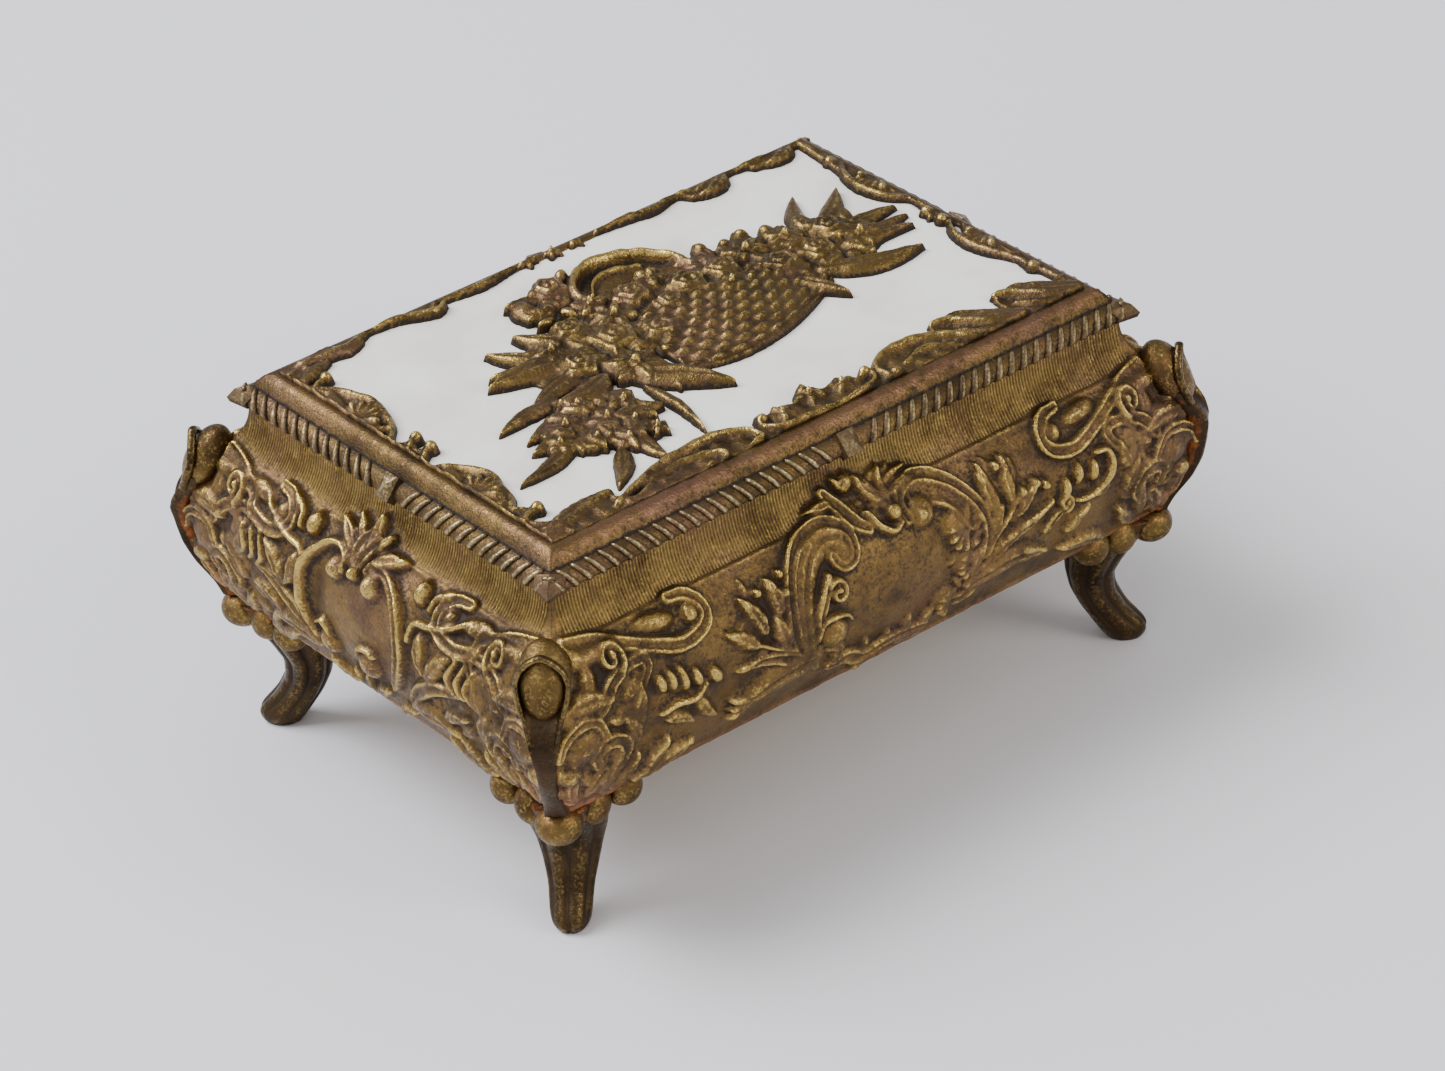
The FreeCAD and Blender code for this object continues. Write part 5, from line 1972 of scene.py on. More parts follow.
@dataclass
class Lid:
    """The hinged lid: moulded frame, rope edge, scrolled border, enamel and flower basket.

    Attributes:
        outline: the box's shape.
        enamel_top: height of the enamel's face.
        enamel_inset: distance from the lid's edge in to the enamel's edge.
        rope_pitch: distance between the teeth of the edge.
        rope_gap: the stretch without teeth, from the middle of each side and from each corner.
        border_inset: distance from the lid's edge in to the border's sheet.
        basket_inset: likewise for the basket's sheet.
        basket_middle: where the basket is drawn from.
        edge_profile: inset from the lid's edge and height, round the frame's section.
    """

    outline: Outline
    enamel_top: float = 54.6
    enamel_inset: float = 5.15
    rope_pitch: float = 2.16
    rope_gap: Point = (1.9, 2.2)
    border_inset: float = 4.9
    basket_inset: float = 5.0
    basket_middle: Point = (-1.65, -2.1)
    edge_profile: tuple[Point, ...] = (
        (2.2, 50.05), (1.6, 50.15), (1.0, 50.5), (0.5, 50.9), (0.45, 51.3), (0.7, 51.8), (1.1, 52.3),
        (1.6, 52.7), (2.0, 52.85), (2.15, 52.95), (2.3, 53.2), (2.6, 53.7), (3.0, 54.25), (3.45, 54.7),
        (4.0, 55.0), (4.5, 55.05), (4.9, 54.95), (5.2, 54.7), (5.4, 54.4), (5.7, 54.15), (6.2, 54.05),
        (7.4, 54.02), (8.2, 54.0), (8.5, 53.9), (8.6, 53.6), (8.6, 52.85), (5.05, 52.85), (5.0, 48.85),
        (4.0, 48.85), (4.0, 50.05),
    )

    def ring(self, inset: float, z: float, step: float) -> np.ndarray:
        """Returns points round the lid at an inset and a height, with its corners.

        Args:
            inset: distance in from the lid's edge.
            z: the height.
            step: distance between points at the edge.

        Returns:
            The points, one row each.
        """
        a, b = self.outline.half_length - inset, self.outline.half_width - inset
        n, m = int(2 * self.outline.half_length / step), int(2 * self.outline.half_width / step)
        s, t = np.linspace(-1, 1, n, endpoint=False), np.linspace(-1, 1, m, endpoint=False)
        front = np.stack([s * a, np.full(n, -b)], 1)
        right = np.stack([np.full(m, a), t * b], 1)
        loop = np.concatenate([front, right, -front, -right])
        return np.column_stack([loop, np.full(len(loop), z)])

    def frame(self, material: bpy.types.Material) -> bpy.types.Object:
        """Builds the moulded frame, with the lip that locates it in the rim.

        Args:
            material: its finish.

        Returns:
            The piece.
        """
        profile = smooth_path(self.edge_profile[:-5], 0.14)
        profile = np.vstack([profile, np.array(self.edge_profile[-5:])])
        inset, z = profile[:, 0], profile[:, 1]
        loops = np.stack([self.ring(i, h, 0.6) for i, h in profile])
        # Painted shade with the stain along the cove under the torus, and a painted highlight with rubbing
        # along the torus top.
        hollow = -0.85 * np.exp(-((inset - 2.18) / 0.13) ** 2) * (z > 52.0)
        torus_top_rubbing_and_highlight = 0.25 * np.exp(-((inset - 3.7) / 0.8) ** 2)
        relief = (hollow + torus_top_rubbing_and_highlight - 0.15)[:, None] + np.zeros(loops.shape[:2])
        x, y = loops[..., 0], loops[..., 1]
        # Copper wear along the torus top, more towards the front; it also paints the torus's rosy highlight.
        torus_wear_and_highlight = np.exp(-((inset - 3.6) / 1.1) ** 2)[:, None] * (z > 53.2)[:, None]
        front = smoothstep(0.0, -20.0, y) * smoothstep(-49, -36, x)
        wear = torus_wear_and_highlight * (0.24 + 0.3 * front)
        body = Surface()
        body.add_grid(loops, relief, wear, wrap_rows=True, wrap_columns=True)
        return body.build("lid_frame", material)

    def rope_edge(self, repeater: Repeater, material: bpy.types.Material) -> bpy.types.Object:
        """Builds the slanted teeth round the frame's edge, which lean away from each middle.

        Args:
            repeater: sets the teeth.
            material: their finish.

        Returns:
            The piece, with the blocks at the middles and the corners.
        """
        a, b = self.outline.half_length, self.outline.half_width
        points, turns, sizes = [], [], []
        for side, (run, reach) in enumerate(((a, b), (b, a), (a, b), (b, a))):
            bare, room = self.rope_gap[0], run - self.rope_gap[0] - self.rope_gap[1]
            count = int(room / self.rope_pitch)
            pitch = room / count
            turn = side * math.pi / 2
            for hand in (-1, 1):
                for k in range(count):
                    along = hand * (bare + pitch * (k + 0.75))
                    x, y = along, -reach
                    points.append(
                        (
                            x * math.cos(turn) - y * math.sin(turn),
                            x * math.sin(turn) + y * math.cos(turn), 0,
                        )
                    )
                    turns.append((0, 0, turn))
                    sizes.append((hand, 1, 1))
        template = self.tooth(material)
        teeth = repeater.place(
            "rope_teeth", template, np.array(points), np.array(turns), np.array(sizes), material
        )
        return join("lid_rope_edge", [teeth, self.blocks(material)])

    def tooth(self, material: bpy.types.Material) -> bpy.types.Object:
        """Builds one tooth on the front edge, leaning to +X as it comes over the top.

        Args:
            material: its finish.

        Returns:
            The tooth, as a template.
        """
        path = np.array(
            [
                (1.2, 50.6), (0.6, 50.75), (0.25, 51.05), (0.2, 51.5), (0.5, 52.0), (1.0, 52.55),
                (1.6, 52.95), (2.05, 52.95),
            ]
        )
        lean = np.array([0.0, 0.0, 0.05, 0.25, 0.6, 1.05, 1.5, 1.75])
        half = np.array([0.4, 0.5, 0.56, 0.58, 0.56, 0.52, 0.46, 0.25])
        rows = []
        inward = np.gradient(path, axis=0)
        inward /= np.linalg.norm(inward, axis=1, keepdims=True)
        for q, lift in ((-1.0, -0.3), (-0.88, 0.02), (-0.4, 0.2), (0.3, 0.24), (0.88, 0.06), (1.0, -0.3)):
            inset = path[:, 0] + inward[:, 1] * -lift
            z = path[:, 1] + inward[:, 0] * lift
            rows.append(np.stack([lean + q * half, inset, z], -1))
        body = Surface()
        # Across each tooth: stain with painted shade down its sides, and rubbing with a painted highlight
        # along its top.
        relief = np.array([-0.8, -0.5, 0.1, 0.8, 0.2, -0.8])[None, :] + np.zeros((len(path), 1))
        index = body.add_grid(np.stack(rows, 1), relief)
        body.add_cap(index[0][::-1])
        body.add_cap(index[-1])
        body.add_cap(np.concatenate([index[:, 0], index[::-1, -1]]))
        return body.build("tooth_template", material)

    def blocks(self, material: bpy.types.Material) -> bpy.types.Object:
        """Builds the faceted block at the middle of each side and the tab at each corner.

        Args:
            material: their finish.

        Returns:
            The piece.
        """
        a, b = self.outline.half_length, self.outline.half_width
        body = Surface()
        for side, reach in enumerate((b, a, b, a)):
            c, s = round(math.cos(side * math.pi / 2)), round(math.sin(side * math.pi / 2))
            ring = [(-1.35, -0.6, 50.95), (1.35, -0.6, 50.95), (1.35, 1.6, 53.6), (-1.35, 1.6, 53.6)]
            low = [(x * 1.15, y + 1.0, z - 0.9) for x, y, z in ring]
            crown = [(0.0, -0.15, 52.75)]
            rows = [(c * x + s * (reach - y), s * x - c * (reach - y), z) for x, y, z in low + ring + crown]
            # Each block is darker at its foot and lighter on its top: stain with painted shade below,
            # rubbing with a painted highlight above.
            start = body.add_points(np.array(rows), relief=np.array([-0.8] * 4 + [0.3] * 4 + [0.5]))
            for k in range(4):
                n = (k + 1) % 4
                body.faces.append((start + k, start + n, start + 4 + n, start + 4 + k))
                body.faces.append((start + 4 + k, start + 4 + n, start + 8))
            body.add_cap(range(start + 3, start - 1, -1))
        for sx in (-1, 1):
            for sy in (-1, 1):
                shape = [(-0.45, -0.45), (2.9, 0.1), (2.9, 2.4), (2.4, 2.9), (0.1, 2.9)]
                rows = []
                for z, grow in ((50.6, 0.3), (51.3, 0.05), (52.6, 0.9)):
                    rows += [(sx * (a - grow - i), sy * (b - grow - j), z) for i, j in shape]
                rows.append((sx * (a - 1.9), sy * (b - 1.9), 53.1))
                # Likewise each corner tab is darker at its foot and lighter on its top, partly painted shade
                # and painted highlight.
                start = body.add_points(
                    np.array(rows), relief=np.array([-0.4] * 5 + [-0.1] * 5 + [0.0] * 5 + [0.25])
                )
                for ring_start in (start, start + 5):
                    for k in range(5):
                        n = (k + 1) % 5
                        body.faces.append(
                            (ring_start + k, ring_start + n, ring_start + 5 + n, ring_start + 5 + k)
                        )
                for k in range(5):
                    body.faces.append((start + 10 + k, start + 10 + (k + 1) % 5, start + 15))
                body.add_cap(range(start + 4, start - 1, -1))
        made = body.build("rope_blocks", material)
        made.data.shade_flat()
        return made

    def sheet(self, step: float, inset: float) -> tuple[np.ndarray, np.ndarray]:
        """Returns the coordinates of a level grid of points inside an inset.

        Args:
            step: distance between points.
            inset: the grid's distance in from the lid's edge.

        Returns:
            Their places along and across the box.
        """
        a, b = self.outline.half_length - inset, self.outline.half_width - inset
        x = np.linspace(-a, a, int(2 * a / step) + 1)
        y = np.linspace(-b, b, int(2 * b / step) + 1)
        return np.meshgrid(x, y)

    def raised(
        self, name: str, relief: Relief, material: bpy.types.Material, wear: np.ndarray
    ) -> bpy.types.Object:
        """Builds the part of a sheet of relief that stands above the enamel, closed below it.

        Args:
            name: the piece's name.
            relief: the sheet.
            material: its finish.
            wear: the bared undercoat at each point.

        Returns:
            The piece.
        """
        high = relief.height
        corners = np.stack([high[:-1, :-1], high[1:, :-1], high[:-1, 1:], high[1:, 1:]])
        keep = corners.max(0) > -0.12
        top = np.stack([relief.across, relief.up, self.enamel_top + np.maximum(high, -0.4)], -1)
        floor = np.stack([relief.across, relief.up, np.full_like(high, self.enamel_top - 0.55)], -1)
        body = Surface()
        upper = body.add_grid(top, relief.ridges(), wear, keep=keep)
        lower = body.add_grid(floor, -1.0, 0.0, keep=keep)
        body.quads.append(open_edges(keep, upper, lower))
        return body.build(name, material)

    def border(self, material: bpy.types.Material) -> tuple[bpy.types.Object, Relief]:
        """Builds the scrolled border round the enamel.

        Args:
            material: its finish.

        Returns:
            The piece and its relief.
        """
        across, up = self.sheet(0.24, self.border_inset)
        relief = Relief(across, up, 0.24, ground=-0.6)
        edges = {Side.FRONT: FRONT_EDGE, Side.LEFT: LEFT_EDGE, Side.RIGHT: RIGHT_EDGE, Side.BACK: BACK_EDGE}
        LidBorder(relief, edges).stamp()
        relief.roughen(1.6, 0.05, 21)
        relief.soften(1)
        front = smoothstep(-10, -26, up) * 0.2
        return self.raised("lid_border", relief, material, front), relief

    def basket(self, material: bpy.types.Material) -> tuple[bpy.types.Object, Relief]:
        """Builds the basket of flowers.

        Args:
            material: its finish.

        Returns:
            The piece and its relief.
        """
        across, up = self.sheet(0.2, self.basket_inset)
        relief = Relief(across - self.basket_middle[0], up - self.basket_middle[1], 0.2, ground=-0.6)
        FlowerBasket(relief).stamp()
        relief.roughen(1.5, 0.05, 22)
        relief.across, relief.up = across, up
        relief.soften(1)
        return self.raised("lid_flower_basket", relief, material, np.zeros_like(up)), relief

    def enamel(self, reliefs: Sequence[Relief], material: bpy.types.Material) -> bpy.types.Object:
        """Builds the enamel sheet, grimy along the metal that stands in it.

        Args:
            reliefs: the metal that stands in it.
            material: its finish.

        Returns:
            The piece.
        """
        across, up = self.sheet(0.4, self.enamel_inset)
        near = np.zeros_like(across)
        for relief in reliefs:
            rows = np.searchsorted(relief.up[:, 0], up[:, 0]).clip(0, relief.up.shape[0] - 1)
            columns = np.searchsorted(relief.across[0], across[0]).clip(0, relief.across.shape[1] - 1)
            metal = (relief.height > 0.0).astype(float)[np.ix_(rows, columns)]
            near = np.maximum(near, blur(metal, 3))
        swell = 0.03 * np.sin(across * 0.21 + 1) * np.sin(up * 0.27) + 0.1 * near
        top = np.stack([across, up, self.enamel_top + swell - 0.03], -1)
        under = np.stack([across, up, np.full_like(up, self.enamel_top - 0.62)], -1)
        everywhere = np.ones((up.shape[0] - 1, up.shape[1] - 1), bool)
        body = Surface()
        upper = body.add_grid(top, 0.0, near)
        lower = body.add_grid(under)
        body.quads.append(open_edges(everywhere, upper, lower))
        return body.build("lid_enamel_field", material)


def open_edges(keep: np.ndarray, upper: np.ndarray, lower: np.ndarray) -> np.ndarray:
    """Returns the quads that close the gap round the kept part of two matching sheets.

    Args:
        keep: which quads of the sheets are there.
        upper: the upper sheet's point numbers.
        lower: the lower sheet's point numbers.

    Returns:
        The side quads, one row each.
    """
    wide = np.pad(keep, 1)
    quads = []
    for rows, columns, first, second in (
        (-1, 0, (0, 0), (0, 1)),
        (1, 0, (1, 1), (1, 0)),
        (0, -1, (1, 0), (0, 0)),
        (0, 1, (0, 1), (1, 1)),
    ):
        beside = wide[1 + rows : 1 + rows + keep.shape[0], 1 + columns : 1 + columns + keep.shape[1]]
        r, c = np.nonzero(keep & ~beside)
        a, b = (r + first[0], c + first[1]), (r + second[0], c + second[1])
        quads.append(np.stack([upper[a], upper[b], lower[b], lower[a]], 1))
    return np.concatenate(quads)


@dataclass
class LidBorder:
    """The border of scrolls, shells and leaves inside the lid's moulding.

    Attributes:
        relief: the sheet that takes it.
        edges: for each side, where the border's scalloped inner edge runs: along, across.
    """

    relief: Relief
    edges: dict[Side, tuple[Point, ...]] = field(default_factory=dict)

    def stamp(self) -> None:
        """Adds all of the border."""
        for side, edge in self.edges.items():
            self.band(side, edge)
        self.front_run()
        self.left_run()
        self.back_run()
        self.right_run()

    def band(self, side: Side, edge: Sequence[Point]) -> None:
        """Adds the solid ground of one side, with a raised rim along its scalloped edge.

        Args:
            side: which side.
            edge: points of its inner edge, in order along it.
        """
        r = self.relief
        long = side in (Side.FRONT, Side.BACK)
        sign = -1 if side in (Side.FRONT, Side.LEFT) else 1
        along, depth = (r.across, r.up) if long else (r.up, r.across)
        points = np.array(sorted(edge))
        line = np.interp(along, points[:, 0], points[:, 1])
        spacing = r.across[0, 1] - r.across[0, 0]
        slope = np.gradient(line, spacing, axis=1 if long else 0)
        inside = sign * (depth - line) / np.sqrt(1 + np.minimum(slope**2, 9.0))
        ground = 0.55 * smoothstep(0.0, 0.5, inside) + 0.55 * np.exp(-(((inside - 0.6) / 0.35) ** 2))
        ripple = 0.16 * np.sin(along * 1.9 + 0.6 * np.sin(depth * 1.3)) * smoothstep(0.8, 1.6, inside)
        rise = np.where(inside > 0, ground + ripple, -1.0)
        r.lift(np.arange(r.height.size), rise.reshape(-1))

    def front_run(self) -> None:
        """Adds the ornaments of the front run."""
        r = self.relief
        r.leaf((-44.8, -27.6), (-31.8, -24.8), 1.9, 1.7, bend=0.6, notch=0.1)
        r.leaf((-43.8, -26.6), (-36.4, -25.6), 1.3, 1.5, bend=-0.6, notch=0.1)
        r.strand(
            [
                (-33.8, -28.0), (-29.8, -26.4), (-25.4, -25.0), (-19.6, -24.2), (-14.4, -24.4),
                (-11.2, -26.4), (-10.6, -28.6), (-11.6, -30.2),
            ],
            [0.5, 0.7, 0.9, 1.0, 0.8, 0.6, 0.6], [1.4, 1.6, 1.8, 1.8],
        )
        r.dome((-11.6, -29.4), (1.2, 1.1), 1.7)
        r.strand(
            [
                (-27.0, -26.6), (-22.0, -26.0), (-18.0, -26.8), (-16.4, -28.4), (-17.6, -29.6),
                (-19.4, -29.2),
            ],
            [0.6, 0.8, 0.7, 0.5], [1.1, 1.4, 1.5],
        )
        r.gouge([(-30.8, -28.6), (-25.6, -28.2), (-20.6, -28.9)], [0.6, 0.9, 0.5], [0.9, 1.1, 0.9])
        rim = [
            (-8.4, -24.7), (-8.7, -26.7), (-7.4, -28.5), (-4.9, -29.0), (1.1, -29.5), (6.1, -29.0),
            (9.1, -28.0), (10.1, -26.2),
        ]
        r.strand(rim, [0.5, 0.7, 0.8, 0.7, 0.5], [1.5, 1.7, 1.5])
        for x, y, radius in ((-4.9, -26.0, 2.1), (0.6, -24.8, 2.3), (5.4, -25.7, 2.1)):
            r.dome((x, y), (radius, radius), 1.0)
            r.petals((x, y), radius, 1.9, 5, turn=40 * x)
        r.leaf((0.7, -24.0), (0.9, -22.3), 0.8, 2.0, notch=0.0)
        r.dome((-7.9, -25.5), (1.1, 1.0), 1.9)
        r.dome((9.3, -25.7), (1.1, 1.0), 1.9)
        rim = [
            (11.1, -28.7), (10.9, -26.2), (12.6, -24.5), (16.1, -23.6), (20.1, -24.2), (23.1, -26.2),
            (26.1, -29.2), (30.1, -30.5), (35.1, -30.5), (41.1, -29.2),
        ]
        r.strand(rim, [0.5, 0.8, 1.0, 0.9, 0.6, 0.6], [1.6, 1.8, 1.8, 1.5, 1.2])
        r.dome((12.4, -28.5), (1.3, 1.2), 1.7)
        r.strand(
            [(15.0, -27.4), (18.6, -26.4), (21.6, -27.6), (24.0, -29.4)], [0.6, 0.9, 0.7, 0.4],
            [1.1, 1.4, 1.1],
        )
        for x, y in ((0.0, 0.0), (10.6, -0.2)):
            for path, width, height in (
                ([(34.5, -29.4), (30.0, -27.2), (26.6, -23.6), (23.8, -22.4)], [0.9, 1.5, 1.3, 0.3], 2.1),
                ([(34.9, -28.2), (31.6, -26.2), (28.2, -23.0), (26.4, -22.3)], [0.7, 1.1, 0.9, 0.3], 1.9),
                ([(33.0, -30.0), (28.6, -28.6), (25.0, -25.6)], [0.7, 1.0, 0.3], 1.5),
            ):
                line = [(px + x, py + y) for px, py in path]
                r.strand(line, width, [height * 0.8, height, height * 0.9], Section.LEAF, notch_pitch=99.0)

    def left_run(self) -> None:
        """Adds the ornaments of the left run: two fans between small curled scrolls."""
        r = self.relief
        for low, high, top in ((5.0, 22.2, -41.3), (-18.6, -4.8, -41.3)):
            middle = (low + high) / 2
            bulge = [(-44.6, high), (-42.6, high - 3.0), (top, middle), (-42.6, low + 3.0), (-44.6, low)]
            r.strand(bulge, [0.5, 0.9, 1.0, 0.9, 0.5], [1.2, 1.7, 1.2])
            r.shell((-45.2, middle - 1.6), 3.9, 1.6, 0, 150, 6, seat=0.3)
            r.leaf((-44.6, middle + 2.0), (-43.0, middle + 6.4), 1.2, 1.4, bend=0.5)
            r.leaf((-44.8, middle - 3.6), (-43.4, middle - 6.8), 1.1, 1.4, bend=-0.5)
        for x, y in ((-42.0, 22.9), (-42.6, 2.4), (-42.6, -0.8), (-41.8, -22.0)):
            r.strand([(-44.8, y - 1.4), (-43.6, y - 0.4), (x, y)], [0.5, 0.7, 0.6], [1.3, 1.6, 1.6])
            r.dome((x, y), (1.15, 1.15), 1.9)
        r.leaf((-44.6, 24.6), (-38.4, 26.6), 1.5, 1.4, bend=0.5, notch=0.1)
        r.strand([(-45.2, 26), (-45.2, -27)], [0.6, 0.6], [1.1, 1.1])

    def right_run(self) -> None:
        """Adds the ornaments of the right run: two fans between small curled scrolls."""
        r = self.relief
        for middle in (-9.6, 12.8):
            bulge = [
                (44.8, middle - 7.0), (42.9, middle - 4.2), (42.1, middle), (42.9, middle + 4.2),
                (44.8, middle + 7.0),
            ]
            r.strand(bulge, [0.5, 0.8, 0.9, 0.8, 0.5], [1.1, 1.5, 1.1])
            r.shell((45.4, middle), 3.4, 1.6, 180, 150, 6, seat=0.3)
        for y in (-20.4, -2.0, 1.2, 21.4):
            r.dome((44.0, y), (1.1, 1.1), 1.6)
        r.strand([(45.3, 26), (45.3, -27)], [0.5, 0.5], [1.0, 1.0])

    def back_run(self) -> None:
        """Adds the ornaments of the back run."""
        r = self.relief
        r.strand([(-42, 28.6), (-36, 27.6), (-31.4, 29.0)], [0.8, 1.2, 0.7], [1.2, 1.5, 1.2])
        r.leaf((-40.0, 29.0), (-35.6, 26.6), 1.5, 1.6, bend=0.8, notch=0.1)
        r.strand(
            [(-31.8, 29.3), (-26.0, 28.9), (-21.0, 26.9), (-18.8, 27.8)], [0.5, 0.7, 0.9, 0.6],
            [1.2, 1.5, 1.6],
        )
        r.strand([(-18.0, 29.0), (-12.0, 28.4), (-6.0, 29.3)], [0.6, 0.8, 0.6], [1.1, 1.4, 1.1])
        for x, y in ((-3.6, 29.4), (0.4, 29.1), (4.6, 29.4)):
            r.petals((x, y), 1.8, 1.5, 5, turn=30 * x)
        r.strand(
            [(8.0, 29.3), (14.0, 28.9), (17.6, 28.3), (22.0, 29.3), (24.4, 28.6)], [0.5, 0.8, 0.8, 0.6],
            [1.2, 1.5, 1.3],
        )
        r.leaf((31.0, 29.2), (24.6, 26.4), 1.6, 1.7, bend=0.8, notch=0.1)
        r.leaf((43.0, 29.4), (37.0, 26.9), 1.6, 1.7, bend=0.8, notch=0.1)
        r.strand([(26.0, 28.6), (32.0, 29.4), (38.0, 28.8), (44.0, 29.2)], [0.6, 0.8, 0.6], [1.1, 1.4, 1.1])


FRONT_EDGE: tuple[Point, ...] = (
    (-46, -25), (-42.9, -25.7), (-40.9, -26.5), (-38.9, -26.3), (-37.4, -25.0), (-35.9, -24.4),
    (-33.9, -24.1), (-32.8, -24.3), (-32.2, -27.0), (-30.9, -27.9), (-28.9, -27.0), (-26.9, -25.7),
    (-24.9, -24.7), (-22.9, -24.0), (-19.9, -23.6), (-16.9, -23.6), (-13.9, -23.9), (-11.9, -24.7),
    (-10.4, -26.0), (-9.4, -26.5), (-8.4, -24.7), (-5.9, -24.3), (-4.9, -23.6), (-2.4, -24.7),
    (-1.4, -24.0), (0.1, -23.2), (0.9, -22.2), (1.7, -23.3), (3.1, -24.5), (5.4, -23.6), (6.9, -24.3),
    (8.1, -25.5), (9.4, -24.7), (10.3, -25.7), (11.1, -25.7), (12.6, -24.5), (14.1, -23.9), (16.1, -23.6),
    (18.1, -23.7), (20.1, -24.2), (22.1, -25.1), (22.7, -23.2), (23.3, -21.9), (25.1, -21.6), (27.1, -22.1),
    (27.9, -23.7), (28.9, -25.4), (30.6, -26.9), (32.6, -27.5), (33.5, -27.0), (33.8, -24.7), (34.1, -22.9),
    (35.3, -22.4), (37.6, -22.9), (39.1, -24.2), (41.1, -25.0), (43.1, -24.7), (46, -24.7),
)
LEFT_EDGE: tuple[Point, ...] = (
    (-30, -41), (-25.7, -41.4), (-24.2, -43.4), (-22.7, -43.9), (-21.2, -41.6), (-19.7, -43.2),
    (-17.7, -41.7), (-15.7, -41.2), (-13.7, -41.0), (-11.7, -41.2), (-9.7, -41.9), (-8.2, -43.4),
    (-6.7, -45.2), (-5.2, -45.7), (-3.7, -45.4), (-2.2, -43.9), (-1.2, -42.4), (0.3, -43.6), (2.1, -42.5),
    (3.8, -45.0), (6.3, -45.7), (8.3, -44.4), (9.8, -42.5), (11.3, -41.6), (13.3, -41.1), (15.3, -41.2),
    (17.3, -41.6), (19.3, -42.9), (21.3, -43.9), (22.6, -42.2), (23.3, -44.2), (25.3, -42.4), (28, -41),
)
RIGHT_EDGE: tuple[Point, ...] = (
    (-30, 44), (-22.1, 43.8), (-20.6, 42.9), (-17.6, 43.5), (-16.1, 43.1), (-14.1, 42.3), (-12.1, 41.8),
    (-10.1, 41.6), (-8.1, 42.1), (-7.1, 42.8), (-6.1, 43.8), (-4.6, 44.8), (-3.1, 45.8), (-1.6, 45.8),
    (-0.6, 42.5), (0.9, 43.3), (2.9, 44.3), (4.9, 44.6), (6.9, 43.8), (8.4, 42.8), (9.9, 42.1),
    (11.9, 41.6), (13.9, 41.5), (15.9, 41.9), (17.9, 42.5), (19.9, 42.9), (22.9, 43.3), (28, 43.9),
)
BACK_EDGE: tuple[Point, ...] = (
    (-46, 26.6), (-42.7, 26.9), (-39.7, 27.5), (-37.7, 26.7), (-35.7, 25.9), (-33.7, 26.5), (-32.2, 27.4),
    (-31.7, 28.5), (-29.7, 29.0), (-26.7, 28.7), (-24.7, 27.7), (-22.7, 26.7), (-20.7, 25.7), (-19.9, 27.4),
    (-19.2, 28.3), (-16.7, 28.2), (-13.7, 27.8), (-11.7, 28.1), (-10.2, 28.9), (-5.7, 29.3), (-0.7, 29.2),
    (1.3, 28.9), (4.3, 29.2), (10.3, 29.3), (13.3, 28.9), (16.3, 28.1), (18.3, 28.5), (20.3, 29.1),
    (22.3, 28.9), (23.8, 26.5), (26.3, 26.3), (28.3, 27.5), (30.3, 28.7), (34.3, 28.9), (35.3, 27.2),
    (37.3, 26.9), (39.3, 27.9), (46, 28.5),
)


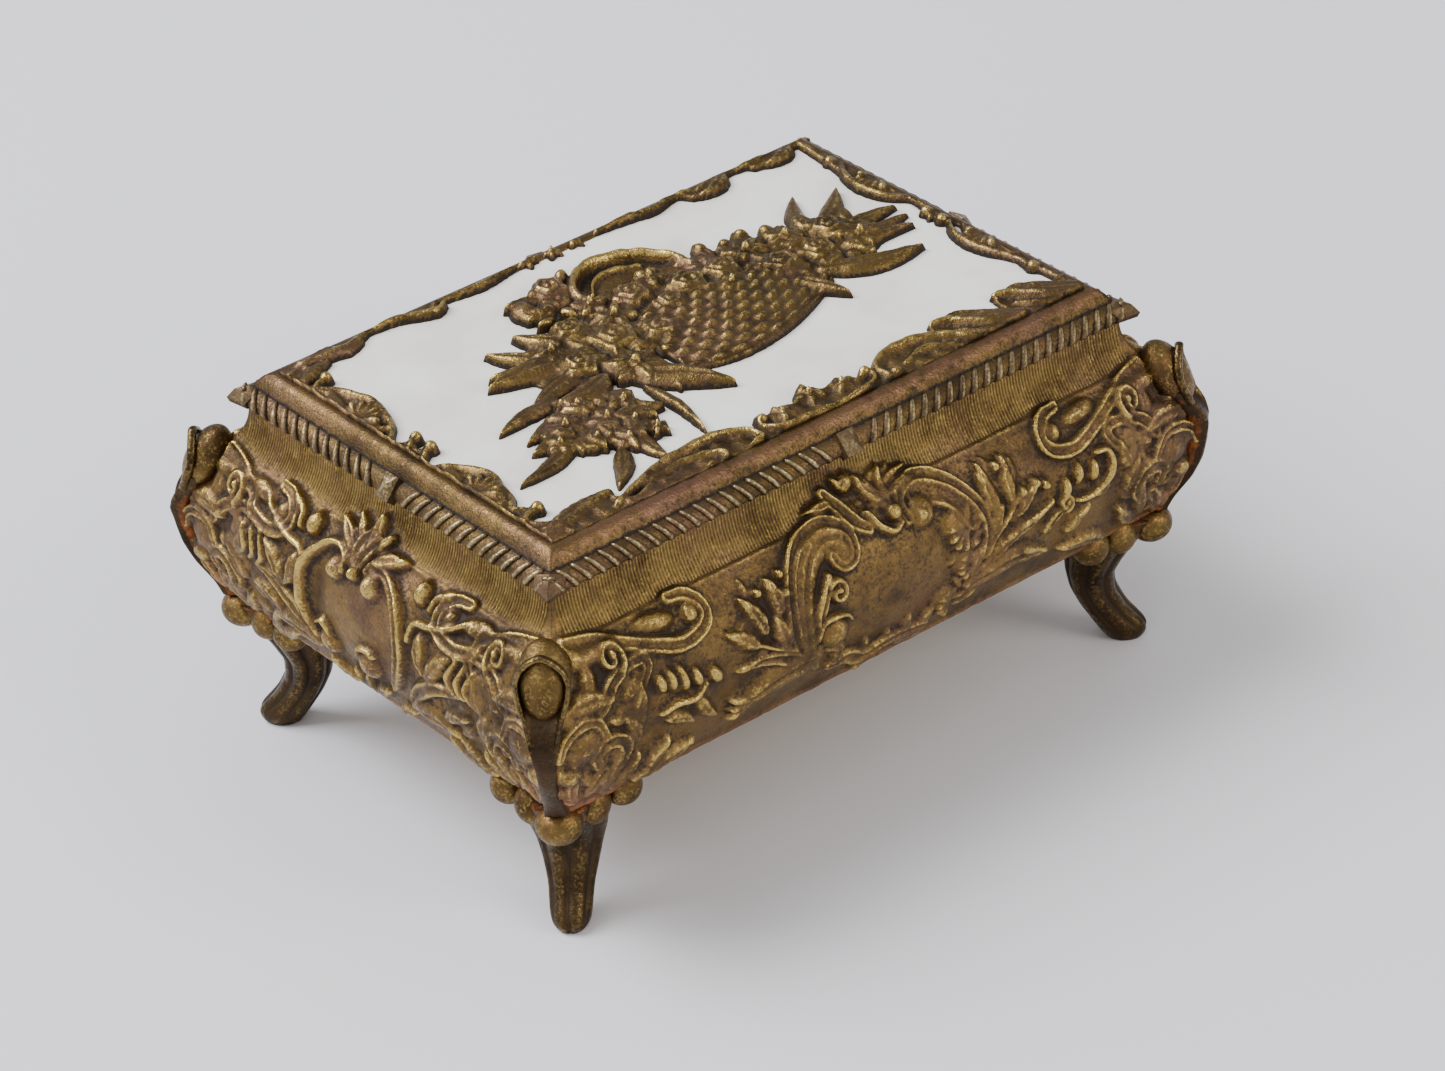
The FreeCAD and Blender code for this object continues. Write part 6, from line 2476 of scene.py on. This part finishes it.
@dataclass
class FlowerBasket:
    """The woven basket of roses, leaves and small blossoms in the middle of the lid.

    Attributes:
        relief: the height field that it is drawn on.
        weave_pitch: distance between the basket's strands.
    """

    relief: Relief
    weave_pitch: float = 1.7

    def stamp(self) -> None:
        """Adds the basket from its ground up."""
        self.ground()
        self.weave()
        self.leaves()
        self.handle()
        self.flowers()

    def ground(self) -> None:
        """Adds the low mass that everything is set in."""
        r = self.relief
        for centre, radii, height in (
            ((-10.0, 6.0), (11.5, 8.5), 1.25),
            ((6.0, 11.0), (13.0, 7.0), 1.4),
            ((22.0, 8.0), (12.0, 7.0), 1.25),
            ((31.0, 6.5), (8.0, 6.5), 1.1),
            ((-21.0, -8.0), (6.6, 6.6), 1.0),
            ((4.5, 20.0), (7.6, 4.6), 0.35),
            ((-6.0, 19.0), (5.0, 4.0), 1.0),
        ):
            r.dome(centre, radii, height, power=0.45)

    def weave(self) -> None:
        """Adds the woven side, whose rows follow the basket's curved bottom."""
        r = self.relief
        x, y = r.across, r.up
        bottom = -8.4 + 0.0215 * (x - 4.5) ** 2 * np.where(x > 4.5, 0.85, 1.0)
        row = (y - bottom) / self.weave_pitch
        inside = (x > -4.5) & (x < 25.0) & (row > 0) & (y < 7.0)
        stake = (x + 0.12 * (y - bottom) * (x - 8) * 0.18) / (self.weave_pitch * 1.05)
        number = np.floor(row)
        across_row = np.abs(np.sin(math.pi * row)) ** 0.6
        over = 0.5 + 0.5 * np.cos(math.pi * (stake + number))
        body = 0.9 + 1.1 * np.clip((y - bottom) / 9.0, 0, 1) - 0.45 * np.clip(
            np.abs(x - 10.0) / 14.5, 0, 1
        ) ** 3
        rise = body - 0.25 + 0.75 * across_row * (0.2 + 0.8 * over)
        edge = smoothstep(0.0, 0.45, row)
        r.lift(np.flatnonzero(inside), (rise * edge)[inside])
        foot = [(-4.4, -6.3), (0.0, -8.0), (5.0, -8.5), (12.0, -7.3), (19.0, -4.6), (24.6, -1.4)]
        r.strand(foot, [0.35, 0.4, 0.4, 0.35], [1.0, 1.2, 1.0])

    def leaves(self) -> None:
        """Adds the leaves that reach out over the enamel."""
        r = self.relief
        for base, tip, width, height, bend in (
            ((-13.0, 5.0), (-27.0, 7.6), 2.7, 2.3, -1.0),
            ((-14.0, 7.6), (-25.6, 9.6), 1.5, 2.2, 0.6),
            ((-16.0, 8.0), (-21.9, 15.2), 1.7, 2.0, 0.6),
            ((-11.0, 9.0), (-16.6, 16.2), 1.9, 2.2, 0.5),
            ((-14.0, 3.0), (-27.0, -1.2), 1.9, 1.7, -0.7),
            ((-22.0, -0.6), (-32.8, -2.2), 1.5, 1.6, -0.6),
            ((-27.0, -10.6), (-38.4, -13.8), 1.5, 1.4, 0.5),
            ((-23.0, -15.4), (-29.6, -23.0), 1.4, 1.3, 0.5),
            ((-19.6, -14.0), (-20.2, -21.8), 1.5, 1.3, -0.4),
            ((-11.4, -6.0), (-12.8, -20.4), 1.0, 1.6, 0.8),
            ((-11.0, -3.0), (-2.2, -13.6), 2.7, 2.3, 0.8),
            ((-26.0, -7.6), (-32.6, -9.0), 1.7, 1.6, 0.4),
            ((-25.0, -4.0), (-31.4, -6.4), 1.3, 1.5, 0.3),
            ((19.5, 2.0), (23.6, -6.8), 1.7, 2.0, 0.4),
            ((25.0, 1.0), (39.4, -3.6), 2.3, 1.9, -1.2),
            ((31.0, 3.0), (42.4, 1.8), 1.5, 1.8, 0.6),
            ((33.0, 7.0), (44.0, 7.4), 1.6, 1.8, 0.5),
            ((33.0, 10.5), (41.4, 17.2), 1.6, 1.8, -0.5),
            ((30.0, 11.0), (35.4, 19.6), 1.5, 1.8, 0.5),
            ((36.0, 4.8), (43.8, 4.8), 1.1, 1.5, -0.3),
            ((-6.0, -4.0), (-8.6, -9.8), 1.5, 1.8, 0.3),
        ):
            r.leaf(base, tip, width * 1.1, height, bend=bend, notch=0.0, tip_lift=0.8)

    def handle(self) -> None:
        """Adds the hooped handle and the rose tied at its foot."""
        r = self.relief
        hoop = [
            (-3.8, 15.2), (-3.4, 19.2), (-0.2, 22.6), (4.2, 23.4), (8.8, 21.4), (12.2, 17.2), (12.8, 14.0)
        ]
        r.strand(hoop, [0.9, 1.0, 1.05, 1.0, 0.9], [2.0, 2.5, 2.6, 2.5, 2.0])
        r.strand(
            [(-1.6, 17.4), (0.8, 20.2), (4.4, 21.0), (8.2, 19.4)], [0.4, 0.5, 0.5, 0.4], [1.2, 1.4, 1.2]
        )
        for x, y, turn in (
            (12.6, 16.0, 80), (16.4, 16.6, 100), (19.4, 15.0, 60), (22.8, 15.6, 110), (26.0, 14.2, 70)
        ):
            r.leaf(
                (x, y - 3.0), (x + 2.0 * math.cos(math.radians(turn)), y + 1.6), 1.6, 1.9, notch=0.0,
                tip_lift=0.9,
            )
            r.dome((x, y), (1.5, 1.2), 2.0, turn=turn)
        r.rose((-5.6, 21.8), 3.4, 2.9, turn=20)
        r.dome((-11.0, 20.4), (2.6, 2.0), 2.1, turn=70)
        r.dome((-9.2, 18.0), (2.6, 1.7), 2.0, turn=20)
        r.leaf((-6.0, 19.6), (-12.6, 17.6), 1.5, 2.0, bend=0.4)
        r.leaf((-7.0, 20.6), (-12.8, 22.6), 1.6, 2.2, bend=-0.4)
        r.dome((-2.0, 23.8), (1.6, 1.2), 2.2, turn=40)

    def flowers(self) -> None:
        """Adds the roses and blossoms, largest first."""
        r = self.relief
        self.loose_petals()
        for x, y, radius, turn, seat in (
            (-7.2, 5.6, 4.0, 10, 0.7), (-14.6, 3.4, 3.2, 60, 0.5), (-10.4, 11.0, 3.2, 120, 0.6),
            (-1.4, 3.0, 3.3, 200, 0.7), (1.2, 12.6, 3.3, 30, 0.8), (8.6, 9.6, 3.4, 80, 0.8),
            (4.0, 7.4, 2.6, 140, 0.8), (14.6, 9.6, 3.2, 300, 0.7), (21.4, 5.4, 3.4, 250, 0.6),
            (27.4, 5.0, 3.2, 20, 0.5), (32.4, 8.4, 3.2, 160, 0.5),
        ):
            r.rose((x, y), radius, 2.2, turn=turn, seat=seat)
        for x, y, radius, petals, turn, seat in (
            (-9.4, -1.6, 3.9, 6, 10, 0.7), (-4.0, 9.6, 2.9, 5, 40, 1.1), (13.0, 5.6, 2.6, 5, 0, 0.9),
            (20.0, 11.2, 3.0, 6, 20, 0.8), (26.4, 10.4, 3.0, 5, 50, 0.7), (34.6, 4.4, 2.8, 6, 15, 0.4),
            (5.8, 14.4, 2.4, 5, 25, 1.0), (-15.6, 8.4, 2.4, 5, 15, 0.8), (-4.2, 14.6, 2.6, 5, 60, 0.8),
            (-25.6, -7.2, 2.4, 6, 0, 0.3), (-20.6, -9.6, 2.5, 6, 25, 0.4), (-24.4, -12.4, 2.2, 6, 10, 0.2),
            (-18.0, -12.2, 2.2, 6, 45, 0.2), (-21.4, -15.2, 2.2, 6, 5, 0.1), (-16.2, -7.6, 2.2, 5, 20, 0.4),
            (-28.8, -10.2, 1.9, 5, 30, 0.2), (-17.0, -15.4, 1.7, 5, 0, 0.1), (-21.6, -4.6, 2.2, 5, 30, 0.5),
        ):
            r.petals((x, y), radius * 1.1, 1.9, petals, turn, seat)
        # Broad curled leaf with a bright back, and loose petals between the flowers.
        r.leaf((-14.6, -1.4), (-23.4, -2.6), 2.3, 1.5, bend=0.8, seat=0.9, notch=0.0)

    def loose_petals(self) -> None:
        """Adds the crowds of petals and small leaves between and round the flowers."""
        for number, (centre, radii, count) in enumerate((
            ((-9.0, 5.0), (8.5, 7.0), 60),
            ((4.0, 10.6), (9.5, 4.2), 44),
            ((17.0, 9.0), (8.0, 5.6), 40),
            ((29.0, 7.0), (8.0, 6.0), 44),
            ((-21.0, -9.0), (6.4, 6.0), 44),
            ((-8.0, 17.0), (4.5, 3.0), 14),
        )):
            self.relief.crowd(centre, radii, count, (2.0, 3.8), (1.3, 1.9), 5 + number, seat=0.9)


# Velvet pads ------------------------------------------------------------------------------


@dataclass
class PaddedPiece:
    """A covered card or pad, modelled in the space that a plain CAD solid holds.

    Attributes:
        node: the CAD solid's name.
        thin_axis: the axis that it is thin along.
        face: 1 or -1, the way that its soft face looks along that axis.
        crown: how far its soft face swells, as a share of the swell.
        swell: the most that the face rises by, in millimetres.
        rounding: how far its edges are rounded, as a share of its thickness.
    """

    node: str
    thin_axis: int
    face: int
    crown: float = 0.8
    swell: float = 0.12
    rounding: float = 0.55

    def build(self, material: bpy.types.Material, simulate: bool) -> bpy.types.Object:
        """Builds the pad: a pillow edge, and a face that swells or lies in low lumps.

        Args:
            material: its velvet.
            simulate: whether the face swells as a simulated cloth does, or has seeded lumps.

        Returns:
            The piece.
        """
        low, high = (np.array(c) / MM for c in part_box(self.node))
        size = high - low
        wide, tall = [a for a in range(3) if a != self.thin_axis]
        thick = size[self.thin_axis]
        n, m = max(8, int(size[wide] / 0.9)), max(8, int(size[tall] / 0.9))
        s, t = np.meshgrid(np.linspace(-1, 1, n), np.linspace(-1, 1, m))
        pillow = ((1 - np.abs(s) ** 14) * (1 - np.abs(t) ** 10)).clip(0, 1) ** 0.45
        rng = np.random.default_rng(3)
        lumps = blur(rng.normal(0, 1, s.shape), 40)
        lumps = lumps / np.abs(lumps).max()
        edge = self.rounding * thick
        soft = np.zeros(s.shape + (3,))
        soft[..., wide] = (low[wide] + high[wide]) / 2 + s * (size[wide] / 2 - 0.05)
        soft[..., tall] = (low[tall] + high[tall]) / 2 + t * (size[tall] / 2 - 0.05)
        front = high[self.thin_axis] if self.face > 0 else low[self.thin_axis]
        back = low[self.thin_axis] if self.face > 0 else high[self.thin_axis]
        rise = self.swelling(n, m) if simulate else 0.12 * lumps
        soft[..., self.thin_axis] = front - self.face * (
            edge * (1 - pillow) + self.swell * self.crown * (1 - rise)
        )
        flat = soft.copy()
        flat[..., self.thin_axis] = back
        body = Surface()
        upper = body.add_grid(soft)
        lower = body.add_grid(flat)
        body.quads.append(open_edges(np.ones((m - 1, n - 1), bool), upper, lower))
        return body.build(f"{self.node}_pad", material)

    @staticmethod
    def swelling(n: int, m: int) -> np.ndarray:
        """Inflates a small sheet held at its edge, and returns its rise from 0 to 1.

        Args:
            n: points along it.
            m: points across it.

        Returns:
            The rise by row and column.
        """
        grid_x, grid_y = np.meshgrid(np.linspace(-1, 1, n), np.linspace(-m / n, m / n, m))
        sheet = Surface()
        rng = np.random.default_rng(9)
        rough = 0.01 * blur(rng.normal(0, 1, grid_x.shape), 2)
        index = sheet.add_grid(np.stack([grid_x, grid_y, rough], -1) / MM)
        work = sheet.build("swelling_sheet", bpy.data.materials[0])
        held = work.vertex_groups.new(name="held")
        rim = np.unique(np.concatenate([index[0], index[-1], index[:, 0], index[:, -1]]))
        held.add([int(i) for i in rim], 1.0, "REPLACE")
        cloth = work.modifiers.new("Cloth", "CLOTH")
        cloth.settings.vertex_group_mass = "held"
        cloth.settings.use_pressure = True
        cloth.settings.uniform_pressure_force = 4.0
        cloth.settings.tension_stiffness = 12.0
        cloth.settings.bending_stiffness = 2.0
        cloth.settings.effector_weights.gravity = 0.0
        scene = bpy.context.scene
        cloth.point_cache.frame_start, cloth.point_cache.frame_end = 1, 14
        for number in range(1, 15):
            scene.frame_set(number)
        graph = bpy.context.evaluated_depsgraph_get()
        puffed = work.evaluated_get(graph).to_mesh()
        heights = np.array([v.co.z for v in puffed.vertices])[: n * m].reshape(m, n)
        bpy.data.objects.remove(work)
        scene.frame_set(1)
        heights = np.abs(heights)
        return heights / max(heights.max(), 1e-6)


# Stage ------------------------------------------------------------------------------------


@dataclass(frozen=True)
class Studio:
    """Camera, floor and soft light.

    Attributes:
        azimuth: the camera's way round the box, in degrees from straight in front.
        elevation: its height angle, in degrees.
        roll: its roll, in degrees.
        distance: its distance from the box, in millimetres.
        offset: the box's origin in the camera's own across and up, in millimetres.
        lens: focal length, for a 36 mm sensor.
        ambient: strength of the light from all round.
        lamps: name, place in metres, power in watts, size in metres and colour of each.
    """

    azimuth: float = -37.876
    elevation: float = 32.299
    roll: float = -3.498
    distance: float = 713.43
    offset: Point = (-2.266, -19.225)
    lens: float = 128.69
    ambient: float = 0.8
    lamps: tuple[tuple[str, tuple[float, float, float], float, float, str], ...] = (
        ("window", (-0.6, 0.6, 1.05), 28.0, 0.9, "F4F7FF"),
        ("fill_left", (-1.1, -0.5, 0.6), 2.1, 0.6, "FFFDF8"),
        ("fill_front", (0.5, -1.2, 0.8), 8.5, 0.7, "FFFAF2"),
    )

    def camera(self) -> bpy.types.Object:
        """Builds the camera.

        Returns:
            The camera, which the scene now looks through.
        """
        a, e, r = (math.radians(v) for v in (self.azimuth, self.elevation, self.roll))
        back = Vector((math.sin(a) * math.cos(e), -math.cos(a) * math.cos(e), math.sin(e)))
        right = Vector((0, 0, 1)).cross(back).normalized()
        up = back.cross(right)
        x = right * math.cos(r) + up * math.sin(r)
        y = up * math.cos(r) - right * math.sin(r)
        place = (back * self.distance - x * self.offset[0] - y * self.offset[1]) * MM
        data = bpy.data.cameras.new("camera")
        data.sensor_width, data.lens = 36.0, self.lens
        data.clip_start, data.clip_end = 0.01, 20.0
        made = bpy.data.objects.new("camera", data)
        made.matrix_world = Matrix((
            (x.x, y.x, back.x, place.x),
            (x.y, y.y, back.y, place.y),
            (x.z, y.z, back.z, place.z), (0, 0, 0, 1),
        ))
        bpy.context.scene.collection.objects.link(made)
        bpy.context.scene.camera = made
        return made

    def floor(self) -> None:
        """Builds the pale paper floor."""
        mesh = bpy.data.meshes.new("floor")
        reach = 3.0
        mesh.from_pydata(
            [(-reach, -reach, 0), (reach, -reach, 0), (reach, reach, 0), (-reach, reach, 0)], [],
            [(0, 1, 2, 3)],
        )
        made = bpy.data.materials.new("paper_floor")
        made.use_nodes = True
        shader = made.node_tree.nodes["Principled BSDF"]
        shader.inputs["Base Color"].default_value = linear_rgb("E4E2E4")
        shader.inputs["Roughness"].default_value = 0.75
        new_object("floor", mesh, made)

    def lights(self) -> None:
        """Builds the soft lights: a wide window to the left and behind, and weak fills."""
        world = bpy.data.worlds.new("studio")
        bpy.context.scene.world = world
        world.use_nodes = True
        ambient = world.node_tree.nodes["Background"]
        ambient.inputs["Color"].default_value = linear_rgb("E6E8EC")
        ambient.inputs["Strength"].default_value = self.ambient
        for name, place, power, size, colour in self.lamps:
            data = bpy.data.lights.new(name, "AREA")
            data.energy, data.size, data.color = power, size, linear_rgb(colour)[:3]
            lamp = bpy.data.objects.new(name, data)
            lamp.location = place
            lamp.rotation_euler = (Vector((0, 0, 0.03)) - Vector(place)).to_track_quat("-Z", "Y").to_euler()
            bpy.context.scene.collection.objects.link(lamp)


# Hinges -----------------------------------------------------------------------------------


@dataclass(frozen=True)
class HingeKnuckles:
    """The knuckles of the two hinges, cast on the back panel or on the lid.

    Attributes:
        on_lid: whether they are the lid's.
        axis: the pins' place across the box and their height.
        middles: each hinge's middle, along the box.
        radius: a knuckle's radius.
        sides: points round a knuckle.
        webs: how far the web runs in to the panel, and to the lid.
        bores: radius of the pin's hole in the panel's knuckles, and in the lid's.
    """

    on_lid: bool
    axis: Point = (35.4, 49.2)
    middles: Point = (-28.0, 28.0)
    radius: float = 1.2
    sides: int = 48
    webs: Point = (2.2, 1.5)
    bores: Point = (0.55, 0.58)

    def spans(self) -> list[Point]:
        """Returns where a hinge's knuckles start and end, from its middle."""
        return [(-2.0, 2.0)] if self.on_lid else [(-4.8, -2.2), (2.2, 4.8)]

    def section(self) -> np.ndarray:
        """Draws the outline of a knuckle with the web that runs in to its casting.

        Returns:
            Its points across the box and in height, from the pin's middle.
        """
        rows = []
        for angle in np.linspace(0, TAU, self.sides, endpoint=False):
            y, z = self.radius * math.cos(angle), self.radius * math.sin(angle)
            inward = float(smoothstep(0.0, 1.1, np.array(-y)))
            if self.on_lid and y < 0 and z > 0.3:
                y, z = y - self.webs[1] * inward, max(z, 1.0)
            if not self.on_lid and y < 0 and z < 0.0:
                y = y - self.webs[0] * inward
            rows.append((y, z))
        return np.array(rows)

    def build(self, name: str, material: bpy.types.Material) -> list[bpy.types.Object]:
        """Builds the knuckles.

        Args:
            name: name for the pieces.
            material: their finish.

        Returns:
            The pieces.
        """
        turn = np.linspace(0, TAU, self.sides, endpoint=False)
        ring = self.section()
        bore = np.stack([np.cos(turn), np.sin(turn)], 1) * self.bores[self.on_lid]
        made = []
        for middle in self.middles:
            for start, end in self.spans():
                low, high = middle + start, middle + end
                rounds = [(ring * 0.93, low), (ring, low + 0.15), (ring, high - 0.15)]
                rounds += [(ring * 0.93, high), (bore, high), (bore, low)]
                loops = [
                    np.column_stack(
                        [np.full(self.sides, x), self.axis[0] + r[:, 0], self.axis[1] + r[:, 1]]
                    )
                    for r, x in rounds
                ]
                body = Surface()
                body.add_grid(np.stack(loops), 0.05, 0.0, wrap_rows=True, wrap_columns=True)
                made.append(body.build(name, material))
        return made


# The whole box ----------------------------------------------------------------------------


@dataclass
class TrinketBox:
    """Dresses every piece of the box.

    Attributes:
        frame: the CAD model's frame.
        outline: the box's driving sizes.
    """

    frame: dict
    outline: Outline = field(default_factory=Outline)

    def settle(
        self, piece: bpy.types.Object, body: str, nodes: Sequence[str] = ()
    ) -> bpy.types.Object:
        """Rides a finished piece on its body and the CAD nodes it stands for.

        Args:
            piece: the finished piece.
            body: the CAD body that it moves with.
            nodes: the CAD nodes that it replaces.

        Returns:
            The piece.
        """
        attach(piece, body)
        if nodes:
            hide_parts(*nodes)
        LOG.info("%s: %d faces", piece.name, len(piece.data.polygons))
        return piece

    def build(self) -> None:
        """Builds and dresses the box from its sides to its velvet."""
        repeater = Repeater(repeat_tree("set_on_points"))
        gilt = CastGilt("gilt_spelter_sides").material()
        # The rope edge is greyer, where its zinc shows.
        rope = CastGilt(
            "gilt_spelter_rope", body="715F42", tarnish="4E3E2C", ridge="AE9D74", roughness=0.42
        ).material()
        # The lid is stained darker than the sides, and handling keeps it smoother.
        lid_gilt = CastGilt(
            "gilt_spelter_lid", "261C12", "6B5530", "4A3924", ridge="B89C58", worn="8A6552", roughness=0.29
        ).material()
        # The legs are the darkest, almost brown.
        leg_gilt = CastGilt(
            "gilt_spelter_legs",
            body="453623",
            tarnish="2D2218",
            rosy="443226",
            ridge="7C683F",
            worn="96552B",
            grain=0.5,
        ).material()
        # The beads and the eggs stay brighter, because a cloth reaches them.
        bead_gilt = CastGilt(
            "gilt_spelter_beads",
            body="6F5933",
            tarnish="463520",
            rosy="634830",
            ridge="A89054",
            worn="8A5A34",
            roughness=0.4,
            grain=0.6,
        ).material()
        # The fine ribs of the neck catch the most light.
        rib_gilt = CastGilt("gilt_spelter_ribs", body="8F7847", tarnish="6B5531").material()
        self.sides(repeater, gilt, rib_gilt)
        self.legs(repeater, leg_gilt, bead_gilt)
        self.lid(repeater, lid_gilt, rope)
        self.velvet()
        self.plain_nodes()

    def sides(self, repeater: Repeater, gilt: bpy.types.Material, ribs: bpy.types.Material) -> None:
        """Builds the four side panels and their ribbed necks.

        Args:
            repeater: sets the ribs.
            gilt: the castings' finish.
            ribs: the ribs' finish.
        """
        for side in Side:
            panel = SidePanel(side, self.outline)
            name = f"{side.name.lower()}_panel"
            casting = panel.build(gilt)
            if side is Side.BACK:
                casting = join(
                    casting.name, [casting] + HingeKnuckles(False).build("back_panel_lugs", gilt)
                )
            self.settle(casting, "box", [name])
            self.settle(panel.neck_ribs(repeater, ribs), "box")

    def legs(self, repeater: Repeater, casting: bpy.types.Material, beads: bpy.types.Material) -> None:
        """Builds the four legs with their beads.

        Args:
            repeater: sets the beads.
            casting: the legs' finish.
            beads: the beads' finish.
        """
        for sign_x in (-1, 1):
            for sign_y in (-1, 1):
                leg = Leg(
                    self.outline, sign_x, sign_y, (0.5, -0.4) if sign_x < 0 and sign_y < 0 else (0.0, 0.0)
                )
                body, row = leg.build(repeater, casting, beads)
                self.settle(body, "box", [leg.name])
                self.settle(row, "box")

    def lid(self, repeater: Repeater, gilt: bpy.types.Material, rope: bpy.types.Material) -> None:
        """Builds the lid's metal and enamel.

        Args:
            repeater: sets the teeth.
            gilt: finish of the frame, the border and the basket.
            rope: the teeth's finish.
        """
        lid = Lid(self.outline)
        frame = lid.frame(gilt)
        frame = join(frame.name, [frame] + HingeKnuckles(True).build("lid_lugs", gilt))
        self.settle(frame, "lid", ["lid_casting"])
        self.settle(lid.rope_edge(repeater, rope), "lid")
        border, border_relief = lid.border(gilt)
        basket, basket_relief = lid.basket(gilt)
        self.settle(border, "lid")
        self.settle(basket, "lid")
        enamel = lid.enamel([border_relief, basket_relief], ColdEnamel().material())
        self.settle(enamel, "lid", ["lid_enamel"])

    def velvet(self) -> None:
        """Builds the velvet linings and pads."""
        velvet = Velvet().material()
        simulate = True
        for node, axis, face, body in (
            ("floor_velvet", 2, 1, "box"),
            ("lining_front", 1, 1, "box"),
            ("lining_back", 1, -1, "box"),
            ("lining_left", 0, 1, "box"),
            ("lining_right", 0, -1, "box"),
            ("lid_velvet", 2, -1, "lid"),
        ):
            pad = PaddedPiece(node, axis, face)
            broad = node in ("floor_velvet", "lid_velvet")
            piece = pad.build(velvet, simulate and broad)
            self.settle(piece, body, [node])

    def plain_nodes(self) -> None:
        """Gives the CAD nodes that stay in view their finishes."""
        sheet = PlainFinish("gilt_sheet", "A88C52", "7A6136", 1.0, 0.4, 14.0, 0.4).material()
        steel = PlainFinish("drawn_steel", "A8A196", "7D756A", 1.0, 0.3, 2.0, 0.2).material()
        board = PlainFinish("grey_board", "A3937A", "8B7C66", 0.0, 0.85, 5.0, 0.3).material()
        for nodes, material in (
            (("base_plate",), sheet),
            (("base_screws", "hinge_pin_left", "hinge_pin_right"), steel),
            (("floor_card", "lid_card"), board),
        ):
            for node in nodes:
                piece = self.frame["nodes"][node]
                piece.data.materials.clear()
                piece.data.materials.append(material)


def main() -> None:
    """Builds the scene: stage first, then the box."""
    logging.basicConfig(level=logging.INFO, format="%(name)s: %(message)s")
    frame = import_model()
    studio = Studio()
    studio.camera()
    studio.floor()
    studio.lights()
    TrinketBox(frame).build()


if __name__ == "__main__":
    main()
